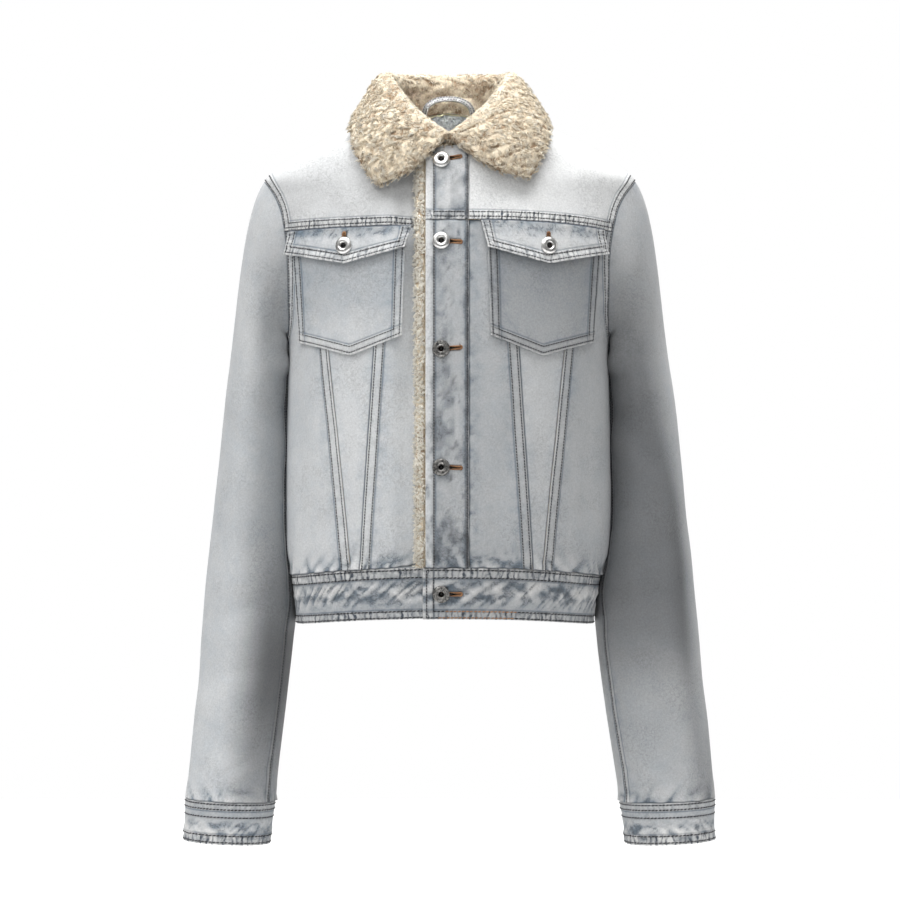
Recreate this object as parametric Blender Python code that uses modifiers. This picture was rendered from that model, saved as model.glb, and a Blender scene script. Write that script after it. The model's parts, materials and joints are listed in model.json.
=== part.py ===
"""A waist-length denim jacket with a sherpa collar, hollow and filled out as if it were worn.

The tables are in millimetres and the scene is in metres. +X is the wearer's left, -Y is the
front and +Z is up. The origin is the middle of the neck opening, at the height of the inner
ends of the shoulder seams, where a wearer's neck and shoulders hold the jacket up.

Every piece of the body lies on one form, a stack of rounded rings. A place on that form is an
angle and a height: 0 degrees is the centre front, 90 the wearer's left side, 180 the centre
back and -90 the wearer's right side. A level is a distance outward from the form.
"""

import math

import bmesh
import bpy
import numpy as np
from mathutils import Matrix, Vector

MM = 0.001

# Cloth
WALL = 2.0  # a panel of denim
BAND_WALL = 2.4  # doubled denim: the waistband and the front placket
SEAM_GAP = 0.3  # between pieces that are sewn edge to edge
ROUND_GAP = 0.6  # the same, at the armholes, waistband and cuffs
LAYER_GAP = 0.6  # between a panel and what is sewn on it

# Heights at the centre front
HEM_Z = -499.0
BAND_TOP_Z = -449.0
ARMPIT_Z = -232.0
SHOULDER_TIP_Z = -67.0

TORSO_COLUMNS = ("z", "half_width", "middle", "front", "back", "squareness", "side_drop")
TORSO_RINGS = (
    (-500, 147.5, -3.5, 103.0, 95.0, 2.45, 8.5),
    (-475, 150.5, -3.0, 106.0, 98.0, 2.45, 9.5),
    (-449, 154.0, -2.5, 109.0, 100.0, 2.40, 10.5),
    (-430, 159.5, -1.0, 115.0, 105.0, 2.35, 9.0),
    (-400, 161.5, 0.0, 118.0, 108.0, 2.30, 6.0),
    (-340, 161.5, 0.0, 119.5, 111.0, 2.30, 2.0),
    (-280, 160.4, 0.0, 120.0, 114.0, 2.30, 0.0),
    (-232, 160.0, 0.0, 119.5, 116.0, 2.30, 0.0),
    (-212, 162.4, 0.0, 118.7, 116.7, 2.28, 0.0),
    (-190, 167.4, 0.0, 117.5, 117.0, 2.25, 0.0),
    (-165, 173.4, 0.0, 115.8, 116.8, 2.22, 0.0),
    (-140, 178.8, 0.0, 113.3, 115.3, 2.20, 0.0),
    (-113, 183.4, 0.5, 110.0, 113.0, 2.20, 0.0),
    (-85, 186.5, 1.0, 104.0, 108.0, 2.15, 0.0),
    (-67, 185.0, 1.5, 99.5, 103.0, 2.15, 0.0),
    (-55, 172.8, 1.5, 96.0, 99.5, 2.12, 0.0),
    (-43, 156.0, 2.5, 91.0, 94.5, 2.10, 0.0),
    (-31, 135.0, 2.5, 83.5, 87.0, 2.05, 0.0),
    (-19, 110.5, 2.0, 74.0, 78.5, 2.00, 0.0),
    (-10, 88.5, 1.0, 63.0, 72.5, 2.00, 0.0),
    (-4, 71.0, 0.0, 54.0, 66.0, 2.00, 0.0),
    (2, 57.0, 0.0, 44.0, 61.5, 2.00, 0.0),
    (8, 42.0, 0.0, 34.0, 57.0, 2.00, 0.0),
    (14, 26.0, 0.0, 24.0, 50.0, 2.00, 0.0),
)

# Neck opening, seen from above
NECK_HALF_WIDTH = 72.0
NECK_FRONT_Y = -88.0
NECK_BACK_Y = 57.0

# Armhole, seen from the front: how far out from the form's middle its edge runs
ARMHOLE_COLUMNS = ("z", "x")
ARMHOLE_EDGE = (
    (-232, 160.0),
    (-215, 157.5),
    (-180, 157.0),
    (-150, 157.5),
    (-135, 158.5),
    (-115, 161.5),
    (-97, 166.0),
    (-82, 173.5),
    (-72, 181.0),
    (-67, 185.0),
)
ARMHOLE_STEP = 15  # degrees round the armhole, from 0 at the shoulder tip to 180 at the armpit
YOKE_END = 75  # where the yoke seams meet the armhole
ARMHOLE_EVENNESS = 1.14  # over 1 crowds its places towards the shoulder

# Front, seen from the front; the seams of the two sides mirror about FRONT_MIDDLE_X
FRONT_MIDDLE_X = -2.0
PLACKET_EDGE_X = -22.2
PLACKET_SEAM_X = 19.8
PLACKET_LEVEL = 1.2
UNDERLAP_X = 18.0  # the right front runs on under the placket to here
UNDERLAP_LEVEL = -7.0
UNDERLAP_DIP_X = (-58.0, -38.0)
YOKE_SEAM = {  # side: height at the centre front, and how suddenly it drops to the armhole
    1: (-112.3, 3.0),
    -1: (-117.2, 1.2),
}
DART_COLUMNS = ("z", "inner_x", "outer_x")
DART_SEAMS = (
    (-449, 83.7, 93.4),
    (-238, 69.9, 115.0),
    (-116, 61.9, 127.5),
)

# Waistband
BAND_END_X = -25.0
BAND_UNDER_X = 16.0
BAND_LAP_LEVEL = 0.9
BAND_UNDER_LEVEL = -2.5
BAND_DIP_X = (-52.0, -30.0)
BAND_RISE_X = (30.0, 60.0)

# Patch pockets and flaps, as distances from the front's middle
POCKET = {
    "top_z": -137.0,
    "inner_x": (39.5, 42.6),
    "outer_x": (149.7, 142.3),
    "inner_z": -224.3,
    "point": (92.5, -243.6),
    "outer_z": -229.7,
}
FLAP = {
    "inner_x": (33.0, 39.5),
    "outer_x": (152.5, 154.5),
    "inner_z": -139.7,
    "point": (97.5, -154.8),
    "outer_z": -143.0,
}
FLAP_LEVEL = 4.8
FLAP_TOP_LEVEL = 2.6
FLAP_WALL = 1.8
YOKE_SEAM_LEVEL = 1.6  # the yoke's lower edge stands over the pieces below it
YOKE_SEAM_RISE = 26.0  # height over which it settles back

# Sherpa strip that shows along the placket
STRIP_COLUMNS = ("x", "level")
STRIP_SECTION = (
    (-33.2, -2.6),
    (-31.6, 0.8),
    (-27.4, 1.8),
    (-23.8, 1.0),
    (-22.9, -1.7),
    (-13.5, -1.7),
)
STRIP_BACK_LEVEL = -5.5

# Sleeves: distances from the jacket's middle, right and left sleeve apart
SLEEVE_COLUMNS = ("z", "outer_right", "inner_right", "outer_left", "inner_left",
                  "y_middle", "half_depth", "tilt")
SLEEVE_RINGS = (
    (-742, 267.0, 180.0, 267.0, 179.0, -4.0, 35.5, 0.045),
    (-727, 265.0, 178.5, 265.8, 177.0, -3.0, 36.0, 0.045),
    (-685, 262.5, 173.5, 266.0, 171.5, 1.0, 38.0, 0.040),
    (-645, 258.5, 169.5, 263.0, 165.5, 5.0, 41.0, 0.032),
    (-585, 253.5, 162.5, 258.0, 156.5, 11.0, 46.0, 0.022),
    (-525, 248.5, 155.8, 252.0, 149.0, 15.5, 51.0, 0.012),
    (-495, 246.0, 152.8, 249.0, 146.8, 17.5, 53.5, 0.006),
    (-475, 244.5, 154.6, 247.0, 149.2, 18.5, 55.5, 0.0),
    (-440, 241.0, 159.4, 244.0, 157.2, 20.5, 58.5, 0.0),
    (-405, 237.5, 162.1, 240.0, 162.1, 22.0, 61.5, 0.0),
    (-345, 230.5, 162.0, 234.0, 162.0, 24.0, 66.0, 0.0),
    (-285, 224.5, 161.5, 227.5, 161.5, 25.0, 68.5, 0.0),
    (-250, 220.0, 161.3, 222.0, 161.3, 25.0, 69.0, 0.0),
)
SLEEVE_SQUARENESS = 2.15
SLEEVE_TOP_Z = -250.0  # the first whole ring under the armpit
CUFF_TOP_Z = -684.0
CUFF_END_Z = -725.5
FRONT_ARM_SEAM = 150  # degrees round the sleeve, from 0 on its outer side over the front
BACK_ARM_SEAM = 225
HEAD_STEPS = (0.0, 0.09, 0.22, 0.4, 0.62, 0.82, 1.0)  # share of the way from armhole to ring
ARM_ROWS = 11
CUFF_ROWS = 2

# Soft troughs across the sleeves: centre, reach round and along the arm, slant, depth
SLEEVE_FOLD_COLUMNS = ("z", "angle", "reach_angle", "reach_z", "slant", "depth")
SLEEVE_FOLDS = (
    (-300, 120, 50, 24, 0.25, 2.4),
    (-420, 60, 46, 26, -0.30, 2.0),
    (-500, 130, 44, 24, 0.30, 2.6),
    (-560, 40, 50, 26, 0.20, 2.2),
    (-640, 105, 48, 22, -0.25, 2.0),
    (-380, 255, 60, 28, 0.25, 2.6),
    (-520, 285, 55, 26, -0.20, 2.4),
)

# Collar: where it is sewn on (degrees round the neck, seen from above), the roll and outer edge
# of its under side, how far its fall is rounded out, and the pile on it
COLLAR_COLUMNS = ("station", "neck_angle", "roll_x", "roll_y", "roll_z",
                  "edge_angle", "edge_z", "edge_lift", "bulge", "droop")
COLLAR_SECTIONS = (
    (0.00, 180.0, 0.0, 59.0, 36.0, 180.0, -31.0, 2.6, 2.0, 0.0),
    (0.20, 152.0, 34.0, 52.0, 36.0, 151.0, -28.0, 2.6, 2.0, 0.0),
    (0.40, 125.0, 56.5, 28.0, 34.0, 119.0, -19.0, 2.6, 1.0, 0.0),
    (0.55, 98.0, 63.5, 1.0, 31.5, 90.0, -11.5, 2.6, 0.5, 0.0),
    (0.68, 72.0, 57.0, -29.0, 19.5, 60.0, -18.0, 2.8, 2.0, 0.0),
    (0.80, 46.0, 43.0, -58.0, -2.0, 40.5, -35.5, 3.2, 4.5, 0.0),
    (0.92, 22.0, 20.0, -81.0, -23.5, 27.5, -58.0, 3.8, 6.0, -4.0),
    (1.00, 2.2, 2.2, -90.5, -35.5, 21.0, -76.0, 4.4, 6.0, -9.0),
)
COLLAR_SKEW = (1.2, 3.2)  # the left point stands this much further out, in degrees, and higher
COLLAR_LIFT = 1.5  # over the neck edges of the panels
ROLL_RADIUS = 2.4
PILE_COLUMNS = ("share", "thickness")  # along a section, from the neck seam to the outer edge
PILE = ((0.0, 7.0), (0.2, 9.5), (0.45, 10.5), (0.8, 10.5), (0.94, 9.0), (1.0, 5.5))
COLLAR_STATIONS = 16  # each side of the centre back
SECTION_SHARES = (0.0, 0.2, 0.36, 0.42, 0.46, 0.5, 0.56, 0.68, 0.82, 0.94, 1.0)

# Inside of the back neck
NECK_COLUMNS = 13
RIDGE_COLUMNS = 5
FACING_ROWS = 3
FACING_INSET = 2  # columns of the neck that it leaves out at each shoulder
FACING_WALL = 1.4
LOOP_END_X = 25.0
LOOP_ENDS = (0.1, 0.5)  # it lies flat on the facing between these shares of its top row's height
LOOP_SEAT = 1.3  # from the facing to the strap, whose flat end bridges the facing's facets
LOOP_PATH = (  # x, y, z of its left half, up from the facing
    (24.6, 40.0, 5.0),
    (22.0, 35.8, 12.0),
    (11.0, 34.5, 18.8),
    (0.0, 34.2, 20.0),
)
LOOP_WIDTH = 6.5
LOOP_WALL = 1.6
LOOP_STEPS = 22

# Shank buttons
BUTTON_X = -7.0
BUTTON_HEIGHTS = (-53.5, -133.0, -237.7, -351.6)
BAND_BUTTON_Z = -474.4
FLAP_BUTTON = (97.7, -137.3)
BUTTON_SEAT = 0.3  # clear of the cloth below the cap
SHANK_RADIUS = 1.8
BUTTON_PROFILE = (  # radius and height above the cap's under side, down the outer side
    (0.0, 2.1),
    (1.2, 1.9),
    (1.6, 1.0),
    (2.6, 1.0),
    (3.0, 2.8),
    (4.6, 3.1),
    (7.4, 2.6),
    (8.5, 1.3),
    (7.2, 0.0),
)
BUTTON_STEPS = 16
BUTTONHOLE_WIDTH = 4.4
BUTTONHOLE_LENGTH = 21.0
FLAP_HOLE_REACH = 12.0  # how far a flap's buttonhole runs up from the button


def columns(names, rows):
    """A table as one array for each named column."""
    return dict(zip(names, np.array(rows, float).T))


TORSO = columns(TORSO_COLUMNS, TORSO_RINGS)
ARMHOLE = columns(ARMHOLE_COLUMNS, ARMHOLE_EDGE)
DARTS = columns(DART_COLUMNS, DART_SEAMS)
SLEEVE = columns(SLEEVE_COLUMNS, SLEEVE_RINGS)
COLLAR = columns(COLLAR_COLUMNS, COLLAR_SECTIONS)


def smooth(stations, values, at):
    """A cubic through the values, whose slope at a station follows its two neighbours."""
    at = np.clip(np.asarray(at, float), stations[0], stations[-1])
    slopes = np.gradient(values, stations)
    i = np.clip(np.searchsorted(stations, at, side="right") - 1, 0, len(stations) - 2)
    width = stations[i + 1] - stations[i]
    t = (at - stations[i]) / width
    return (
        (2 * t**3 - 3 * t**2 + 1) * values[i]
        + (t**3 - 2 * t**2 + t) * width * slopes[i]
        + (3 * t**2 - 2 * t**3) * values[i + 1]
        + (t**3 - t**2) * width * slopes[i + 1]
    )


def eased(low, high, at):
    """0 up to low, 1 from high on, and an S-shaped rise between them."""
    t = np.clip((np.asarray(at, float) - low) / (high - low), 0, 1)
    return t * t * (3 - 2 * t)


def signed_power(value, power):
    return np.sign(value) * np.abs(value) ** power


def unit(vectors):
    return vectors / np.maximum(np.linalg.norm(vectors, axis=-1, keepdims=True), 1e-9)


# --- The form that the body lies on ---------------------------------------------------------


def torso(angle, z):
    """Points on the form at these angles, in radians, and heights."""
    angle, z = np.broadcast_arrays(np.asarray(angle, float), np.asarray(z, float))
    ring = {name: smooth(TORSO["z"], TORSO[name], z) for name in TORSO_COLUMNS[1:]}
    power = 2 / ring["squareness"]
    across = signed_power(np.sin(angle), power)
    depth = signed_power(np.cos(angle), power)
    x = ring["middle"] + ring["half_width"] * across
    y = -np.where(depth > 0, ring["front"], ring["back"]) * depth
    return np.stack([x, y, z - ring["side_drop"] * np.sin(angle) ** 2], axis=-1)


def torso_normal(angle, z):
    """The outward direction of the form."""
    step = 1e-3
    round_it = torso(np.asarray(angle) + step, z) - torso(np.asarray(angle) - step, z)
    up_it = torso(angle, np.asarray(z) + 0.5) - torso(angle, np.asarray(z) - 0.5)
    return unit(np.cross(round_it, up_it))


def on_torso(angle, z, level):
    """Points at this level over the form."""
    level = np.broadcast_to(level, np.broadcast(angle, z).shape)
    return torso(angle, z) + torso_normal(angle, z) * level[..., None]


def front_angle(x, z):
    """The angle at which the form's front has this x, seen from the front."""
    half = smooth(TORSO["z"], TORSO["half_width"], z)
    middle = smooth(TORSO["z"], TORSO["middle"], z)
    power = smooth(TORSO["z"], TORSO["squareness"], z) / 2
    share = np.clip((np.asarray(x, float) - middle) / half, -1, 1)
    return np.arcsin(signed_power(share, power))


def neck_z(angle):
    """The height at which the neck seam crosses this angle, found by halving."""
    middle = (NECK_FRONT_Y + NECK_BACK_Y) / 2
    half = (NECK_BACK_Y - NECK_FRONT_Y) / 2
    angle = np.asarray(angle, float)
    low = np.full(angle.shape, TORSO["z"][12])
    high = np.full(angle.shape, TORSO["z"][-1])
    for _ in range(30):
        z = (low + high) / 2
        point = torso(angle, z)
        across, depth = point[..., 0] / NECK_HALF_WIDTH, (point[..., 1] - middle) / half
        outside = across**2 + depth**2 > 1
        low = np.where(outside, z, low)
        high = np.where(outside, high, z)
    return (low + high) / 2


def armhole_z(turn):
    """Height at this many degrees round the armhole, from the shoulder tip."""
    share = (1 - np.cos(np.radians(turn))) / 2
    return SHOULDER_TIP_Z + (ARMPIT_Z - SHOULDER_TIP_Z) * share**ARMHOLE_EVENNESS


def armhole_angle(side, turn):
    """The form's angle on the armhole's edge: its front half up to 180 degrees, then its back."""
    turn = np.asarray(turn, float)
    z = armhole_z(turn)
    middle = smooth(TORSO["z"], TORSO["middle"], z)
    front = front_angle(middle + smooth(ARMHOLE["z"], ARMHOLE["x"], z), z)
    front = np.where(np.isclose(np.sin(np.radians(turn)), 0, atol=1e-9), math.pi / 2, front)
    return side * np.where(np.sin(np.radians(turn)) >= -1e-9, front, math.pi - front)


def yoke_z(side, x):
    """Height of the front yoke seam."""
    centre, power = YOKE_SEAM[side]
    end = armhole_z(YOKE_END)
    reach = smooth(ARMHOLE["z"], ARMHOLE["x"], end)
    return centre + (end - centre) * np.clip(np.abs(x) / reach, 0, 1) ** power


def underlap_level(angle, z):
    """The right front dips under the sherpa strip and the placket."""
    x = torso(angle, z)[..., 0]
    return UNDERLAP_LEVEL * eased(*UNDERLAP_DIP_X, x)


# --- Walls of cloth -------------------------------------------------------------------------


def drawn_in(grid, bottom=0.0, top=0.0, first=0.0, last=0.0):
    """The grid with its edges moved in by these distances, square to each edge."""
    moved = grid.copy()
    for amount, edge, beside in (
        (bottom, np.s_[0], np.s_[1]),
        (top, np.s_[-1], np.s_[-2]),
        (first, np.s_[:, 0], np.s_[:, 1]),
        (last, np.s_[:, -1], np.s_[:, -2]),
    ):
        along = unit(np.gradient(grid[edge], axis=0))
        away = grid[beside] - grid[edge]
        away = away - along * (away * along).sum(axis=-1, keepdims=True)
        moved[edge] = moved[edge] + amount * unit(away)
    return moved


def material(name, colour, roughness, metallic=0.0):
    made = bpy.data.materials.new(name)
    made.use_nodes = True
    shader = made.node_tree.nodes["Principled BSDF"]
    shader.inputs["Base Color"].default_value = (*colour, 1.0)
    shader.inputs["Roughness"].default_value = roughness
    shader.inputs["Metallic"].default_value = metallic
    made.diffuse_color = (*colour, 1.0)
    return made


def add_object(name, mesh, finish, collection):
    mesh.materials.append(finish)
    made = bpy.data.objects.new(name, mesh)
    collection.objects.link(made)
    mesh.shade_smooth()
    mesh.set_sharp_from_angle(angle=math.radians(40))
    return made


def add_wall(name, outer, inner, finish, collection, tube=False):
    """A closed wall between two grids of points; a tube's last column meets its first."""
    rows, across = outer.shape[:2]
    points = np.concatenate([outer.reshape(-1, 3), inner.reshape(-1, 3)]) * MM
    behind = rows * across

    def at(row, column):
        return row * across + column % across

    faces = []
    last = across if tube else across - 1
    for row in range(rows - 1):
        for column in range(last):
            start, end = at(row, column), at(row + 1, column + 1)
            # The same diagonal everywhere, so that a layer made from another's points follows it.
            for half in ([start, at(row, column + 1), end], [start, end, at(row + 1, column)]):
                faces.append(half)
                faces.append([behind + corner for corner in reversed(half)])
    ends = [((0, c), (0, c + 1)) for c in range(last)]
    ends += [((rows - 1, c), (rows - 1, c + 1)) for c in range(last)]
    if not tube:
        ends += [((r, 0), (r + 1, 0)) for r in range(rows - 1)]
        ends += [((r, across - 1), (r + 1, across - 1)) for r in range(rows - 1)]
    for start, end in ends:
        faces.append([at(*start), at(*end), behind + at(*end), behind + at(*start)])
    mesh = bpy.data.meshes.new(name)
    mesh.from_pydata(points.tolist(), [], faces)
    shell = bmesh.new()
    shell.from_mesh(mesh)
    bmesh.ops.recalc_face_normals(shell, faces=shell.faces)
    shell.to_mesh(mesh)
    shell.free()
    return add_object(name, mesh, finish, collection)


def seam_gaps(*wide):
    """How far each edge is drawn in; the named ones lie on a round seam."""
    edges = ("bottom", "top", "first", "last")
    return {edge: (ROUND_GAP if edge in wide else SEAM_GAP) / 2 for edge in edges}


def add_panel(name, angle, z, finish, collection, level=0.0, wall=WALL, gaps=None):
    """A wall on the form, between this level and one wall further in."""
    gaps = gaps or seam_gaps()
    outer = drawn_in(on_torso(angle, z, level), **gaps)
    inner = drawn_in(on_torso(angle, z, np.asarray(level) - wall), **gaps)
    return add_wall(name, outer, inner, finish, collection)


def spread(first, last, count):
    """A grid whose rows run evenly from the first column's values to the last's."""
    share = np.linspace(0, 1, count)
    return first[:, None] + (last - first)[:, None] * share


def filled(bottom, top, first, last):
    """A patch between four edges, each a list of places: the rows blend them (a Coons patch)."""
    along = np.linspace(0, 1, len(bottom))[None, :, None]
    up = np.linspace(0, 1, len(first))[:, None, None]
    corners = (
        (1 - along) * (1 - up) * bottom[0]
        + along * (1 - up) * bottom[-1]
        + (1 - along) * up * top[0]
        + along * up * top[-1]
    )
    across = (1 - along) * first[:, None] + along * last[:, None]
    upward = (1 - up) * bottom[None] + up * top[None]
    return across + upward - corners


def places(angle, z):
    return np.stack(np.broadcast_arrays(angle, z), axis=-1).astype(float)


# --- Body -----------------------------------------------------------------------------------


def lower_rows():
    """Heights from the waistband to the armpit."""
    return np.linspace(BAND_TOP_Z, ARMPIT_Z, 9)[:-1]


def armhole_turns(start, end):
    return np.arange(start, end - 1, -ARMHOLE_STEP)


def dart_x(z, name):
    return np.interp(z, DARTS["z"], DARTS[name])


def front_x(side, distance):
    return FRONT_MIDDLE_X + side * distance


def add_front_side(side, word, finish, collection):
    """Between the outer dart seam and the side seam and armhole."""
    turns = armhole_turns(180, YOKE_END)
    z = np.concatenate([lower_rows(), armhole_z(turns)])
    edge = np.concatenate([
        np.full(len(lower_rows()), side * math.pi / 2),
        armhole_angle(side, turns),
    ])
    seam_x = front_x(side, dart_x(z, "outer_x"))
    stretch = (yoke_z(side, seam_x[-1]) - BAND_TOP_Z) / (z[-1] - BAND_TOP_Z)
    seam_z = BAND_TOP_Z + (z - BAND_TOP_Z) * stretch
    seam = front_angle(front_x(side, dart_x(seam_z, "outer_x")), seam_z)
    angle = spread(seam, edge, 5)
    height = spread(seam_z, z, 5)
    x = torso(angle[-1], height[-1])[:, 0]
    height[-1] = yoke_z(side, x)
    add_panel(f"front_side_{word}", angle, height, finish, collection,
              gaps=seam_gaps("bottom", "last"))


def add_front_dart(side, word, finish, collection):
    """The tapered panel between the two dart seams."""
    share = np.linspace(0, 1, 13)[:, None]
    along = np.linspace(0, 1, 4)[None]
    top_x = front_x(side, dart_x(-116, "inner_x") * (1 - along) + dart_x(-116, "outer_x") * along)
    z = BAND_TOP_Z + (yoke_z(side, top_x) - BAND_TOP_Z) * share
    x = front_x(side, dart_x(z, "inner_x") * (1 - along) + dart_x(z, "outer_x") * along)
    add_panel(f"front_dart_{word}", front_angle(x, z), z, finish, collection,
              gaps=seam_gaps("bottom"))


def add_front_centre(side, word, finish, collection):
    """From the inner dart seam to the placket or, on the right, under it to the button edge."""
    limit = PLACKET_SEAM_X if side > 0 else UNDERLAP_X
    share = np.linspace(0, 1, 15)[:, None]
    along = np.linspace(0, 1, 5 if side > 0 else 11)[None]
    top_x = limit + (front_x(side, dart_x(-116, "inner_x")) - limit) * along
    z = BAND_TOP_Z + (yoke_z(side, top_x) - BAND_TOP_Z) * share
    x = limit + (front_x(side, dart_x(z, "inner_x")) - limit) * along
    angle = front_angle(x, z)
    level = underlap_level(angle, z) if side < 0 else 0.0
    add_panel(f"front_centre_{word}", angle, z, finish, collection, level=level,
              gaps=seam_gaps("bottom"))


def add_front_yoke(side, word, finish, collection):
    """From the yoke seam up to the neck and the shoulder seam."""
    turns = armhole_turns(YOKE_END, 0)
    end_x = abs(torso(armhole_angle(side, YOKE_END), armhole_z(YOKE_END))[0])
    if side > 0:
        near = np.linspace(PLACKET_SEAM_X, 58, 4)
    else:
        near = np.concatenate([
            np.linspace(UNDERLAP_X, UNDERLAP_DIP_X[1], 4),
            np.linspace(*UNDERLAP_DIP_X[::-1], 4)[1:],
        ])
    bottom_x = np.concatenate([near, side * np.linspace(58, end_x, 9)[1:]])
    bottom_z = yoke_z(side, bottom_x)
    bottom = places(front_angle(bottom_x, bottom_z), bottom_z)
    neck = np.concatenate([
        [neck_angle(x) for x in near],
        np.linspace(neck_angle(near[-1]), side * math.pi / 2, 4)[1:],
    ])
    ridge_z = np.linspace(neck_z(side * math.pi / 2), SHOULDER_TIP_Z, 6)[1:]
    top = np.concatenate([places(neck, neck_z(neck)), places(side * math.pi / 2, ridge_z)])
    edge_z = np.linspace(bottom_z[0], neck_z(neck[0]), len(turns))
    first = places(front_angle(near[0], edge_z), edge_z)
    last = places(armhole_angle(side, turns), armhole_z(turns))
    patch = filled(bottom, top, first, last)
    angle, z = patch[..., 0], patch[..., 1]
    x = torso(angle, z)[..., 0]
    rise = YOKE_SEAM_LEVEL * (1 - eased(0, YOKE_SEAM_RISE, z - z[0]))
    # The edge lies flat again where it runs into the armhole and under the placket.
    rise = rise * eased(0, 24, smooth(ARMHOLE["z"], ARMHOLE["x"], z) - np.abs(x))
    if side < 0:
        rise = rise * (1 - eased(*UNDERLAP_DIP_X, x)) + underlap_level(angle, z)
    add_panel(f"front_yoke_{word}", angle, z, finish, collection, level=rise,
              gaps=seam_gaps("last"))


def neck_angle(x):
    """The angle at which the front of the neck seam has this x."""
    angle = front_angle(x, -37.0)
    for _ in range(8):
        angle = front_angle(x, neck_z(angle))
    return float(angle)


def back_yoke_places():
    """From the yoke seam up to the shoulder seams and the neck, over both shoulder blades."""
    turns = armhole_turns(YOKE_END, 0)
    ends = armhole_angle(1, 360 - YOKE_END), 2 * math.pi - armhole_angle(1, 360 - YOKE_END)
    bottom = places(np.linspace(*ends, NECK_COLUMNS + 2 * RIDGE_COLUMNS), armhole_z(YOKE_END))
    neck = np.linspace(math.pi / 2, 1.5 * math.pi, NECK_COLUMNS)
    ridge = np.linspace(SHOULDER_TIP_Z, neck_z(math.pi / 2), RIDGE_COLUMNS + 1)[:-1]
    top = np.concatenate([
        places(math.pi / 2, ridge),
        places(neck, neck_z(neck)),
        places(1.5 * math.pi, ridge[::-1]),
    ])
    first = places(armhole_angle(1, 360 - turns), armhole_z(turns))
    last = places(2 * math.pi - armhole_angle(1, 360 - turns), armhole_z(turns))
    return filled(bottom, top, first, last)


def add_back_yoke(finish, collection):
    patch = back_yoke_places()
    add_panel("back_yoke", patch[..., 0], patch[..., 1], finish, collection,
              gaps=seam_gaps("first", "last"))


def add_neck_facing(finish, collection):
    """Denim inside the back neck, on the yoke's own points and behind them."""
    across = slice(RIDGE_COLUMNS + FACING_INSET, -RIDGE_COLUMNS - FACING_INSET)
    patch = back_yoke_places()[-FACING_ROWS:, across]
    level = -(WALL + LAYER_GAP)
    add_panel("neck_facing", patch[..., 0], patch[..., 1], finish, collection,
              level=level, wall=FACING_WALL)
    return on_torso(patch[..., 0], patch[..., 1], level - FACING_WALL)


def add_back_panel(finish, collection):
    """From side seam to side seam, up to the armholes and the back yoke."""
    turns = armhole_turns(180, YOKE_END)
    z = np.concatenate([lower_rows(), armhole_z(turns)])
    edge = np.concatenate([
        np.full(len(lower_rows()), math.pi / 2),
        armhole_angle(1, 360 - turns),
    ])
    angle = spread(edge, 2 * math.pi - edge, 17)
    add_panel("back_panel", angle, np.broadcast_to(z[:, None], angle.shape), finish, collection,
              gaps=seam_gaps("bottom", "first", "last"))


def add_waistband(finish, collection):
    """One strip all the way round, whose left end laps over its right end."""
    z = np.linspace(HEM_Z, BAND_TOP_Z, 4)[:, None]
    start = front_angle(BAND_END_X, z)
    end = front_angle(BAND_UNDER_X, z) + 2 * math.pi
    share = np.linspace(0, 1, 50)[None]
    angle = start + (end - start) * share
    x = torso(angle, np.broadcast_to(z, angle.shape))[..., 0]
    left = BAND_LAP_LEVEL * (1 - eased(*BAND_RISE_X, x)) * (angle < math.pi / 2)
    right = BAND_UNDER_LEVEL * eased(*BAND_DIP_X, x) * (angle > 1.5 * math.pi)
    return add_panel("waistband", angle, np.broadcast_to(z, angle.shape), finish, collection,
                     level=left + right, wall=BAND_WALL, gaps=seam_gaps("top"))


def placket_rows(x):
    """Heights down the front edge, above the yoke seam and below it."""
    seam = yoke_z(1, x)
    neck = neck_z(front_angle(x, -37.0)) - COLLAR_LIFT
    upper = seam + (neck - seam) * np.linspace(0, 1, 8)[:, None]
    lower = BAND_TOP_Z + (seam - BAND_TOP_Z) * np.linspace(0, 1, 12)[:, None]
    return upper, lower


def add_placket(finish, collection):
    """The doubled buttonhole edge of the left front, sewn to the yoke and to the front apart."""
    x = np.linspace(PLACKET_EDGE_X, PLACKET_SEAM_X, 4)[None]
    made = []
    for name, z in zip(("placket_yoke", "placket_front"), placket_rows(x)):
        angle = front_angle(np.broadcast_to(x, z.shape), z)
        made.append(add_panel(name, angle, z, finish, collection,
                              level=PLACKET_LEVEL, wall=BAND_WALL))
    return made


def add_sherpa_strip(finish, collection):
    """The sherpa facing that shows beside the placket's edge."""
    section = columns(STRIP_COLUMNS, STRIP_SECTION)
    x = section["x"][None]
    upper, lower = placket_rows(x)
    z = np.concatenate([lower, upper[1:]])
    angle = front_angle(np.broadcast_to(x, z.shape), z)
    outer = drawn_in(on_torso(angle, z, section["level"][None]), bottom=0.4, top=0.4)
    inner = drawn_in(on_torso(angle, z, STRIP_BACK_LEVEL), bottom=0.4, top=0.4)
    add_wall("sherpa_strip", outer, inner, finish, collection)


def pointed_patch(side, shape, top_z, rows, across):
    """Places of a piece with straight sides and a pointed lower edge, seen from the front."""
    along = np.linspace(0, 1, across)
    up = np.linspace(0, 1, rows)[:, None]
    inner = shape["inner_x"][1] + (shape["inner_x"][0] - shape["inner_x"][1]) * up
    outer = shape["outer_x"][1] + (shape["outer_x"][0] - shape["outer_x"][1]) * up
    point_x, point_z = shape["point"]
    middle = (point_x - shape["inner_x"][1]) / (shape["outer_x"][1] - shape["inner_x"][1])
    share = np.interp(along, (0, 0.5, 1), (0, middle, 1))
    x = front_x(side, inner + (outer - inner) * share)
    bottom_z = np.interp(share, (0, middle, 1), (shape["inner_z"], point_z, shape["outer_z"]))
    z = bottom_z + (top_z(x[-1]) - bottom_z) * up
    return front_angle(x, z), z


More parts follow.
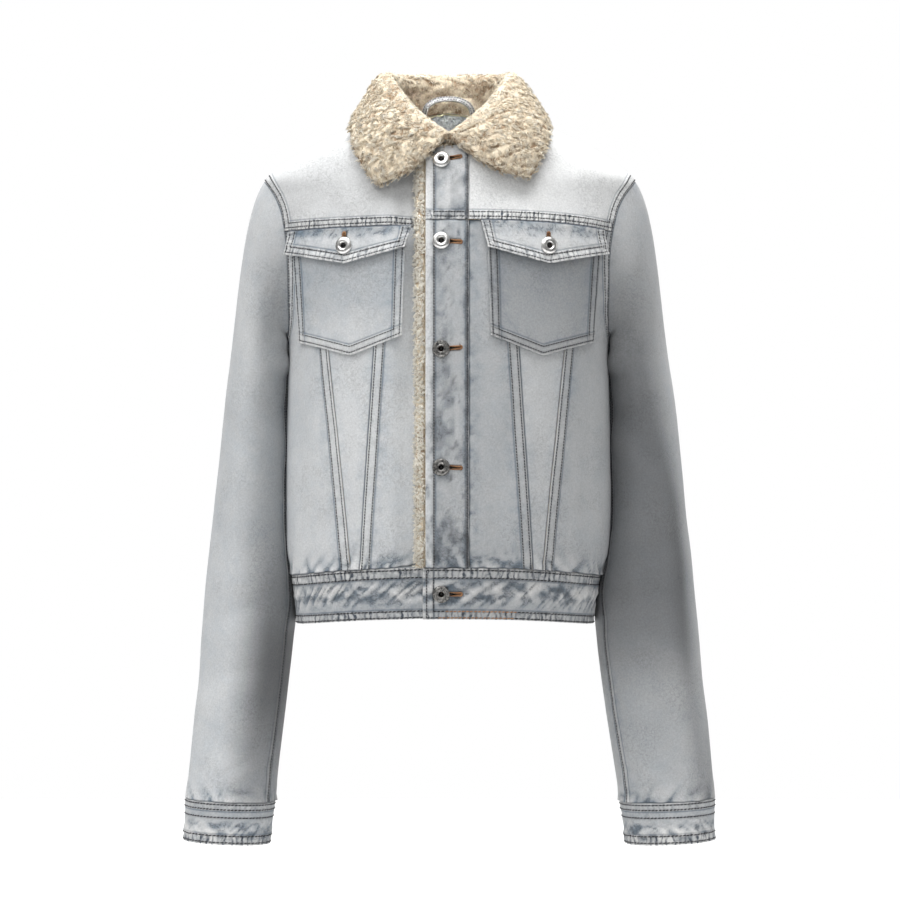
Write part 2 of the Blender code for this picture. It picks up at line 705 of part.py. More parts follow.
def add_pocket(side, word, finish, collection):
    angle, z = pointed_patch(side, POCKET, lambda x: np.full_like(x, POCKET["top_z"]), 8, 11)
    still = dict.fromkeys(("bottom", "top", "first", "last"), 0.0)
    add_panel(f"pocket_{word}", angle, z, finish, collection,
              level=LAYER_GAP + FLAP_WALL, wall=FLAP_WALL, gaps=still)


def add_flap(side, word, finish, collection):
    """Its top is caught under the yoke seam, and its point hangs over the pocket."""
    angle, z = pointed_patch(side, FLAP, lambda x: yoke_z(side, x), 5, 13)
    share = np.linspace(0, 1, len(z))[:, None]
    level = FLAP_LEVEL + (FLAP_TOP_LEVEL - FLAP_LEVEL) * eased(0.35, 1, share)
    level = np.broadcast_to(level, z.shape)
    gaps = {"bottom": 0.0, "top": SEAM_GAP, "first": 0.0, "last": 0.0}
    return add_panel(f"flap_{word}", angle, z, finish, collection,
                     level=level, wall=FLAP_WALL, gaps=gaps)


# --- Sleeves --------------------------------------------------------------------------------


def sleeve_ring(side, turn, z):
    """A point of the sleeve below the armpit, at this many degrees round it."""
    word = "left" if side > 0 else "right"
    outer = smooth(SLEEVE["z"], SLEEVE["outer_" + word], z)
    inner = smooth(SLEEVE["z"], SLEEVE["inner_" + word], z)
    middle_y = smooth(SLEEVE["z"], SLEEVE["y_middle"], z)
    half_depth = smooth(SLEEVE["z"], SLEEVE["half_depth"], z)
    tilt = smooth(SLEEVE["z"], SLEEVE["tilt"], z)
    turn = np.radians(turn)
    across = signed_power(np.cos(turn), 2 / SLEEVE_SQUARENESS) * (outer - inner) / 2
    x = side * ((outer + inner) / 2 + across)
    y = middle_y - half_depth * signed_power(np.sin(turn), 2 / SLEEVE_SQUARENESS)
    return np.stack(np.broadcast_arrays(x, y, z + tilt * across), axis=-1)


def armhole_point(side, turn):
    return torso(armhole_angle(side, turn), armhole_z(turn))


def sleeve_head(side, turn, share):
    """A point between the armhole's edge and the first whole ring, on a cubic that leaves the
    body along its surface and outward, and arrives along the arm."""
    start = armhole_point(side, turn)
    end = sleeve_ring(side, turn, np.full(np.shape(turn), SLEEVE_TOP_Z))
    below = sleeve_ring(side, turn, np.full(np.shape(turn), SLEEVE_TOP_Z - 20))
    reach = np.linalg.norm(end - start, axis=-1, keepdims=True)
    edge = unit(armhole_point(side, turn + 1.0) - armhole_point(side, turn - 1.0))
    normal = torso_normal(armhole_angle(side, turn), armhole_z(turn))
    under = ((1 - np.cos(np.radians(turn))) / 2)[..., None]
    leave = (
        side * np.cross(normal, edge) * (1 - under) * 0.5
        + np.array([side, 0, 0]) * (0.5 + 0.5 * under)
        + np.array([0, 0, -0.62]) * (1 - under)
    )
    leave = unit(leave) * reach * 0.58
    arrive = unit(below - end) * reach
    t = share[..., None]
    return (
        (2 * t**3 - 3 * t**2 + 1) * start
        + (t**3 - 2 * t**2 + t) * leave
        + (3 * t**2 - 2 * t**3) * end
        + (t**3 - t**2) * arrive
    )


def sleeve_surface(side, turn, along):
    """A point of the sleeve: along runs 0 to 1 down the head and 1 to 2 from there to the cuff."""
    turn, along = np.broadcast_arrays(np.asarray(turn, float), np.asarray(along, float))
    z = SLEEVE_TOP_Z + (CUFF_TOP_Z - SLEEVE_TOP_Z) * (np.maximum(along, 1) - 1)
    head = sleeve_head(side, turn, np.minimum(along, 1))
    return np.where((along < 1)[..., None], head, sleeve_ring(side, turn, z))


def sleeve_normal(side, turn, along):
    step = 0.01
    round_it = sleeve_surface(side, turn + 1.0, along) - sleeve_surface(side, turn - 1.0, along)
    down_it = sleeve_surface(side, turn, along + step) - sleeve_surface(side, turn, along - step)
    own = unit(side * np.cross(round_it, down_it))
    body = torso_normal(armhole_angle(side, turn), armhole_z(turn))
    share = np.where(along < HEAD_STEPS[1] / 2, 1.0, 0.0)[..., None]
    return unit(own * (1 - share) + body * share)


def sleeve_fold_level(turn, z):
    """How far the troughs across the arm sink into it."""
    level = np.zeros(np.broadcast(turn, z).shape)
    for row in SLEEVE_FOLDS:
        fold = dict(zip(SLEEVE_FOLD_COLUMNS, row))
        round_it = (np.asarray(turn) - fold["angle"] + 180) % 360 - 180
        along = z - fold["z"] - fold["slant"] * round_it
        level -= fold["depth"] * np.exp(
            -((round_it / fold["reach_angle"]) ** 2) - (along / fold["reach_z"]) ** 2
        )
    return level


def add_sleeve(side, word, finish, collection):
    """Two pieces, meeting at a seam inside the front of the arm and one behind the elbow."""
    along = np.concatenate([HEAD_STEPS, 1 + np.arange(1, ARM_ROWS + 1) / ARM_ROWS])[:, None]
    for name, start, end in (
        ("sleeve_upper", BACK_ARM_SEAM - 360, FRONT_ARM_SEAM),
        ("sleeve_under", FRONT_ARM_SEAM, BACK_ARM_SEAM),
    ):
        turn = np.arange(start, end + 1, ARMHOLE_STEP)[None].astype(float)
        grid = np.broadcast_to(turn, (len(along), turn.shape[1]))
        down = np.broadcast_to(along, grid.shape)
        points = sleeve_surface(side, grid, down)
        normal = sleeve_normal(side, grid, down)
        settle = eased(1.0, 1.1, down) * (1 - eased(1.93, 2.0, down))
        level = sleeve_fold_level(grid, points[..., 2]) * settle
        outer = points + normal * level[..., None]
        inner = points + normal * (level - WALL)[..., None]
        gaps = seam_gaps("bottom", "top")
        add_wall(f"{name}_{word}", drawn_in(outer, **gaps), drawn_in(inner, **gaps),
                 finish, collection)


def add_cuff(side, word, finish, collection):
    """A doubled band round the wrist."""
    z = np.linspace(CUFF_TOP_Z, CUFF_END_Z, CUFF_ROWS + 1)[:, None]
    turn = np.arange(0, 360, ARMHOLE_STEP)[None].astype(float)
    points = sleeve_ring(side, turn, np.broadcast_to(z, (len(z), turn.shape[1])))
    round_it = np.roll(points, -1, axis=1) - np.roll(points, 1, axis=1)
    normal = unit(side * np.cross(round_it, np.array([0.0, 0.0, 1.0])))
    outward = unit((points - points.mean(axis=1, keepdims=True)) * np.array([1, 1, 0]))
    normal = normal * np.sign((normal * outward).sum(axis=-1, keepdims=True))
    outer = drawn_in(points, bottom=ROUND_GAP / 2)
    inner = drawn_in(points - normal * BAND_WALL, bottom=ROUND_GAP / 2)
    add_wall(f"cuff_{word}", outer, inner, finish, collection, tube=True)


# --- Collar and neck ------------------------------------------------------------------------


def neck_seam_point(side, turn):
    """The neck seam at this many degrees, seen from above, from 0 at the centre front."""
    turn = np.radians(turn)
    x = side * NECK_HALF_WIDTH * np.sin(turn)
    middle = (NECK_FRONT_Y + NECK_BACK_Y) / 2
    y = middle - (NECK_BACK_Y - NECK_FRONT_Y) / 2 * np.cos(turn)
    low = np.full(np.shape(turn), SHOULDER_TIP_Z)
    high = np.full(np.shape(turn), TORSO["z"][-1])
    for _ in range(30):
        z = (low + high) / 2
        half = smooth(TORSO["z"], TORSO["half_width"], z)
        front = smooth(TORSO["z"], TORSO["front"], z)
        depth = np.where(y < 0, front, smooth(TORSO["z"], TORSO["back"], z))
        power = smooth(TORSO["z"], TORSO["squareness"], z)
        inside = np.abs(x / half) ** power + np.abs(y / depth) ** power < 1
        low = np.where(inside, z, low)
        high = np.where(inside, high, z)
    return np.stack([x, y, (low + high) / 2], axis=-1)


def collar_under_side(station):
    """Points of the collar's under side: rows are stations from the wearer's right end (-1) over
    the centre back (0) to the left end (1), and columns run from the neck seam over the roll."""
    side = np.where(station < 0, -1.0, 1.0)
    row = {
        name: smooth(COLLAR["station"], COLLAR[name], np.abs(station))
        for name in COLLAR_COLUMNS[1:]
    }
    neck = neck_seam_point(side, row["neck_angle"]) + np.array([0, 0, COLLAR_LIFT])
    roll = np.stack([side * row["roll_x"], row["roll_y"], row["roll_z"]], axis=-1)
    skew = side * eased(0.6, 1.0, np.abs(station))
    edge_angle = side * np.radians(row["edge_angle"] + COLLAR_SKEW[0] * skew)
    edge_z = row["edge_z"] + COLLAR_SKEW[1] * skew
    edge = on_torso(edge_angle, edge_z, row["edge_lift"])
    over = torso_normal(edge_angle, edge_z)
    away = unit((edge - roll) * np.array([1, 1, 0]))
    up = np.array([0, 0, 1.0])
    knots = np.stack([
        neck,
        (neck + roll) / 2 - away * 0.6,
        roll - away * ROLL_RADIUS,
        roll + (up - away * 0.2) * ROLL_RADIUS,
        roll + away * ROLL_RADIUS,
        (roll + edge) / 2 + over * row["bulge"][:, None] + up * row["droop"][:, None],
        edge,
    ])
    shares = np.array([0.0, 0.2, 0.41, 0.46, 0.51, 0.74, 1.0])
    at = np.array(SECTION_SHARES)
    section = np.stack([smooth(shares, knots[..., k].reshape(len(shares), -1).T[i], at)
                        for i in range(len(station)) for k in range(3)])
    return section.reshape(len(station), 3, len(at)).transpose(0, 2, 1)


def add_collar(finish, collection):
    station = np.linspace(-1, 1, 2 * COLLAR_STATIONS + 1)
    under = collar_under_side(station)
    along = np.gradient(under, axis=0)
    across = np.gradient(under, axis=1)
    normal = unit(np.cross(across, along))
    centre = len(station) // 2
    if normal[centre, 0, 1] > 0:  # the pile faces the neck on the stand
        normal = -normal
    pile = columns(PILE_COLUMNS, PILE)
    thickness = np.interp(SECTION_SHARES, pile["share"], pile["thickness"])
    top = under + normal * thickness[None, :, None]
    add_wall("collar", top, under, finish, collection)


def add_hanger_loop(facing_grid, finish, collection):
    """A strap that leaves the back neck facing and stands forward of the collar."""
    below, above = (
        np.array([np.interp(LOOP_END_X, row[::-1, 0], row[::-1, k]) for k in range(3)])
        for row in facing_grid[-2:]
    )
    flat = unit(np.cross(above - below, np.array([1.0, 0, 0])))
    flat = flat * -np.sign(flat[1])
    seat = flat * (LOOP_SEAT + LOOP_WALL / 2)
    ends = [below + (above - below) * share + seat for share in LOOP_ENDS]
    half = np.array([*ends, *LOOP_PATH])
    knots = np.concatenate([half, (half * np.array([-1, 1, 1]))[-2::-1]])
    steps = np.linalg.norm(np.diff(knots, axis=0), axis=1)
    stations = np.concatenate([[0], np.cumsum(steps)])
    at = np.linspace(0, stations[-1], LOOP_STEPS)
    path = np.stack([smooth(stations, knots[:, k], at) for k in range(3)], axis=-1)
    tangent = unit(np.gradient(path, axis=0))
    facing = unit(np.array([0, -0.75, 0.66]) * np.ones((LOOP_STEPS, 1)))
    near = eased(0.66, 0.86, np.abs(at / stations[-1] * 2 - 1))[:, None]
    facing = facing * (1 - near) + flat * near
    facing = unit(facing - tangent * (tangent * facing).sum(axis=-1, keepdims=True))
    wide = np.cross(tangent, facing)
    across = np.linspace(-0.5, 0.5, 3)[None, :, None] * LOOP_WIDTH
    middle = path[:, None] + wide[:, None] * across
    half_wall = facing[:, None] * LOOP_WALL / 2
    add_wall("hanger_loop", middle + half_wall, middle - half_wall, finish, collection)


# --- Buttons --------------------------------------------------------------------------------


def add_button(name, angle, z, level, seat_level, finish, collection):
    """A turned cap on a shank that passes through the buttonhole to the cloth under it."""
    shank_length = level + BUTTON_SEAT - seat_level - SEAM_GAP
    profile = list(BUTTON_PROFILE) + [
        (SHANK_RADIUS, 0.0),
        (SHANK_RADIUS, -shank_length),
        (0.0, -shank_length),
    ]
    mesh = bpy.data.meshes.new(name)
    points = [(radius * MM, 0, height * MM) for radius, height in profile]
    mesh.from_pydata(points, [(i, i + 1) for i in range(len(points) - 1)], [])
    made = add_object(name, mesh, finish, collection)
    turned = made.modifiers.new("turned", "SCREW")
    turned.steps = turned.render_steps = BUTTON_STEPS
    turned.use_merge_vertices = True
    turned.merge_threshold = 1e-5
    turned.use_smooth_shade = True
    place_on_cloth(made, angle, z, level + BUTTON_SEAT)
    return made


def place_on_cloth(made, angle, z, level):
    """Moves the object onto the form, its own +Z along the form's outward direction."""
    normal = Vector(torso_normal(angle, z))
    made.rotation_mode = "QUATERNION"
    made.rotation_quaternion = normal.to_track_quat("Z", "Y")
    made.location = Vector(on_torso(angle, z, level)) * MM


def cut_buttonhole(cloth, angle, z, level, reach, upright, cutters):
    """Cuts a slot through a wall whose outer side has this level; reach is how far it runs each way."""
    before, after = reach
    top, bottom = 3.0, -BAND_WALL - 0.45  # clear of the cloth underneath
    slot = bmesh.new()
    bmesh.ops.create_cube(slot, size=1.0)
    length = before + after
    for corner in slot.verts:
        corner.co.x = (corner.co.x * length + (after - before) / 2) * MM
        corner.co.y *= BUTTONHOLE_WIDTH * MM
        corner.co.z = (corner.co.z * (top - bottom) + (top + bottom) / 2) * MM
    mesh = bpy.data.meshes.new("buttonhole")
    slot.to_mesh(mesh)
    slot.free()
    cutter = bpy.data.objects.new("buttonhole", mesh)
    cutters.objects.link(cutter)
    cutter.hide_render = True
    cutter.display_type = "WIRE"
    point = on_torso(angle, z, level)
    normal = torso_normal(angle, z)
    along = np.array([0, 0, 1.0]) if upright else np.array([1.0, 0, 0])
    along = unit(along - normal * (along @ normal))
    across = np.cross(normal, along)
    frame = np.eye(4)
    frame[:3, 0], frame[:3, 1], frame[:3, 2], frame[:3, 3] = along, across, normal, point * MM
    cutter.matrix_world = Matrix(frame.tolist())
    cut = cloth.modifiers.new("buttonhole", "BOOLEAN")
    cut.object = cutter
    cut.operation = "DIFFERENCE"


# --- The jacket -----------------------------------------------------------------------------


def clear_scene():
    for old in list(bpy.data.objects):
        bpy.data.objects.remove(old, do_unlink=True)


def new_collection(name):
    made = bpy.data.collections.new(name)
    bpy.context.scene.collection.children.link(made)
    return made


def main():
    clear_scene()
    jacket = new_collection("sherpa_lined_jacket")
    cutters = new_collection("cutters")
    denim = material("denim", (0.60, 0.64, 0.68), 0.9)
    sherpa = material("sherpa", (0.74, 0.66, 0.53), 1.0)
    metal = material("button_metal", (0.62, 0.61, 0.60), 0.3, metallic=1.0)

    flaps = {}
    for side, word in ((1, "left"), (-1, "right")):
        add_front_side(side, word, denim, jacket)
        add_front_dart(side, word, denim, jacket)
        add_front_centre(side, word, denim, jacket)
        add_front_yoke(side, word, denim, jacket)
        add_pocket(side, word, denim, jacket)
        flaps[side] = add_flap(side, word, denim, jacket)
        add_sleeve(side, word, denim, jacket)
        add_cuff(side, word, denim, jacket)
    add_back_yoke(denim, jacket)
    add_back_panel(denim, jacket)
    band = add_waistband(denim, jacket)
    placket_yoke, placket_front = add_placket(denim, jacket)
    add_sherpa_strip(sherpa, jacket)
    add_collar(sherpa, jacket)
    facing_grid = add_neck_facing(denim, jacket)
    add_hanger_loop(facing_grid, denim, jacket)

    sideways = (SHANK_RADIUS + 0.6, BUTTONHOLE_LENGTH - SHANK_RADIUS)
    upright = (SHANK_RADIUS + 0.6, FLAP_HOLE_REACH)
    for number, z in enumerate(BUTTON_HEIGHTS, 1):
        angle = front_angle(BUTTON_X, z)
        add_button(f"button_{number}", angle, z, PLACKET_LEVEL, UNDERLAP_LEVEL, metal, jacket)
        cloth = placket_yoke if z > YOKE_SEAM[1][0] else placket_front
        cut_buttonhole(cloth, angle, z, PLACKET_LEVEL, sideways, False, cutters)
    angle = front_angle(BUTTON_X, BAND_BUTTON_Z)
    add_button("button_5", angle, BAND_BUTTON_Z, BAND_LAP_LEVEL, BAND_UNDER_LEVEL, metal, jacket)
    cut_buttonhole(band, angle, BAND_BUTTON_Z, BAND_LAP_LEVEL, sideways, False, cutters)
    for side, word in ((1, "left"), (-1, "right")):
        distance, z = FLAP_BUTTON
        angle = front_angle(front_x(side, distance), z)
        name = f"flap_button_{word}"
        add_button(name, angle, z, FLAP_LEVEL, LAYER_GAP + FLAP_WALL, metal, jacket)
        cut_buttonhole(flaps[side], angle, z, FLAP_LEVEL, upright, True, cutters)


main()
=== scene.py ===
"""A waist-length denim jacket with a sherpa collar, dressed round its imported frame.

Lengths are in millimetres until a mesh is made, and the scene is in metres. +X is the wearer's
left, -Y the front and +Z up, and the origin is the middle of the neck opening. Cloth is laid
out as grids: a place on the body's form is an angle (0 at the centre front, 90 degrees at the
wearer's left side) and a height, and a level is a distance outward from the form.
"""

from __future__ import annotations

import json
import logging
import math
from collections.abc import Callable, Sequence
from dataclasses import dataclass, field
from enum import Enum

import bmesh
import bpy
import numpy as np
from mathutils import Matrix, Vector

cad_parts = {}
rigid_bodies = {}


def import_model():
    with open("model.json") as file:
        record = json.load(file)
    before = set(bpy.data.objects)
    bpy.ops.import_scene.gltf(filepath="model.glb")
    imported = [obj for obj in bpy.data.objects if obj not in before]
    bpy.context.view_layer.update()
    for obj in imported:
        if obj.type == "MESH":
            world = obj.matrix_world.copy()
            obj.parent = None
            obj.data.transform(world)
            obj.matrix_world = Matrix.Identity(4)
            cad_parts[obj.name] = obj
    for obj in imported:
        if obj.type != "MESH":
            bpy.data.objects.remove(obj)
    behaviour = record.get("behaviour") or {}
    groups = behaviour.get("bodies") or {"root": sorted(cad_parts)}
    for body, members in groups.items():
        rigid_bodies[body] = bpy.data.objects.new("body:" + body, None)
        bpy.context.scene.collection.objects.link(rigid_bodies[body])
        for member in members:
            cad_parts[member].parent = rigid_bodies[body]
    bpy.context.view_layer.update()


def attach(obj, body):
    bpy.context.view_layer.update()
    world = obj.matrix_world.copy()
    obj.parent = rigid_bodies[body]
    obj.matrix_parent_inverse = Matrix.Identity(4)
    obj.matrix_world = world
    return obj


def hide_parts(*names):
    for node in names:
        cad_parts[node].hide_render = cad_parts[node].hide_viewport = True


log = logging.getLogger("jacket")

MM = 0.001
WALL = 2.0  # a panel of denim
BAND_WALL = 2.4  # doubled denim
SEAM_GAP = 0.3  # between two pieces that meet at a seam
ROUND_GAP = 0.6  # the same where the seam bends sharply
LAYER_GAP = 0.6  # between a piece and the one that it lies on
UNSEWN = 99.0  # written as the distance to a seam where an edge has none
BAND = 10.5  # how wide a doubled edge is
INNER_SKIP = 3  # the inner side of a wall keeps every third line of the outer side
SEWN_LINES = (0.0, 0.4, 1.0, 1.7, 2.5, 3.4, 4.8, 6.4, 7.8, 8.7, 9.6, 10.8, 12.6, 15.0)
PLAIN_LINES = (0.0, 0.45, 1.2, 3.0)
CHANNEL_WIDTH = 0.8  # of the dent along a row of stitches
CHANNEL_DEPTH = 0.35
BUNCH_LIMIT = 2.2  # how far cloth may bunch up
LATTICE = 256  # random heights each way, past which bumps repeat
SHIFT = 1000  # keeps every place on the lattice's positive side
HALVINGS = 30

Grid = np.ndarray
Surface = Callable[[Grid, Grid], tuple[Grid, Grid]]
Level = Callable[[Grid, Grid], Grid]  # a value at each of these points and places
Colour = tuple[float, float, float, float]
Object = bpy.types.Object
Material = bpy.types.Material
Socket = bpy.types.NodeSocket


class Side(Enum):
    """The wearer's left or right, with the sign of its x."""

    LEFT = 1
    RIGHT = -1

    @property
    def word(self) -> str:
        """The side as it ends a piece's name."""
        return self.name.lower()


class Edge(Enum):
    """An edge of a grid of cloth."""

    BOTTOM = "bottom"
    TOP = "top"
    FIRST = "first"
    LAST = "last"


# --- Sums on whole arrays ---------------------------------------------------------------------


def cubic(t: Grid, start: Grid, leave: Grid, end: Grid, arrive: Grid) -> Grid:
    """The cubic from start to end as t goes from 0 to 1, with these slopes at its ends."""
    return ((2 * t**3 - 3 * t**2 + 1) * start + (t**3 - 2 * t**2 + t) * leave
            + (3 * t**2 - 2 * t**3) * end + (t**3 - t**2) * arrive)


def smooth(stations: Grid, values: Grid, at: Grid) -> Grid:
    """A cubic through the values, whose slope at a station follows its two neighbours.

    Args:
        stations: Where the values are known, rising.
        values: The values there.
        at: Where to work the cubic out; beyond the ends it stays level.

    Returns:
        The cubic at each place.
    """
    at = np.clip(np.asarray(at, float), stations[0], stations[-1])
    slopes = np.gradient(values, stations)
    i = np.clip(np.searchsorted(stations, at, side="right") - 1, 0, len(stations) - 2)
    width = stations[i + 1] - stations[i]
    return cubic((at - stations[i]) / width, values[i], width * slopes[i],
                 values[i + 1], width * slopes[i + 1])


def eased(low: float, high: float, at: Grid) -> Grid:
    """0 up to low, 1 from high on, and an S-shaped rise between them."""
    t = np.clip((np.asarray(at, float) - low) / (high - low), 0, 1)
    return t * t * (3 - 2 * t)


def signed_power(value: Grid, power: Grid) -> Grid:
    """The value's size to this power, with its sign kept."""
    return np.sign(value) * np.abs(value) ** power


def unit(vectors: Grid) -> Grid:
    """The vectors with their length made 1."""
    return vectors / np.maximum(np.linalg.norm(vectors, axis=-1, keepdims=True), 1e-9)


def halved(beyond: Callable[[Grid], Grid], low: Grid, high: Grid) -> Grid:
    """Where beyond stops being true between low, where it is, and high, found by halving.

    Args:
        beyond: Tells at which values it is still true.
        low: Values at which it is true.
        high: Values at which it no longer is.

    Returns:
        The values at which it changes.
    """
    for _ in range(HALVINGS):
        middle = (low + high) / 2
        yes = beyond(middle)
        low, high = np.where(yes, middle, low), np.where(yes, high, middle)
    return (low + high) / 2


def along_line(at: Grid, stations: Grid, points: Grid) -> Grid:
    """Points at these distances along a line, straight between those that it has."""
    return np.stack([np.interp(at, stations, column) for column in points.T], axis=-1)


def ripples(across: Grid, along: Grid, pitch: tuple[float, float], seed: int) -> Grid:
    """Uneven bumps from -1 to 1 over two distances: random heights on a lattice, joined by S-shaped
    steps both ways.

    Args:
        across: Distances one way over the cloth.
        along: Distances the other way.
        pitch: The lattice's spacing each way.
        seed: Picks the heights.

    Returns:
        The bumps at each place.
    """
    heights = np.random.default_rng(seed).uniform(-1, 1, (LATTICE, LATTICE))
    u, v = across / pitch[0] + SHIFT, along / pitch[1] + SHIFT
    i, j = np.floor(u).astype(int), np.floor(v).astype(int)
    s, t = u - i, v - j
    s, t = s * s * (3 - 2 * s), t * t * (3 - 2 * t)

    def at(row: Grid, column: Grid) -> Grid:
        """The lattice's height at this row and column."""
        return heights[row % LATTICE, column % LATTICE]

    low = at(i, j) * (1 - s) + at(i + 1, j) * s
    high = at(i, j + 1) * (1 - s) + at(i + 1, j + 1) * s
    return low * (1 - t) + high * t


def puffs(across: Grid, along: Grid, pitch: tuple[float, float], seed: int) -> Grid:
    """Rounded puffs with sharp creases between them: the size of uneven bumps, without their sign."""
    return np.abs(ripples(across, along, pitch, seed)) * 2.4 - 0.8


def run_length(points: Grid, axis: int) -> Grid:
    """The distance travelled over a grid of points, along this axis and from its first line.

    Args:
        points: The grid.
        axis: The axis that is travelled along.

    Returns:
        The distance at each point.
    """
    steps = np.linalg.norm(np.diff(points, axis=axis), axis=-1)
    start = np.zeros_like(np.take(steps, [0], axis=axis))
    return np.concatenate([start, np.cumsum(steps, axis=axis)], axis=axis)


@dataclass(frozen=True)
class Table:
    """Rows of numbers whose named columns run smoothly from the first one's value to the next."""

    names: tuple[str, ...]
    rows: tuple[tuple[float, ...], ...]

    def column(self, name: str) -> Grid:
        """All the values of one column."""
        return np.array([row[self.names.index(name)] for row in self.rows], float)

    def at(self, name: str, station: Grid) -> Grid:
        """One column's value at these values of the first column."""
        return smooth(self.column(self.names[0]), self.column(name), station)


# --- The form that the body lies on -----------------------------------------------------------


@dataclass(frozen=True)
class BodyForm:
    """A stack of rounded rings: |x/half_width|^n + |y/depth|^n = 1 at each height, its sides dropped
    a little, with the lines of the neck, armholes and yoke seams on it."""

    rings: Table = Table(
        ("z", "half_width", "middle", "front", "back", "squareness", "side_drop"),
        (
            (-500, 147.5, -3.5, 103.0, 95.0, 2.45, 8.5),
            (-475, 150.5, -3.0, 106.0, 98.0, 2.45, 9.5),
            (-449, 154.0, -2.5, 109.0, 100.0, 2.40, 10.5),
            (-430, 159.5, -1.0, 115.0, 105.0, 2.35, 9.0),
            (-400, 161.5, 0.0, 118.0, 108.0, 2.30, 6.0),
            (-340, 161.5, 0.0, 119.5, 111.0, 2.30, 2.0),
            (-280, 160.4, 0.0, 120.0, 114.0, 2.30, 0.0),
            (-232, 160.0, 0.0, 119.5, 116.0, 2.30, 0.0),
            (-212, 162.4, 0.0, 118.7, 116.7, 2.28, 0.0),
            (-190, 167.4, 0.0, 117.5, 117.0, 2.25, 0.0),
            (-165, 173.4, 0.0, 115.8, 116.8, 2.22, 0.0),
            (-140, 178.8, 0.0, 113.3, 115.3, 2.20, 0.0),
            (-113, 183.4, 0.5, 110.0, 113.0, 2.20, 0.0),
            (-85, 186.5, 1.0, 104.0, 108.0, 2.15, 0.0),
            (-67, 185.0, 1.5, 99.5, 103.0, 2.15, 0.0),
            (-55, 172.8, 1.5, 96.0, 99.5, 2.12, 0.0),
            (-43, 156.0, 2.5, 91.0, 94.5, 2.10, 0.0),
            (-31, 135.0, 2.5, 83.5, 87.0, 2.05, 0.0),
            (-19, 110.5, 2.0, 74.0, 78.5, 2.00, 0.0),
            (-10, 88.5, 1.0, 63.0, 72.5, 2.00, 0.0),
            (-4, 71.0, 0.0, 54.0, 66.0, 2.00, 0.0),
            (2, 57.0, 0.0, 44.0, 61.5, 2.00, 0.0),
            (8, 42.0, 0.0, 34.0, 57.0, 2.00, 0.0),
            (14, 26.0, 0.0, 24.0, 50.0, 2.00, 0.0),
        ),
    )
    armhole: Table = Table(
        ("z", "x"),
        (
            (-232, 160.0), (-215, 157.5), (-180, 157.0), (-150, 157.5), (-135, 158.5),
            (-115, 161.5), (-97, 166.0), (-82, 173.5), (-72, 181.0), (-67, 185.0),
        ),
    )
    hem_z: float = -499.0
    band_top_z: float = -449.0
    armpit_z: float = -232.0
    shoulder_tip_z: float = -67.0
    armhole_evenness: float = 1.14
    yoke_end: float = 75.0  # degrees round the armhole
    neck_half_width: float = 72.0
    neck_front_y: float = -88.0
    neck_back_y: float = 57.0
    neck_front_z: float = -37.0  # close to where the placket meets the neck seam
    neck_low_z: float = -113.0  # lower than any of the neck seam
    yoke_centre: tuple[float, float] = (-112.3, -117.2)  # left and right
    yoke_power: tuple[float, float] = (3.0, 1.2)

    def points(self, angle: Grid, z: Grid) -> Grid:
        """Points on the form at these angles, in radians, and heights.

        Args:
            angle: Angles round the form, in radians.
            z: Heights.

        Returns:
            A point for each angle and height.
        """
        angle, z = np.broadcast_arrays(np.asarray(angle, float), np.asarray(z, float))
        ring = {name: self.rings.at(name, z) for name in self.rings.names[1:]}
        power = 2 / ring["squareness"]
        across = signed_power(np.sin(angle), power)
        depth = signed_power(np.cos(angle), power)
        x = ring["middle"] + ring["half_width"] * across
        y = -np.where(depth > 0, ring["front"], ring["back"]) * depth
        return np.stack([x, y, z - ring["side_drop"] * np.sin(angle) ** 2], axis=-1)

    def outward(self, angle: Grid, z: Grid) -> Grid:
        """The form's outward direction: the cross product of a step round it and a step up it.

        Args:
            angle: Angles round the form, in radians.
            z: Heights.

        Returns:
            A unit vector for each angle and height.
        """
        step = 1e-3
        angle, z = np.asarray(angle, float), np.asarray(z, float)
        round_it = self.points(angle + step, z) - self.points(angle - step, z)
        up_it = self.points(angle, z + 0.5) - self.points(angle, z - 0.5)
        return unit(np.cross(round_it, up_it))

    def surface(self, angle: Grid, z: Grid) -> tuple[Grid, Grid]:
        """Points on the form and its outward direction there."""
        return self.points(angle, z), self.outward(angle, z)

    def at_level(self, angle: Grid, z: Grid, level: Grid) -> Grid:
        """Points at this level over the form."""
        points, outward = self.surface(angle, z)
        return points + outward * np.broadcast_to(level, points.shape[:-1])[..., None]

    def front_angle(self, x: Grid, z: Grid) -> Grid:
        """The angle at which the form's front has this x, seen from the front.

        Args:
            x: Distances towards the wearer's left.
            z: Heights.

        Returns:
            The angles, in radians.
        """
        half = self.rings.at("half_width", z)
        power = self.rings.at("squareness", z) / 2
        share = np.clip((np.asarray(x, float) - self.rings.at("middle", z)) / half, -1, 1)
        return np.arcsin(signed_power(share, power))

    def neck_z(self, angle: Grid) -> Grid:
        """The height at which the neck seam crosses this angle, found by halving.

        Args:
            angle: Angles round the form, in radians.

        Returns:
            The heights.
        """
        middle = (self.neck_front_y + self.neck_back_y) / 2
        half = (self.neck_back_y - self.neck_front_y) / 2
        angle = np.asarray(angle, float)

        def outside(z: Grid) -> Grid:
            """Whether the form at this height is outside the neck seam, seen from above.

            Args:
                z: Heights.

            Returns:
                True where it is.
            """
            point = self.points(angle, z)
            across, depth = point[..., 0] / self.neck_half_width, (point[..., 1] - middle) / half
            return across**2 + depth**2 > 1

        return halved(outside, np.full(angle.shape, self.neck_low_z),
                      np.full(angle.shape, self.rings.column("z")[-1]))

    def neck_angle(self, x: float) -> float:
        """The angle at which the front of the neck seam has this x.

        Args:
            x: A distance towards the wearer's left.

        Returns:
            The angle, in radians.
        """
        angle = self.front_angle(x, self.neck_front_z)
        for _ in range(8):
            angle = self.front_angle(x, self.neck_z(angle))
        return float(angle)

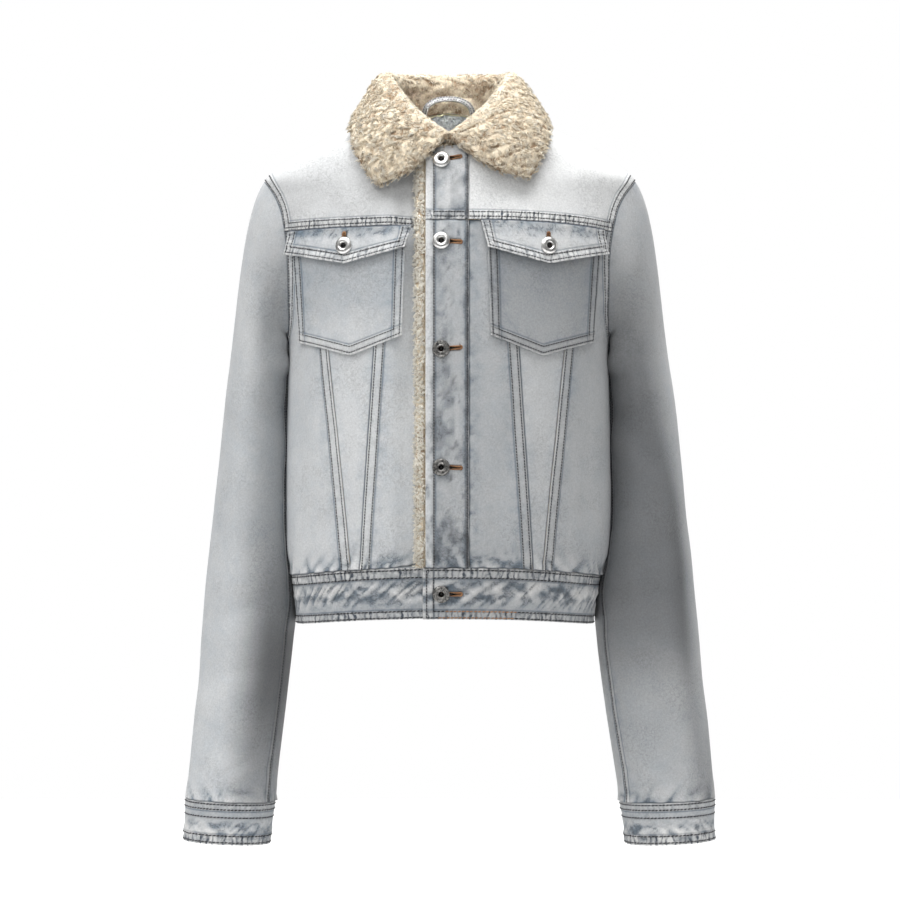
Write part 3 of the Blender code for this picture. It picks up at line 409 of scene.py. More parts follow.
    def armhole_z(self, turn: Grid) -> Grid:
        """Height at this many degrees round the armhole, from the shoulder tip.

        Args:
            turn: Degrees round the armhole.

        Returns:
            The heights.
        """
        share = (1 - np.cos(np.radians(turn))) / 2
        drop = self.armpit_z - self.shoulder_tip_z
        return self.shoulder_tip_z + drop * share**self.armhole_evenness

    def armhole_angle(self, side: Side, turn: Grid) -> Grid:
        """The form's angle on the armhole's edge: its front half up to 180 degrees, then its back.

        Args:
            side: The wearer's left or right.
            turn: Degrees round the armhole.

        Returns:
            The angles, in radians.
        """
        turn = np.asarray(turn, float)
        z = self.armhole_z(turn)
        front = self.front_angle(self.rings.at("middle", z) + self.armhole.at("x", z), z)
        sine = np.sin(np.radians(turn))
        front = np.where(np.isclose(sine, 0, atol=1e-9), math.pi / 2, front)
        return side.value * np.where(sine >= -1e-9, front, math.pi - front)

    def yoke_z(self, side: Side, x: Grid) -> Grid:
        """Height of the front yoke seam: it drops to the armhole with a power of its share of x.

        Args:
            side: The wearer's left or right.
            x: Distances towards the wearer's left.

        Returns:
            The heights of the seam.
        """
        column = 0 if side is Side.LEFT else 1
        end = self.armhole_z(self.yoke_end)
        reach = self.armhole.at("x", end)
        share = np.clip(np.abs(x) / reach, 0, 1) ** self.yoke_power[column]
        return self.yoke_centre[column] + (end - self.yoke_centre[column]) * share


@dataclass(frozen=True)
class FrontEdges:
    """Where the front's seams and its overlap run, as x seen from the front."""

    middle_x: float = -2.0
    placket_edge_x: float = -22.2
    placket_seam_x: float = 19.8
    placket_level: float = 1.2
    underlap_x: float = 18.0
    underlap_level: float = -7.0
    underlap_dip_x: tuple[float, float] = (-58.0, -38.0)
    dart_top_z: float = -116.0
    yoke_rise: float = 1.6  # how proud the yoke's lower edge stands
    pocket_top_z: float = -137.0
    pocket_level: float = 2.4
    flap_level: float = 4.8
    pocket_wall: float = 1.8
    darts: Table = Table(
        ("z", "inner_x", "outer_x"),
        ((-449, 83.7, 93.4), (-238, 69.9, 115.0), (dart_top_z, 61.9, 127.5)),
    )

    def dart_x(self, z: Grid, name: str) -> Grid:
        """Distance of a dart seam from the front's middle, straight between its stations."""
        return np.interp(z, self.darts.column("z"), self.darts.column(name))

    def x_of(self, side: Side, distance: Grid) -> Grid:
        """The x at this distance from the front's middle."""
        return self.middle_x + side.value * distance

    def underlap(self, x: Grid) -> Grid:
        """Level of the right front, which dips under the sherpa strip and the placket."""
        return self.underlap_level * eased(*self.underlap_dip_x, x)


BODY = BodyForm()
FRONT = FrontEdges()


# --- Meshes -----------------------------------------------------------------------------------


@dataclass
class MeshParts:
    """Arrays of one mesh in the making: points in millimetres, faces, and what each point carries."""

    points: Grid
    faces: list[Grid]
    finishes: list[int]
    maps: dict[str, Grid] = field(default_factory=dict)
    tints: dict[str, Grid] = field(default_factory=dict)

    def build(self, name: str, materials: Sequence[Material]) -> Object:
        """Makes the object, whose faces are shaded smooth.

        Args:
            name: The object's name.
            materials: Its material slots, which finishes number.

        Returns:
            The object, linked into the scene at the origin.
        """
        mesh = bpy.data.meshes.new(name)
        corners = np.concatenate([block.reshape(-1) for block in self.faces])
        sizes = np.concatenate([np.full(len(block), block.shape[1]) for block in self.faces])
        which = np.concatenate([np.full(len(b), f) for b, f in zip(self.faces, self.finishes)])
        mesh.vertices.add(len(self.points))
        mesh.vertices.foreach_set("co", (self.points * MM).astype(np.float32).reshape(-1))
        mesh.loops.add(len(corners))
        mesh.loops.foreach_set("vertex_index", corners.astype(np.int32))
        mesh.polygons.add(len(sizes))
        starts = np.concatenate([[0], np.cumsum(sizes)[:-1]])
        mesh.polygons.foreach_set("loop_start", starts.astype(np.int32))
        mesh.polygons.foreach_set("material_index", which.astype(np.int32))
        mesh.polygons.foreach_set("use_smooth", np.ones(len(sizes), bool))
        for map_name, values in self.maps.items():
            layer = mesh.uv_layers.new(name=map_name)
            layer.data.foreach_set("uv", values[corners].astype(np.float32).reshape(-1))
        for tint_name, values in self.tints.items():
            layer = mesh.color_attributes.new(tint_name, "FLOAT_COLOR", "POINT")
            colours = np.concatenate([values, np.ones((len(values), 1))], axis=1)
            layer.data.foreach_set("color", colours.astype(np.float32).reshape(-1))
        mesh.update(calc_edges=True)
        mesh.validate()
        for material in materials:
            mesh.materials.append(material)
        made = bpy.data.objects.new(name, mesh)
        bpy.context.scene.collection.objects.link(made)
        return made


def grid_faces(rows: int, columns: int, tube: bool = False, start: int = 0) -> Grid:
    """Four-cornered faces between a grid's points, row by row; a tube's last column meets its first.

    Args:
        rows: Lines of points.
        columns: Points in a line.
        tube: Whether the last column meets the first.
        start: The number of the first point.

    Returns:
        Four points' numbers for each face.
    """
    across = np.arange(columns if tube else columns - 1)
    up = np.arange(rows - 1)[:, None]
    beside = (across + 1) % columns
    faces = [up * columns + across, up * columns + beside,
             (up + 1) * columns + beside, (up + 1) * columns + across]
    return np.stack(np.broadcast_arrays(*faces), axis=-1).reshape(-1, 4) + start


def wall(outer: Grid, inner: Grid, tube: bool) -> tuple[Grid, list[Grid], Grid]:
    """A closed wall between two grids, which keeps only some lines of the inner one.

    Args:
        outer: Grid of the outer points.
        inner: Grid of the inner points.
        tube: Whether the last column meets the first.

    Returns:
        The points; the faces of the outer side, the rim and the inner side; and, for each point,
        the number of the outer point that it goes with.
    """
    rows, columns = outer.shape[:2]
    kept = [np.unique(np.append(np.arange(0, count, INNER_SKIP), count - 1))
            for count in (rows, columns)]
    index = np.arange(rows * columns).reshape(rows, columns)
    picked = index[np.ix_(*kept)]
    behind = index.size + np.arange(picked.size).reshape(picked.shape)
    faces = [grid_faces(rows, columns, tube), grid_faces(*picked.shape, tube, index.size)[:, ::-1]]
    if tube:
        index, behind = (np.concatenate([grid, grid[:, :1]], axis=1) for grid in (index, behind))
        kept[1] = np.append(kept[1], columns)
    edges = [(index[0], behind[0], kept[1], 1), (index[-1], behind[-1], kept[1], -1)]
    if not tube:
        edges += [(index[:, -1], behind[:, -1], kept[0], 1), (index[:, 0], behind[:, 0], kept[0], -1)]
    rim = []
    for near, far, at, order in edges:
        beside = far[np.searchsorted(at, np.arange(len(near) - 1), side="right") - 1]
        fans = np.concatenate([np.stack([near[1:], near[:-1], beside], axis=-1),
                               np.stack([near[at[1:]], far[:-1], far[1:]], axis=-1)])
        rim.append(fans[:, ::order])
    points = np.concatenate([outer.reshape(-1, 3), inner.reshape(-1, 3)[picked.reshape(-1)]])
    outer_point = np.append(np.arange(rows * columns), picked)
    return points, [faces[0], np.concatenate(rim), faces[1]], outer_point


def facing_out(parts: MeshParts, outer: Grid, outward: Grid) -> None:
    """Turns every face round if the outer faces point against the outward directions.

    Args:
        parts: The mesh in the making, whose faces are turned.
        outer: Its outer faces.
        outward: A direction for each point of the outer grid.
    """
    a, b, c = (parts.points[outer[:, k]] for k in range(3))
    if (np.cross(b - a, c - a) * outward[outer[:, 0]]).sum() < 0:
        parts.faces = [block[:, ::-1] for block in parts.faces]


# --- Cloth ------------------------------------------------------------------------------------


@dataclass(frozen=True)
class Finish:
    """How one edge of a piece of cloth is finished.

    rows are the distances of its rows of stitches from the edge, raised how far its doubled cloth
    stands up, band how wide that cloth is, and pucker how high the cloth bunches along it.
    """

    rows: tuple[float, ...] = ()
    raised: float = 0.0
    band: float = BAND
    pucker: float = 0.0
    pitch: float = 6.0
    rusty: tuple[float, float] = (0.0, 0.0)  # shares of the edge that are sewn with rust thread
    reach: float = 0.8  # how much of the pucker runs on into the cloth
    halo: bool = False  # shaded blue, as beside a seam whose stitches are on the other piece
    shaded: float = 0.0  # how dark it is right beside the edge, where the other piece folds over it
    thick: float = 1.0  # how thick its thread is, beside the usual one

    @property
    def lines(self) -> tuple[float, ...]:
        """The distances from the edge at which the grid has a line."""
        return SEWN_LINES if self.rows else PLAIN_LINES


PLAIN = Finish()


def edged(**finishes: Finish) -> dict[Edge, Finish]:
    """Finishes by the names of their edges, in the order in which they are sewn."""
    return {Edge(name): finish for name, finish in finishes.items()}


def respaced(values: Grid, points: Grid, near: Finish, far: Finish, step: float) -> Grid:
    """Places along each row of a grid, moved to set distances from its two ends.

    Args:
        values: rows × columns × 2 places on a surface.
        points: The points there.
        near: The finish of the edge at the first column.
        far: The finish of the edge at the last column.
        step: The spacing between the two edges' lines.

    Returns:
        The places of a grid with the same rows and new columns.
    """
    travelled = run_length(points, 1)
    length = travelled[:, -1:]
    lines, back = np.array(near.lines), np.array(far.lines)
    reach = lines[-1] + back[-1]
    scale = np.minimum(1.0, length / (1.25 * reach))
    middle = np.median(length) - reach * min(1.0, float(np.median(scale)))
    count = max(2, int(round(middle / step)))
    share = np.arange(1, count) / count
    start, end = lines * scale, length - back[::-1] * scale
    between = start[:, -1:] + (end[:, :1] - start[:, -1:]) * share
    wanted = np.concatenate([start, between, end], axis=1)
    return np.stack([along_line(*row) for row in zip(wanted, travelled, values)])


@dataclass
class Cloth:
    """One piece of cloth: a surface sampled on a grid with close lines at its sewn edges, given a
    thickness, rounded edges, doubled seams, puckers and creases.

    places are rows × columns × 2 values for the surface, level how far the cloth's face lies over
    it, and gaps how far each edge is drawn in.
    """

    name: str
    surface: Surface
    places: Grid
    level: Level = lambda points, places: np.zeros(points.shape[:-1])
    finishes: dict[Edge, Finish] = field(default_factory=dict)
    round_seams: tuple[Edge, ...] = ()
    free_edges: tuple[Edge, ...] = ()
    wall: float = WALL
    step: tuple[float, float] = (4.5, 4.5)  # across and up
    creases: Level | None = None
    rumple: Level | None = None
    tube: bool = False
    edge_radius: float = 1.0
    seed: int = 1
    wash: tuple[float, float, float] = (0.0, 0.0, 0.0)  # more white, more blue, darker
    washed: Level | None = None

    def finish(self, edge: Edge) -> Finish:
        """The finish of this edge."""
        return self.finishes.get(edge, PLAIN)

    def __post_init__(self) -> None:
        """Lays out the grid and works out the outer and inner points."""
        places = self.places
        if not self.tube:
            points = self.surface(places[..., 0], places[..., 1])[0]
            places = respaced(places, points, self.finish(Edge.FIRST), self.finish(Edge.LAST),
                              self.step[0])
        points = self.surface(places[..., 0], places[..., 1])[0]
        turned = respaced(places.swapaxes(0, 1), points.swapaxes(0, 1),
                          self.finish(Edge.BOTTOM), self.finish(Edge.TOP), self.step[1])
        places = turned.swapaxes(0, 1)
        base, outward = self.surface(places[..., 0], places[..., 1])
        self.base, self.outward = base, outward
        ring = np.concatenate([base, base[:, :1]], axis=1) if self.tube else base
        across = run_length(ring, 1)
        if self.tube:
            across = across[:, :-1]
        up = run_length(base, 0)
        self.across, self.up = across, up
        self.distance = {
            Edge.BOTTOM: up,
            Edge.TOP: up[-1:] - up,
            Edge.FIRST: across,
            Edge.LAST: across[:, -1:] - across,
        }
        level = np.broadcast_to(self.level(base, places), base.shape[:-1])
        self.relief = self.relief_level(places)
        level = level + self.relief
        gaps = {edge: self.gap(edge) for edge in Edge}
        self.outer = self.drawn_in(base + outward * level[..., None], gaps)
        inner_level = level - self.bunch - self.wall + self.rounding()
        self.inner = self.drawn_in(base + outward * inner_level[..., None], gaps)
        self.outer = self.outer - outward * self.rounding()[..., None]

    def gap(self, edge: Edge) -> float:
        """How far this edge is drawn in: half of the gap to what it is sewn to.

        Args:
            edge: Which edge.

        Returns:
            The distance.
        """
        if edge in self.free_edges:
            return 0.0
        return (ROUND_GAP if edge in self.round_seams else SEAM_GAP) / 2

    def drawn_in(self, grid: Grid, gaps: dict[Edge, float]) -> Grid:
        """The grid with its edges moved in square to each edge.

        Args:
            grid: Points of one side of the wall.
            gaps: How far each edge moves.

        Returns:
            The moved points.
        """
        moved = grid.copy()
        places = {
            Edge.BOTTOM: (np.s_[0], np.s_[1]),
            Edge.TOP: (np.s_[-1], np.s_[-2]),
            Edge.FIRST: (np.s_[:, 0], np.s_[:, 1]),
            Edge.LAST: (np.s_[:, -1], np.s_[:, -2]),
        }
        for edge, (line, beside) in places.items():
            if self.tube and edge in (Edge.FIRST, Edge.LAST):
                continue
            along = unit(np.gradient(grid[line], axis=0))
            away = grid[beside] - grid[line]
            away = away - along * (away * along).sum(axis=-1, keepdims=True)
            moved[line] = moved[line] + gaps[edge] * unit(away)
        return moved

    def rounding(self) -> Grid:
        """How far each face turns in at the edges: a quarter circle at each, less a flat middle.

        Returns:
            A depth for each point.
        """
        depth = np.zeros(self.base.shape[:-1])
        radius = min(self.edge_radius, self.wall * 0.48)
        for edge, distance in self.distance.items():
            if self.tube and edge in (Edge.FIRST, Edge.LAST):
                continue
            share = 1 - np.clip(distance / radius, 0, 1)
            depth = np.maximum(depth, radius * (1 - np.sqrt(1 - share**2)))
        return depth

    def relief_level(self, places: Grid) -> Grid:
        """Doubled bands, stitch channels, puckers and creases, added up. It keeps how far the cloth
        is bunched up or down, and how deep it lies in its stitch channels, for its wash.

        Args:
            places: The points' places on the form.

        Returns:
            A level for each point.
        """
        level, bunch, channel = np.zeros((3, *self.base.shape[:-1]))
        for number, (edge, finish) in enumerate(sorted(self.finishes.items(), key=lambda e: e[0].value)):
            off = self.distance[edge]
            along = self.up if edge in (Edge.FIRST, Edge.LAST) else self.across
            band = 1 - eased(finish.band - 1.5, finish.band + 2.0, off)
            level += finish.raised * band
            for row in finish.rows:
                channel = np.maximum(channel, np.exp(-(((off - row) / CHANNEL_WIDTH) ** 2)))
            if finish.pucker:
                wave = puffs(along, off * 0.35, (finish.pitch, 5.0), self.seed * 7 + number)
                long_wave = puffs(along + off * 0.5, off, (finish.pitch * 1.5, 14.0),
                                  self.seed * 11 + number)
                bunch += finish.pucker * wave * band
                bunch += finish.pucker * finish.reach * long_wave * np.exp(-((off / 14) ** 2))
        if self.rumple is not None:
            bunch += self.rumple(self.base, places)
        bunch = np.clip(bunch, -0.5 * self.wall, BUNCH_LIMIT)
        if self.creases is not None:
            level += self.creases(self.base, places)
        self.bunch, self.channel = bunch, channel
        return level + bunch - CHANNEL_DEPTH * channel

    def shade(self) -> Grid:
        """More white where it is bunched up, as it is worn there, more blue where it is bunched down,
        and darker there and in the stitch channels, which is painted shade."""
        high, low = np.clip(self.bunch, 0, 1.2), np.clip(-self.bunch, 0, 1.2)
        return np.stack([high * 0.5, low * 1.1, low * 0.22 + self.channel * 0.35], axis=-1)

    def seam(self, edges: tuple[Edge, Edge]) -> tuple[Grid, Grid, Grid]:
        """The distance in centimetres to the nearer of two edges that are sewn, how much the cloth
        bunches along it and how much the other piece shades it. Where only the other piece has the
        stitches, the band that they would take up is left out.

        Args:
            edges: The two edges.

        Returns:
            The three values at each point.
        """
        sewn = [(self.distance[e] * BAND / self.finish(e).band, e) for e in edges if self.finish(e).rows]
        sewn += [(self.distance[e] + BAND, e) for e in edges if self.finish(e).halo]
        if not sewn:
            nothing = np.zeros(self.base.shape[:-1])
            return nothing + UNSEWN, nothing, nothing
        off = np.stack([distance for distance, _ in sewn])
        nearest = off.argmin(axis=0)
        pucker, shaded = (np.array([getattr(self.finish(edge), name) for _, edge in sewn])[nearest]
                          for name in ("pucker", "shaded"))
        return off.min(axis=0) / 10, pucker, shaded

    def make(self, materials: Sequence[Material], held: str = "stretched",
             rests_on: Sequence[str] = ()) -> Object:
        """Makes the piece.

        Args:
            materials: The finish of its outer face and edges, and that of its inner face.
            held: How the sheet is held; not used.
            rests_on: The pieces that hold it; not used.

        Returns:
            The object.
        """
        flat = np.stack(np.broadcast_arrays(self.across.mean(axis=0), self.up.mean(axis=1)[:, None]),
                        axis=-1) / 10
        (off_row, bunch_row, shade_row), (off_side, bunch_side, shade_side) = (
            self.seam(edges) for edges in ((Edge.BOTTOM, Edge.TOP), (Edge.FIRST, Edge.LAST)))
        wash = self.shade() + np.array(self.wash)
        if self.washed is not None:
            wash += self.washed(self.base, self.relief)
        points, faces, outer_point = wall(self.outer, self.inner, self.tube)

        def carried(*values: Grid) -> Grid:
            """What every point carries, from the values of the outer points."""
            return np.stack(values, axis=-1).reshape(-1, len(values))[outer_point]

        maps = {"cloth": carried(flat[..., 0], flat[..., 1]), "seams": carried(off_row, off_side)}
        tints = {"wash": carried(*np.moveaxis(wash, -1, 0)),
                 "bunch": carried(bunch_row, bunch_side, np.zeros_like(off_row)),
                 "shade": carried(shade_row, shade_side, np.zeros_like(off_row))}
        parts = MeshParts(points, faces, [0, 0, 1], maps, tints)
        facing_out(parts, faces[0], self.outward.reshape(-1, 3))
        made = parts.build(f"{self.name}_cloth", materials)
        dress(made, [self.name])
        declare_sheet(self.base, self.tube)
        return made

    def sew(self, sewing: Sewing) -> None:
        """Sews every row of every edge; a row stops where it meets the same row of the next edge.

        Args:
            sewing: Takes up the rows of stitches.
        """
        ends = {Edge.BOTTOM: (Edge.FIRST, Edge.LAST), Edge.TOP: (Edge.FIRST, Edge.LAST),
                Edge.FIRST: (Edge.BOTTOM, Edge.TOP), Edge.LAST: (Edge.BOTTOM, Edge.TOP)}
        for edge, finish in self.finishes.items():
            for number, distance in enumerate(finish.rows):
                corners = [self.finish(end).rows for end in ends[edge]]
                trim = tuple(0.4 if self.tube or not rows else rows[min(number, len(rows) - 1)]
                             for rows in corners)
                sewing.add_row(self.row(edge, distance, trim), finish.rusty, finish.thick)

    def row(self, edge: Edge, distance: float,
            trim: tuple[float, float] = (0.0, 0.0)) -> tuple[Grid, Grid]:
        """The line on the cloth's face at this distance from an edge.

        Args:
            edge: The edge that the line follows.
            distance: How far from it the line runs, in millimetres.
            trim: How much is left off at its start and end.

        Returns:
            Its points and the outward directions there.
        """
        grids = self.outer, self.outward
        off = self.distance[edge]
        if edge in (Edge.BOTTOM, Edge.TOP):
            grids = tuple(grid.swapaxes(0, 1) for grid in grids)
            off = off.swapaxes(0, 1)
        if edge in (Edge.TOP, Edge.LAST):
            grids = tuple(grid[:, ::-1] for grid in grids)
            off = off[:, ::-1]
        lines = [np.stack([along_line(distance, *line) for line in zip(off, grid)]) for grid in grids]
        if self.tube:
            lines = [np.concatenate([line, line[:1]]) for line in lines]
        points, outward = lines
        travelled = run_length(points, 0)
        start, end = trim[0], travelled[-1] - trim[1]
        at = np.linspace(start, end, max(4, int((end - start) / 1.5)))
        return along_line(at, travelled, points), unit(along_line(at, travelled, outward))


def dress(made: Object, nodes: Sequence[str]) -> None:
    """Lets a piece ride on the jacket's one body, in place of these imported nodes, and reports it.

    Args:
        made: The mesh's object.
        nodes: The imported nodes.
    """
    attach(made, "root")
    if nodes:
        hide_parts(*nodes)
    log.info("%s: %d faces", made.name, len(made.data.polygons))


def declare_sheet(face: Grid, tube: bool) -> None:
    """Works out how wide and long a piece's face is when it is laid flat, and its area, and keeps none of
    them.

    Args:
        face: The grid of its face, in millimetres.
        tube: Whether the last column meets the first.
    """
    ring = np.concatenate([face, face[:, :1]], axis=1) if tube else face
    width, length = (max(run_length(ring, 1)[:, -1].max(), 10.0), run_length(ring, 0)[-1].max())
    a, b, c, d = ring[:-1, :-1], ring[:-1, 1:], ring[1:, 1:], ring[1:, :-1]
    area = np.linalg.norm(np.cross(c - a, d - b), axis=-1).sum() / 2
    area = min(area, width * length)


# --- Sewing -----------------------------------------------------------------------------------


@dataclass
class Sewing:
    """Rows of stitches, gathered into one mesh.

    Each stitch is a thread bent in an arc: it comes up out of the cloth, lies on it and goes down.
    """

    name: str
    pitch: float = 2.8
    cover: float = 0.84  # how much of the pitch the thread is seen for
    radius: float = 0.6
    slant: float = 0.12
    seed: int = 3
    runs: list[tuple[Grid, Grid, Grid, Grid, Grid]] = field(default_factory=list)

    def add_row(self, line: tuple[Grid, Grid], rusty: tuple[float, float] = (0.0, 0.0),
                thick: float = 1.0) -> None:
        """Sews along a line.

        Args:
            line: Its points and the outward directions there.
            rusty: The shares of its length between which the thread is the rust-coloured one.
            thick: How thick its thread is, and how much longer its stitches, beside the usual one.
        """
        points, outward = line
        travelled = run_length(points, 0)
        pitch = self.pitch * thick**1.4
        count = max(1, int(travelled[-1] / pitch))
        random = np.random.default_rng(self.seed + len(self.runs))
        start = np.arange(count) * pitch + random.uniform(-0.25, 0.25, count)
        share = np.linspace(0, 1, 3)
        at = start[:, None] + share * pitch * self.cover
        path, up = along_line(at, travelled, points), unit(along_line(at, travelled, outward))
        along = unit(path[:, -1:] - path[:, :1])
        across = np.cross(up, along)
        arc = np.array([-0.5, 0.6, -0.5]) * self.radius
        skew = (share - 0.5) * self.slant * pitch
        path = path + up * arc[:, None] + across * skew[:, None]
        centre = (np.arange(count) + 0.5) / count
        rust = (centre > rusty[0]) & (centre < rusty[1])
        self.add_threads(path, up, across, self.radius * thick, rust)

    def add_threads(self, path: Grid, up: Grid, across: Grid, radius: float, rust: Grid) -> None:
        """Adds threads that follow paths of points, threads × points × 3."""
        size = np.full(path.shape[:2], radius)
        self.runs.append((path, up, across, size, rust))

    def make(self, thread: Material, rust_thread: Material) -> Object:
        """Makes one mesh of all the threads, three-sided and closed at both ends.

        Args:
            thread: The finish of the plain threads.
            rust_thread: The finish of the rusty ones.

        Returns:
            The mesh's object.
        """
        turns = np.radians([90, 210, 330])
        blocks, faces, finishes, offset = [], [], [], 0
        for path, up, across, size, rust in self.runs:
            count, steps = path.shape[:2]
            ring = (
                up[:, :, None] * np.sin(turns)[:, None] * size[:, :, None, None]
                + across[:, :, None] * np.cos(turns)[:, None] * size[:, :, None, None] * 1.15
            )
            points = (path[:, :, None] + ring).reshape(count, -1, 3)
            tube = grid_faces(steps, 3, tube=True)
            caps = np.array([[2, 1, 0], [steps * 3 - 3, steps * 3 - 2, steps * 3 - 1]])
            for chosen, finish in ((~rust, 0), (rust, 1)):
                first = np.flatnonzero(chosen)[:, None, None] * steps * 3 + offset
                if len(first):
                    faces += [(tube + first).reshape(-1, 4), (caps + first).reshape(-1, 3)]
                    finishes += [finish, finish]
            blocks.append(points.reshape(-1, 3))
            offset += count * steps * 3
        points = np.concatenate(blocks)
        parts = MeshParts(points, faces, finishes)
        made = parts.build(self.name, [thread, rust_thread])
        face_out(made)
        dress(made, ())
        log.info("%s: %d stitches", self.name, sum(len(run[0]) for run in self.runs))
        return made


def face_out(made: Object) -> None:
    """Recalculates a mesh's normals so that each closed shell faces out.

    Args:
        made: The mesh's object.
    """
    shell = bmesh.new()
    shell.from_mesh(made.data)
    bmesh.ops.recalc_face_normals(shell, faces=shell.faces)
    shell.to_mesh(made.data)
    shell.free()


# --- Sherpa pile ------------------------------------------------------------------------------


@dataclass
class Pile:
    """Tufts of curled fibre rooted on a grid of points.

    Fibres stand in clumps and draw together towards their tips. Each is a tapered three-sided tube
    along a curve: out from its root, bent towards its clump's lean, and curled as its clump is.
    """

    clumps: int
    fibres: int  # in a clump
    length: float
    radius: float = 0.42
    clump_size: float = 2.6
    seed: int = 5
    steps: int = 3

    def grow(self, name: str, roots: Grid, outward: Grid, lean: Grid, keep: Grid | None,
             material: Material, pieces: int = 1, combed: Grid | None = None,
             brown: Grid | None = None) -> list[Object]:
        """Grows the tufts and makes them into meshes.

        Args:
            name: The meshes' name, which a number follows when there are several.
            roots: Grid of points that the tufts grow from.
            outward: The outward directions there.
            lean: The directions in which they lean there, longer where they lean more.
            keep: How densely they stand on each point, from 0 to 1; everywhere 1 if None.
            material: Their finish.
            pieces: How many meshes they are shared out over.
            combed: How short and straight they lie on each point, from 0 to 1.
            brown: How much browner they are on each point.

        Returns:
            The objects.
        """
        random = np.random.default_rng(self.seed)
        rows, columns = roots.shape[:2]
        a, b, c, d = roots[:-1, :-1], roots[:-1, 1:], roots[1:, 1:], roots[1:, :-1]
        area = np.linalg.norm(np.cross(c - a, d - b), axis=-1)
        if keep is not None:
            area = area * keep[:-1, :-1]
        share = (np.arange(self.clumps) + random.uniform(0, 1, self.clumps)) / self.clumps
        chosen = np.searchsorted(np.cumsum(area) / area.sum(), share).clip(0, area.size - 1)
        i, j = chosen // (columns - 1), chosen % (columns - 1)
        u, v = random.uniform(0, 1, (2, self.clumps, 1))

        def at(grid: Grid) -> Grid:
            """The grid's value between the four points round each clump.

            Args:
                grid: A value for each root.

            Returns:
                A value for each clump.
            """
            low = grid[i, j] * (1 - u) + grid[i, j + 1] * u
            high = grid[i + 1, j] * (1 - u) + grid[i + 1, j + 1] * u
            return low * (1 - v) + high * v

        nothing = np.zeros((rows, columns))
        flat = at(np.atleast_3d(nothing if combed is None else combed))[:, None]
        browner = at(np.atleast_3d(nothing if brown is None else brown))[:, 0]
        root, up, bent = at(roots), unit(at(outward)), at(lean)
        swirl = np.stack([ripples(root[:, 0], root[:, 2] + root[:, 1], (9.0, 9.0), self.seed + k)
                          for k in range(3)], axis=-1)
        loose = 1 - 0.75 * flat[:, 0]
        bent = bent + (swirl * 0.8 + random.normal(0, 0.22, root.shape)) * loose
        tip = unit(bent - up * (bent * up).sum(axis=-1, keepdims=True))
        tall = self.length * random.uniform(0.75, 1.15, (self.clumps, 1, 1)) * (1 - 0.3 * flat)
        stand = random.uniform(0.6, 1.5, (self.clumps, 1, 1, 1)) * (1 - 0.5 * flat[..., None])

        side = unit(np.cross(up, tip + 1e-3))
        fore = np.cross(side, up)
        many = (self.clumps, self.fibres, 1)
        turn = random.uniform(0, 2 * math.pi, many)
        out = np.sqrt(random.uniform(0, 1, many)) * self.clump_size
        spread = side[:, None] * np.cos(turn) * out + fore[:, None] * np.sin(turn) * out
        foot = root[:, None] + spread
        height = tall * random.uniform(0.8, 1.1, many)
        t = np.linspace(0, 1, self.steps)[:, None]
        curl = random.uniform(0.5, 1.0, (self.clumps, 1, 1)) * 0.22 + random.uniform(-0.04, 0.04, many)
        curl = curl * (1 - 0.8 * flat)
        turn2 = random.uniform(0, 2 * math.pi, (self.clumps, 1, 1)) + random.uniform(-0.4, 0.4, many)
        path = (
            foot[:, :, None]
            + up[:, None, None] * (height[:, :, None] * stand * (t * 0.75 - 0.48 * t * t))
            + tip[:, None, None] * (height[:, :, None] * 0.74 * t**1.3)
            - spread[:, :, None] * (0.5 * t**1.3)
            + side[:, None, None] * (height * curl)[:, :, None] * np.sin(4.6 * t + turn2[:, :, None])
            + fore[:, None, None] * (height * curl)[:, :, None] * np.cos(4.6 * t + turn2[:, :, None])
        ).reshape(-1, self.steps, 3)
        tone = np.repeat(random.uniform(0, 1, self.clumps), self.fibres) * 0.7
        tone = tone + random.uniform(0, 0.3, len(tone))
        return self.make(name, path, tone, np.repeat(browner, self.fibres), material, pieces)

    def make(self, name: str, path: Grid, tone: Grid, brown: Grid, material: Material,
             pieces: int) -> list[Object]:
        """Makes meshes of three-sided fibres along their paths, each closed in a point.

        Args:
            name: Begins the meshes' names.
            path: The points along each fibre.
            tone: How pale each fibre is.
            brown: How brown each fibre is.
            material: Their finish.
            pieces: How many meshes they are shared out over.

        Returns:
            The meshes' objects.
        """
        steps = path.shape[1]
        along = unit(np.gradient(path, axis=1))
        side = unit(np.cross(along, np.array([0.31, 0.87, 0.38])))
        fore = np.cross(along, side)
        t = np.linspace(0, 1, steps)
        size = self.radius * (1 - 0.6 * t**1.5)
        size[-1] = self.radius * 0.15
        turns = np.radians([0, 120, 240])
        ring = side[:, :, None] * np.cos(turns)[:, None] + fore[:, :, None] * np.sin(turns)[:, None]
        points = path[:, :, None] + ring * size[:, None, None]
        tube = grid_faces(steps, 3, tube=True)
        cap = np.array([[0, 2, 1], [steps * 3 - 3, steps * 3 - 2, steps * 3 - 1]])
        tints = np.zeros((len(path), steps, 3, 3))
        tints[..., 0] = t[:, None]
        tints[..., 1] = tone[:, None, None]
        tints[..., 2] = brown[:, None, None]
        made = []
        for number, share in enumerate(np.array_split(np.arange(len(path)), pieces), 1):
            offset = np.arange(len(share))[:, None, None] * steps * 3
            parts = MeshParts(
                points[share].reshape(-1, 3),
                [(tube[None] + offset).reshape(-1, 4), (cap[None] + offset).reshape(-1, 3)],
                [0, 0],
                {},
                {"tuft": tints[share].reshape(-1, 3)},
            )
            one = parts.build(f"{name}_{number}" if pieces > 1 else name, [material])
            dress(one, ())
            made.append(one)
            log.info("%s: %d fibres", one.name, len(share))
        return made


# --- Finishes ---------------------------------------------------------------------------------


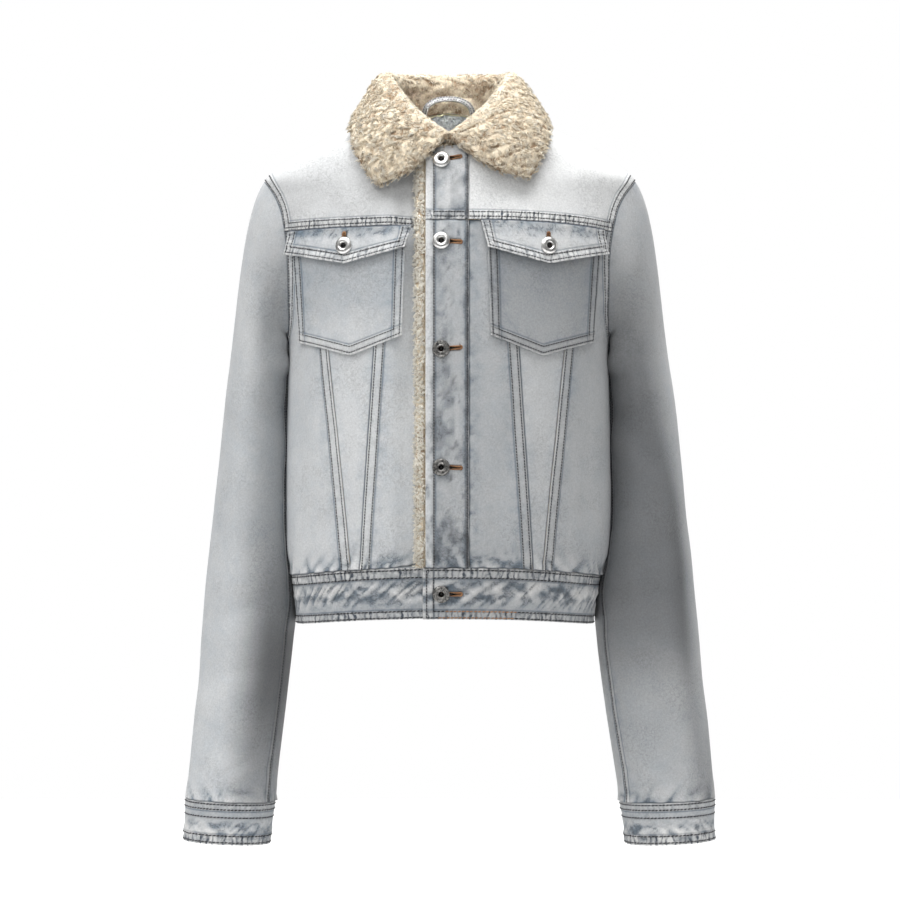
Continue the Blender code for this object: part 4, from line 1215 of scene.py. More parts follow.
class Value:
    """A number on a shader socket; sums on it add Math nodes."""

    def __init__(self, shader: Shader, socket: Socket) -> None:
        """Keeps the socket and the shader that it is part of."""
        self.shader, self.socket = shader, socket

    def math(self, operation: str, *others: Value | float) -> Value:
        """This value and the others put through one Math node."""
        return self.shader.math(operation, self, *others)

    def __add__(self, other: Value | float) -> Value:
        """The sum."""
        return self.math("ADD", other)

    def __mul__(self, other: Value | float) -> Value:
        """The product."""
        return self.math("MULTIPLY", other)

    def __sub__(self, other: Value | float) -> Value:
        """This less the other."""
        return self.math("SUBTRACT", other)

    def __rsub__(self, other: float) -> Value:
        """The other less this."""
        return self.shader.math("SUBTRACT", other, self)

    __radd__, __rmul__ = __add__, __mul__

    def most(self, other: Value | float) -> Value:
        """The larger of the two."""
        return self.math("MAXIMUM", other)

    def clamped(self) -> Value:
        """This, kept from 0 to 1."""
        return self.rise(0.0, 1.0, "LINEAR")

    def rise(self, low: float, high: float, how: str = "SMOOTHSTEP") -> Value:
        """0 up to low and 1 from high on; low may be the larger of the two.

        Args:
            low: Where it is 0.
            high: Where it is 1.
            how: The kind of step between them.

        Returns:
            The stepped value.
        """
        node = self.shader.node(
            "ShaderNodeMapRange",
            {"interpolation_type": how, "clamp": True},
            {"Value": self, "From Min": low, "From Max": high},
        )
        return Value(self.shader, node.outputs["Result"])


class Shader:
    """A material in the making, round one Principled shader."""

    def __init__(self, name: str) -> None:
        """Starts the material.

        Args:
            name: The material's name.
        """
        self.material = bpy.data.materials.new(name)
        self.material.use_nodes = True
        self.tree = self.material.node_tree
        self.surface = self.tree.nodes["Principled BSDF"]

    def link(self, value: object, socket: Socket) -> None:
        """Puts a link, or a plain number or colour, on a socket.

        Args:
            value: A value, a socket, a number or a colour.
            socket: The socket that takes it.
        """
        if isinstance(value, Value):
            value = value.socket
        if isinstance(value, Socket):
            self.tree.links.new(value, socket)
        else:
            socket.default_value = value

    def node(self, kind: str, settings: dict[str, object] | None = None,
             inputs: dict[str | int, object] | None = None) -> bpy.types.Node:
        """Adds a node: its settings first, then the values or links of its sockets.

        Args:
            kind: The node's type.
            settings: Its properties, by name.
            inputs: What its sockets take, by name or number.

        Returns:
            The node.
        """
        node = self.tree.nodes.new(kind)
        for name, value in (settings or {}).items():
            setattr(node, name, value)
        for name, value in (inputs or {}).items():
            self.link(value, node.inputs[name])
        return node

    def math(self, operation: str, *values: Value | float) -> Value:
        """The values put through one Math node."""
        node = self.node("ShaderNodeMath", {"operation": operation}, dict(enumerate(values)))
        return Value(self, node.outputs[0])

    def mix(self, under: object, over: object, share: Value | float, how: str = "MIX") -> Socket:
        """One colour blended over another.

        Args:
            under: The colour below.
            over: The colour on top.
            share: How much of the upper one there is.
            how: The way they blend.

        Returns:
            The blended colour.
        """
        node = self.node("ShaderNodeMix", {"data_type": "RGBA", "blend_type": how},
                         {0: share, 6: under, 7: over})
        return node.outputs[2]

    def noise(self, where: object, scale: float, detail: float = 2.0, roughness: float = 0.5,
              bent: float = 0.0) -> Value:
        """Noise from 0 to 1 over these coordinates.

        Args:
            where: The coordinates.
            scale: Lumps in a metre, about.
            detail: How many finer layers it has.
            roughness: How strong those are.
            bent: How far it is bent out of shape.

        Returns:
            The noise.
        """
        node = self.node("ShaderNodeTexNoise", {}, {
            "Vector": where, "Scale": scale, "Detail": detail,
            "Roughness": roughness, "Distortion": bent,
        })
        return Value(self, node.outputs[0])

    def place(self) -> Socket:
        """The place on the object, in metres."""
        return self.node("ShaderNodeTexCoord").outputs["Object"]

    def map(self, name: str) -> Socket:
        """One of the piece's own maps."""
        return self.node("ShaderNodeUVMap", {"uv_map": name}).outputs[0]

    def split(self, where: object) -> tuple[Value, Value, Value]:
        """The three numbers of a vector or a map."""
        node = self.node("ShaderNodeSeparateXYZ", {}, {0: where})
        return tuple(Value(self, socket) for socket in node.outputs)

    def join(self, x: object, y: object, z: object = 0.0) -> Socket:
        """A vector of three numbers."""
        return self.node("ShaderNodeCombineXYZ", {}, {0: x, 1: y, 2: z}).outputs[0]

    def tint(self, name: str) -> tuple[Value, Value, Value]:
        """The three numbers that each point carries under this name."""
        return self.split(self.node("ShaderNodeAttribute", {"attribute_name": name}).outputs["Vector"])

    def bump(self, height: Value, depth: float, strength: float = 1.0) -> Socket:
        """A normal from a height, whose unit is this depth in metres.

        Args:
            height: The height.
            depth: How deep a height of 1 is, in metres.
            strength: How much of it shows.

        Returns:
            The normal.
        """
        return self.node("ShaderNodeBump", {}, {
            "Strength": strength, "Distance": depth, "Height": height,
        }).outputs[0]

    def done(self, colour: object, roughness: object, normal: object | None = None,
             **constants: float) -> Material:
        """Connects the surface and gives back the material.

        Args:
            colour: The base colour.
            roughness: The roughness.
            normal: The normal, if it is bumped.
            constants: Other sockets' values, by name.

        Returns:
            The material.
        """
        self.link(colour, self.surface.inputs["Base Color"])
        self.link(roughness, self.surface.inputs["Roughness"])
        if normal is not None:
            self.link(normal, self.surface.inputs["Normal"])
        for name, value in constants.items():
            self.surface.inputs[name.replace("_", " ")].default_value = value
        return self.material


@dataclass(frozen=True)
class WashedDenim:
    """Stone-washed twill: clouds of white over blue, bunched and rubbed along its seams."""

    name: str = "washed_denim"
    pale: Colour = (0.60, 0.615, 0.625, 1)
    white: Colour = (0.84, 0.84, 0.83, 1)
    blue: Colour = (0.195, 0.265, 0.335, 1)
    slate: Colour = (0.055, 0.075, 0.105, 1)
    grey: Colour = (0.085, 0.088, 0.093, 1)
    blueness: float = 0.0

    def material(self) -> Material:
        """The finish. Blue shows where a sum of clouds, mottle and seam shade is high, white where
        the cloth stands up or is rubbed, and a fine grain and twill run over both.

        Returns:
            The material.
        """
        s = Shader(self.name)
        place = s.place()
        cloth = s.map("cloth")
        across, up, _ = s.split(cloth)
        off_row, off_side, _ = s.split(s.map("seams"))
        more_white, more_blue, darker = s.tint("wash")
        bunch_row, bunch_side, _ = s.tint("bunch")
        shade_row, shade_side, _ = s.tint("shade")

        clouds = s.noise(place, 15, 3, 0.55)
        mottle = s.noise(place, 75, 4, 0.62, 0.6)
        streaks = s.noise(s.join(across * 14.0, up * 1.3), 1.0, 3, 0.6)
        grain = s.noise(place, 620, 2, 0.6)
        twill = s.math("SINE", (across + up * 1.9) * (2 * math.pi / 0.115))
        # fine grooves, darkened along their dents: painted shade in them
        shaded_grooves = s.math("ABSOLUTE", s.noise(place, 210, 2, 0.5, 0.5) - 0.5).rise(0.07, 0.0)
        shaded_grooves = shaded_grooves * s.noise(place, 24, 2, 0.5).rise(0.45, 0.6)
        vein = s.noise(s.join(across * 1.5 + up * 0.9, up * 1.3 - across * 0.5), 1.0, 3, 0.55) - 0.5
        crinkle = s.math("ABSOLUTE", vein).rise(0.05, 0.0) * more_blue.rise(0.12, 0.6)

        white = more_white + (clouds - 0.5) * 0.5
        blue = more_blue + (mottle - 0.5) * 1.0 + (clouds - 0.5) * -0.6 + (streaks - 0.5) * 0.5
        painted_shade_lines, raised = None, None
        for off, along, bunched, shaded in ((off_row, across, bunch_row, shade_row),
                                            (off_side, up, bunch_side, shade_side)):
            band = off.rise(1.05, 0.90)
            uneven = s.noise(s.join(along * 0.9, off * 0.6), 1.0, 2, 0.5)
            wave = s.math("SINE", along * (2 * math.pi / 0.60) + uneven * 13.0)
            share = bunched.rise(0.15, 0.5, "LINEAR")
            cluster = s.noise(s.join(along * 0.55, off * 0.2, 3.0), 1.0, 2, 0.6).rise(0.38, 0.62)
            puff = (wave + 0.5).clamped() * share * (cluster * 0.7 + 0.3)
            broken = s.noise(s.join(along * 2.6, off * 2.2, 7.0), 1.0, 2, 0.6).rise(0.35, 0.58)
            line = wave.rise(-0.3, -0.85) * band * share * (cluster * 0.9 + 0.22) * (broken * 0.6 + 0.45)
            shade = s.noise(s.join(along * 0.9, off * 0.8), 1.0, 3, 0.6).rise(0.3, 0.75)
            shade = shade * off.rise(2.6, 1.0) * (1.0 - band)
            edge = off.rise(1.25, 1.06) * off.rise(0.98, 1.05)
            # the last term whitens the very edge: wear, and a painted highlight on the fold
            white = white + band * (puff * 0.4 + 0.1) + off.rise(0.14, 0.04) * 0.5
            blue = blue + shade * 0.6 + edge * 0.55 - band * 0.1
            height = band * 0.5 + puff * off.rise(1.8, 0.2) * 0.55
            line = line.most(edge * 0.4).most(off.rise(1.26, 1.08) * off.rise(1.0, 1.05) * shaded)
            painted_shade_lines = crinkle * 0.6 if painted_shade_lines is None else painted_shade_lines
            painted_shade_lines = painted_shade_lines.most(line)
            raised = height if raised is None else raised.most(height)
        colour = s.mix(self.pale, self.blue, (blue * 0.62 + (0.06 + self.blueness)).clamped())
        colour = s.mix(colour, self.white, white.clamped())
        # slate lines: painted shade in the pucker valleys and fine creases, just beyond the doubled bands
        # and beside edges that another piece folds over
        colour = s.mix(colour, self.slate, (painted_shade_lines * 0.95).clamped())
        # darker is mostly painted shade, with the wash's dark blotches; it goes towards grey
        colour = s.mix(colour, self.grey, darker.clamped())
        tone = (grain - 0.5) * 0.5 + (twill * 0.03 + 1.0) + (mottle - 0.5) * 0.2 - shaded_grooves * 0.14
        colour = s.mix(colour, s.join(tone, tone, tone), 1.0, "MULTIPLY")
        height = raised * 0.9 - painted_shade_lines * 0.5 + grain * 0.12 + twill * 0.03 + mottle * 0.3
        height = height - shaded_grooves * 0.12
        return s.done(colour, 0.88, s.bump(height, 0.0011, 0.9), Sheen_Weight=0.12, Sheen_Roughness=0.6)


@dataclass(frozen=True)
class SherpaFinish:
    """Cream pile: brown at the roots, a painted shade deep between the tufts, pale at the tips, each
    clump a little different.
    """

    name: str
    # dark brown: painted shade deep in the pile
    root: Colour = (0.30, 0.20, 0.115, 1)
    middle: Colour = (0.80, 0.695, 0.53, 1)
    tip: Colour = (0.95, 0.91, 0.81, 1)

    def material(self) -> Material:
        """The finish of the tufts, from the share of their length and their clump's tone.

        Returns:
            The material.
        """
        s = Shader(self.name)
        along, tone, brown = s.tint("tuft")
        patch = s.noise(s.place(), 45, 3, 0.6)
        x, y, z = s.split(s.place())
        hair = s.noise(s.join(x * 700, y * 700, z * 260), 1.0, 3, 0.65, 1.2)
        lit = along + (tone - 0.5) * 0.4 + (patch - 0.5) * 0.7 - brown + (hair - 0.5) * 0.9
        colour = s.mix(self.root, self.middle, lit.rise(-0.2, 0.3))
        colour = s.mix(colour, self.tip, lit.rise(0.3, 1.0))
        bump = s.bump(hair, 0.0009, 0.8)
        return s.done(colour, 0.85, bump, Sheen_Weight=0.08, Sheen_Roughness=0.5)


@dataclass(frozen=True)
class LiningFinish:
    """Short pile on the inside of the cloth, seen only through the openings."""

    name: str = "sherpa_lining"
    low: Colour = (0.34, 0.27, 0.18, 1)
    high: Colour = (0.74, 0.66, 0.52, 1)

    def material(self) -> Material:
        """The finish: lumps of pile a few millimetres across, darker in their hollows as painted shade.

        Returns:
            The material.
        """
        s = Shader(self.name)
        place = s.place()
        lumps = s.noise(place, 230, 3, 0.6, 0.8)
        patch = s.noise(place, 40, 2, 0.5)
        colour = s.mix(self.low, self.high, (lumps * 0.9 + patch * 0.4).rise(0.3, 0.95))
        return s.done(colour, 0.95, s.bump(lumps, 0.0025, 0.9))


@dataclass(frozen=True)
class Thread:
    """Sewing thread, two plies twisted."""

    name: str
    colour: Colour
    light: Colour

    def material(self) -> Material:
        """The finish, a little uneven along the thread.

        Returns:
            The material.
        """
        s = Shader(self.name)
        uneven = s.noise(s.place(), 900, 2)
        wear = s.noise(s.place(), 60, 2)
        colour = s.mix(self.colour, self.light, (uneven * 0.5 + wear * 0.8).rise(0.35, 0.95))
        return s.done(colour, 0.75, s.bump(uneven, 0.0004))


@dataclass(frozen=True)
class ButtonMetal:
    """Plated metal, its low parts darkened."""

    name: str
    bright: Colour
    dark: Colour
    roughness: float
    dirt: float = 0.25

    def material(self) -> Material:
        """The finish: dark patches and a rougher surface where it is dark.

        Returns:
            The material.
        """
        s = Shader(self.name)
        patches = s.noise(s.place(), 420, 3, 0.6)
        dark = patches.rise(0.75 - self.dirt, 0.95 - self.dirt * 0.5)
        colour = s.mix(self.bright, self.dark, dark)
        return s.done(colour, dark * 0.25 + self.roughness, s.bump(patches, 0.00015, 0.5), Metallic=1.0)


@dataclass(frozen=True)
class Plain:
    """A plain finish, for what is not part of the jacket or is hardly seen."""

    name: str
    colour: Colour
    roughness: float = 0.9

    def material(self) -> Material:
        """The finish, with a faint mottle.

        Returns:
            The material.
        """
        s = Shader(self.name)
        mottle = s.noise(s.place(), 3, 2)
        tone = mottle * 0.04 + 0.98
        colour = s.mix(self.colour, s.join(tone, tone, tone), 1.0, "MULTIPLY")
        return s.done(colour, self.roughness)


# --- Creases listed one by one ----------------------------------------------------------------


@dataclass(frozen=True)
class Creases:
    """Soft troughs with a ridge beside each, in a flat picture of one side of the cloth.

    The view gives two distances over that picture, and how much of the creases there is at each
    place. A row holds the x and z of a trough's start and end, its width and its depth.
    """

    view: Callable[[Grid, Grid], tuple[Grid, Grid, Grid]]
    rows: tuple[tuple[float, ...], ...]
    ridge: float = 0.6

    def __call__(self, points: Grid, places: Grid) -> Grid:
        """How far the cloth rises or sinks at these points and places."""
        across, up, share = self.view(points, places)
        return sum(self.level(row, across, up) for row in self.rows) * share

    def level(self, row: tuple[float, ...], x: Grid, z: Grid) -> Grid:
        """How far the cloth sinks in one trough: a bell curve across the line, less a second one
        beside it, and both fade out towards the line's ends.

        Args:
            row: The trough's numbers.
            x: Distances across the picture.
            z: Distances up it.

        Returns:
            A level for each place.
        """
        start, end, width, depth = np.array(row[:2], float), np.array(row[2:4], float), *row[4:]
        along = end - start
        length = float(np.linalg.norm(along))
        along = along / length
        dx, dz = x - start[0], z - start[1]
        t = (dx * along[0] + dz * along[1]) / length
        off = (dx * -along[1] + dz * along[0]) / width
        fade = eased(-0.25, 0.25, t) * (1 - eased(0.75, 1.25, t))
        trough = np.exp(-(off**2)) - self.ridge * np.exp(-(((off - 1.7) / 1.1) ** 2))
        return -depth * trough * fade


def seen_from_front(points: Grid, _: Grid) -> tuple[Grid, Grid, Grid]:
    """The front of the body, whose creases fade before the side seams."""
    return points[..., 0], points[..., 2], 1 - eased(-45, -8, points[..., 1])


def seen_from_back(points: Grid, _: Grid) -> tuple[Grid, Grid, Grid]:
    """The back of the body, whose creases fade before the side seams."""
    return points[..., 0], points[..., 2], eased(8, 45, points[..., 1])


def round_the_arm(points: Grid, places: Grid) -> tuple[Grid, Grid, Grid]:
    """The sleeve laid flat, 0 on its outer side, and still at the armhole and the cuff.

    Args:
        points: Points of the cloth.
        places: Their places on the form.

    Returns:
        Distances across and up the picture, and the share of the creases.
    """
    turn = (places[..., 0] + 180) % 360 - 180
    along = places[..., 1]
    share = eased(0.12, 0.6, along) * (1 - eased(1.93, 1.99, along))
    return turn * 0.9, points[..., 2], share


FRONT_CREASES = Creases(seen_from_front, (
    (-118, -290, -96, -436, 13, 1.5), (-60, -330, -44, -440, 11, 1.1),
    (-148, -250, -140, -400, 10, 1.2), (62, -300, 44, -436, 12, 1.4),
    (100, -345, 108, -440, 10, 1.0), (140, -270, 134, -420, 11, 1.4),
    (-40, -90, -110, -60, 14, 1.2), (44, -88, 112, -58, 14, 1.2), (-136, -150, -128, -226, 9, 1.1),
    (136, -150, 130, -226, 9, 1.1), (-30, -240, -46, -300, 8, 0.8), (30, -232, 48, -296, 8, 0.8),
))
BACK_CREASES = Creases(seen_from_back, (
    (-120, -190, -66, -330, 15, 1.6), (120, -190, 70, -320, 15, 1.6),
    (-20, -300, -34, -436, 13, 1.3), (46, -330, 36, -438, 12, 1.2),
    (-104, -340, -92, -438, 11, 1.3), (112, -330, 104, -438, 11, 1.2),
    (-70, -40, -130, -110, 13, 1.1), (70, -40, 130, -110, 13, 1.1),
))
SLEEVE_CREASES = {
    Side.RIGHT: Creases(round_the_arm, (
        (60, -160, 120, -250, 12, 1.6), (20, -300, 130, -360, 13, 1.2),
        (130, -470, 30, -510, 11, 1.4), (120, -545, 40, -560, 10, 1.0),
        (30, -600, 110, -645, 11, 1.2), (-60, -420, -140, -470, 13, 1.6),
        (-50, -520, -140, -560, 12, 1.6), (-70, -250, -140, -330, 12, 1.5),
        (60, -664, 100, -640, 5, 0.8), (90, -668, 128, -650, 5, 0.8),
    )),
    Side.LEFT: Creases(round_the_arm, (
        (50, -150, 110, -230, 12, 1.6), (130, -300, 60, -350, 13, 1.6),
        (40, -420, 135, -455, 13, 1.3), (135, -500, 40, -530, 11, 1.5),
        (30, -590, 120, -615, 12, 1.1), (-60, -400, -140, -450, 13, 1.6),
        (-50, -500, -140, -545, 12, 1.6), (-70, -240, -140, -320, 12, 1.5),
        (60, -668, 96, -642, 5, 0.8), (96, -668, 130, -652, 5, 0.8),
    )),
}


# --- Pieces of the body -----------------------------------------------------------------------

SEAM = Finish()
CAUGHT = Finish(halo=True, shaded=0.75)
GATHERED = Finish(halo=True, pucker=1.3, reach=1.1, pitch=6.5, band=3.0, shaded=0.9)
FELLED = Finish(rows=(2.0, 9.0), raised=0.8, pucker=0.16, pitch=4.6)
ARMHOLE = Finish(rows=(1.6, 7.6), raised=0.6, pucker=0.25, pitch=5.0)


@dataclass(frozen=True)
class Looks:
    """The materials that the pieces share."""

    denim: Material
    inside: Material
    lining: Material
    pile: Material
    bright: Material
    antique: Material
    hollow: Material
    loop: Material
    facing: Material
    slate: Material
    rust: Material
    cream: Material

    @classmethod
    def mixed(cls) -> Looks:
        """Makes every finish of the jacket.

        Returns:
            The materials.
        """
        return cls(
            denim=WashedDenim().material(),
            inside=Plain("inside", (0.42, 0.45, 0.48, 1)).material(),
            lining=LiningFinish().material(),
            pile=SherpaFinish("sherpa_tufts").material(),
            bright=ButtonMetal("bright_metal", (0.88, 0.87, 0.85, 1), (0.30, 0.29, 0.28, 1),
                               roughness=0.36).material(),
            antique=ButtonMetal("antique_metal", (0.42, 0.41, 0.39, 1), (0.05, 0.05, 0.05, 1),
                                roughness=0.34, dirt=0.45).material(),
            # near black: painted shade deep in the buttons' pits
            hollow=Plain("hollow", (0.004, 0.004, 0.004, 1), 0.4).material(),
            loop=WashedDenim("loop_denim", pale=(0.30, 0.33, 0.36, 1), white=(0.5, 0.5, 0.5, 1),
                             blueness=0.3).material(),
            # a paler copy of the denim: painted light for the facing, which lies in the neck's shade
            facing=WashedDenim("facing_denim", pale=(0.88, 0.91, 0.93, 1),
                               blue=(0.26, 0.38, 0.50, 1), white=(0.93, 0.93, 0.93, 1),
                               blueness=0.1).material(),
            slate=Thread("slate_thread", (0.012, 0.014, 0.019, 1), (0.05, 0.05, 0.053, 1)).material(),
            rust=Thread("rust_thread", (0.24, 0.11, 0.05, 1), (0.48, 0.27, 0.14, 1)).material(),
            cream=Thread("cream_piping", (0.55, 0.50, 0.32, 1), (0.78, 0.74, 0.55, 1)).material(),
        )


def drifts(across: Grid, along: Grid, pitch: tuple[float, float], seed: int) -> Grid:
    """A wash of uneven dark blue patches with paler ones between them.

    Args:
        across: Distances one way over the cloth.
        along: Distances the other way.
        pitch: The size of a patch each way.
        seed: Picks the patches.

    Returns:
        How much whiter, bluer and darker the cloth is at each point.
    """
    fine = ripples(across, along, (pitch[0] * 0.35, pitch[1] * 0.5), seed + 1)
    patch = ripples(across, along, pitch, seed) + 0.6 * fine
    low, high = np.clip(patch, 0, 1), np.clip(-patch, 0, 1)
    return np.stack([0.7 * high - 0.2 * low, 1.2 * low, 0.30 * low], axis=-1)


def spread(first: Grid, last: Grid, count: int) -> Grid:
    """A grid whose rows run evenly from the first column's values to the last's."""
    return first[:, None] + (last - first)[:, None] * np.linspace(0, 1, count)


def placed(angle: Grid, z: Grid) -> Grid:
    """Angles and heights side by side, as places on the form."""
    return np.stack(np.broadcast_arrays(angle, z), axis=-1).astype(float)


def filled(bottom: Grid, top: Grid, first: Grid, last: Grid) -> Grid:
    """A patch between four edges, each a list of places: the rows blend them (a Coons patch).

    Args:
        bottom: Places along the lower edge.
        top: Places along the upper edge.
        first: Places up the first column.
        last: Places up the last column.

    Returns:
        The grid of places.
    """
    along = np.linspace(0, 1, len(bottom))[None, :, None]
    up = np.linspace(0, 1, len(first))[:, None, None]
    corners = (
        (1 - along) * (1 - up) * bottom[0]
        + along * (1 - up) * bottom[-1]
        + (1 - along) * up * top[0]
        + along * up * top[-1]
    )
    across = (1 - along) * first[:, None] + along * last[:, None]
    upward = (1 - up) * bottom[None] + up * top[None]
    return across + upward - corners


def edge_heights() -> tuple[Grid, Grid]:
    """Heights up the side seam, and the turns up the armhole from the armpit to the yoke seam."""
    lower = np.linspace(BODY.band_top_z, BODY.armpit_z, 49)[:-1]
    return lower, np.linspace(180, BODY.yoke_end, 43)


PAINTED_LIGHT_AND_SHADE = {  # painted light and shade: how much whiter one side's piece is washed than its wash says, as more lit, or, below 0, darker, as more shaded
    ("front_yoke", Side.LEFT): 0.16, ("front_yoke", Side.RIGHT): -0.20, ("flap", Side.LEFT): 0.30,
    ("flap", Side.RIGHT): -0.06, ("pocket", Side.LEFT): -0.34, ("pocket", Side.RIGHT): 0.10,
    ("front_centre", Side.RIGHT): 0.10, ("front_centre", Side.LEFT): -0.28,
    ("front_side", Side.LEFT): -0.34, ("front_dart", Side.LEFT): -0.20,
    ("front_side", Side.RIGHT): -0.06,
}


@dataclass(frozen=True)
class Front:
    """One side of the front: its panels, yoke, pocket and flap."""

    side: Side
    looks: Looks

    def named(self, piece: str) -> str:
        """A piece's name on this side."""
        return f"{piece}_{self.side.word}"

    def panel(self, piece: str, places: Grid, **more: object) -> Cloth:
        """A piece of cloth on the body's form, with the front's creases.

        Args:
            piece: Its name, without the side.
            places: Its grid of places.
            more: Other fields of the cloth, by name.

        Returns:
            The piece of cloth.
        """
        seed = sum(map(ord, piece)) + self.side.value
        white, blue, dark = more.pop("wash", (0.0, 0.0, 0.0))
        # painted light or shade of this side's piece
        tone = PAINTED_LIGHT_AND_SHADE.get((piece, self.side), 0.0)
        return Cloth(self.named(piece), BODY.surface, places, creases=FRONT_CREASES,
                     step=(2.7, 3.2), seed=seed,
                     wash=(white + max(0.0, tone), blue, dark + max(0.0, -tone)), **more)

    def side_panel(self) -> Cloth:
        """Between the outer dart seam and the side seam and armhole.

        Returns:
            The piece of cloth.
        """
        lower, turns = edge_heights()
        z = np.concatenate([lower, BODY.armhole_z(turns)])
        edge = np.concatenate([np.full(len(lower), self.side.value * math.pi / 2),
                               BODY.armhole_angle(self.side, turns)])
        seam_x = FRONT.x_of(self.side, FRONT.dart_x(z, "outer_x"))
        stretch = (BODY.yoke_z(self.side, seam_x[-1]) - BODY.band_top_z) / (z[-1] - BODY.band_top_z)
        seam_z = BODY.band_top_z + (z - BODY.band_top_z) * stretch
        seam = BODY.front_angle(FRONT.x_of(self.side, FRONT.dart_x(seam_z, "outer_x")), seam_z)
        angle, height = spread(seam, edge, 25), spread(seam_z, z, 25)
        x = BODY.points(angle[-1], height[-1])[:, 0]
        height[-1] = BODY.yoke_z(self.side, x)
        return self.panel("front_side", placed(angle, height), wash=(0.05, 0.0, 0.0),
                          finishes=edged(bottom=GATHERED, top=CAUGHT, first=FELLED, last=ARMHOLE),
                          round_seams=(Edge.BOTTOM, Edge.LAST))

    def dart_panel(self) -> Cloth:
        """The tapered panel between the two dart seams, which the panels beside it fold over.

        Returns:
            The piece of cloth.
        """
        up = np.linspace(0, 1, 90)[:, None]
        along = np.linspace(0, 1, 16)[None]

        def between(z: Grid) -> Grid:
            """The x at these shares of the way from the inner seam to the outer one."""
            return FRONT.x_of(self.side, FRONT.dart_x(z, "inner_x") * (1 - along)
                              + FRONT.dart_x(z, "outer_x") * along)

        top_z = BODY.yoke_z(self.side, between(FRONT.dart_top_z))
        z = BODY.band_top_z + (top_z - BODY.band_top_z) * up
        x = between(z)
        return self.panel("front_dart", placed(BODY.front_angle(x, z), z), wash=(0.12, -0.12, 0.0),
                          finishes=edged(bottom=GATHERED, top=CAUGHT, first=CAUGHT, last=CAUGHT),
                          round_seams=(Edge.BOTTOM,))

    def centre_panel(self) -> Cloth:
        """From the placket, or on the right from the button edge under it, to the inner dart seam.

        Returns:
            The piece of cloth.
        """
        left = self.side is Side.LEFT
        limit = FRONT.placket_seam_x if left else FRONT.underlap_x
        up = np.linspace(0, 1, 90)[:, None]
        along = np.linspace(0, 1, 40)[None]

        def between(z: Grid) -> Grid:
            """The x at these shares of the way from the edge to the inner dart seam."""
            return limit + (FRONT.x_of(self.side, FRONT.dart_x(z, "inner_x")) - limit) * along

        top_z = BODY.yoke_z(self.side, between(FRONT.dart_top_z))
        z = BODY.band_top_z + (top_z - BODY.band_top_z) * up
        x = between(z)
        near = Finish(halo=True, pucker=0.45, pitch=5.0, band=3.0) if left else SEAM
        return self.panel("front_centre", placed(BODY.front_angle(x, z), z), wash=(-0.05, 0.0, 0.0),
                          level=lambda points, _: 0.0 if left else FRONT.underlap(points[..., 0]),
                          finishes=edged(bottom=GATHERED, top=CAUGHT, first=near, last=FELLED),
                          round_seams=(Edge.BOTTOM,))

    def yoke(self) -> Cloth:
        """From the yoke seam up to the neck and the shoulder seam, its lower edge standing proud.

        Returns:
            The piece of cloth.
        """
        side, fine, neck_end_x = self.side, 6, 58
        turns = np.linspace(BODY.yoke_end, 0, 5 * fine + 1)
        end_x = abs(BODY.points(BODY.armhole_angle(side, BODY.yoke_end),
                                BODY.armhole_z(BODY.yoke_end))[0])
        low, high = FRONT.underlap_dip_x
        if side is Side.LEFT:
            near = np.linspace(FRONT.placket_seam_x, neck_end_x, 3 * fine + 1)
        else:
            near = np.concatenate([np.linspace(FRONT.underlap_x, high, 3 * fine + 1),
                                   np.linspace(high, low, 3 * fine + 1)[1:]])
        far = side.value * np.linspace(neck_end_x, end_x, 8 * fine + 1)[1:]
        bottom_x = np.concatenate([near, far])
        bottom_z = BODY.yoke_z(side, bottom_x)
        bottom = placed(BODY.front_angle(bottom_x, bottom_z), bottom_z)
        half = side.value * math.pi / 2
        neck = np.array([BODY.neck_angle(x) for x in near])
        neck = np.concatenate([neck, np.linspace(neck[-1], half, 3 * fine + 1)[1:]])
        ridge_z = np.linspace(BODY.neck_z(half), BODY.shoulder_tip_z, 5 * fine + 1)[1:]
        top = np.concatenate([placed(neck, BODY.neck_z(neck)), placed(half, ridge_z)])
        edge_z = np.linspace(bottom_z[0], BODY.neck_z(neck[0]), len(turns))
        first = placed(BODY.front_angle(near[0], edge_z), edge_z)
        last = placed(BODY.armhole_angle(side, turns), BODY.armhole_z(turns))

        def rise(points: Grid, places: Grid) -> Grid:
            """The proud lower edge, which lies flat again at the armhole and under the placket.

            Args:
                points: Points of the cloth.
                places: Their places on the form.

            Returns:
                A level for each point.
            """
            x, z = points[..., 0], places[..., 1]
            level = FRONT.yoke_rise * (1 - eased(0, 26, z - z[0]))
            level = level * eased(0, 24, BODY.armhole.at("x", z) - np.abs(x))
            if side is Side.RIGHT:
                level = level * (1 - eased(low, high, x)) + FRONT.underlap(x)
            return level

        lower = Finish(rows=(3.0, 7.6), raised=0.5, pucker=0.55, reach=0.5, pitch=5.5, band=9.5)
        return self.panel("front_yoke", filled(bottom, top, first, last), wash=(0.4, -0.3, 0.0),
                          level=rise, finishes=edged(bottom=lower, last=ARMHOLE),
                          round_seams=(Edge.LAST,))

    def pointed(self, inner_x: tuple[float, float], outer_x: tuple[float, float],
                corners: tuple[float, float], point: tuple[float, float],
                top_z: Callable[[Grid], Grid]) -> Grid:
        """Places of a piece with straight sides and a pointed lower edge, seen from the front.

        Args:
            inner_x: Distances of its inner side from the front's middle, at the top and bottom.
            outer_x: The same of its outer side.
            corners: Heights of the lower inner and outer corners.
            point: Distance and height of the point.
            top_z: Gives the height of its top at an x.

        Returns:
            The places.
        """
        along = np.linspace(0, 1, 61)
        up = np.linspace(0, 1, 50)[:, None]
        inner = inner_x[1] + (inner_x[0] - inner_x[1]) * up
        outer = outer_x[1] + (outer_x[0] - outer_x[1]) * up
        middle = (point[0] - inner_x[1]) / (outer_x[1] - inner_x[1])
        share = np.interp(along, (0, 0.5, 1), (0, middle, 1))
        x = FRONT.x_of(self.side, inner + (outer - inner) * share)
        bottom_z = np.interp(share, (0, middle, 1), (corners[0], point[1], corners[1]))
        z = bottom_z + (top_z(x[-1]) - bottom_z) * up
        return placed(BODY.front_angle(x, z), z)

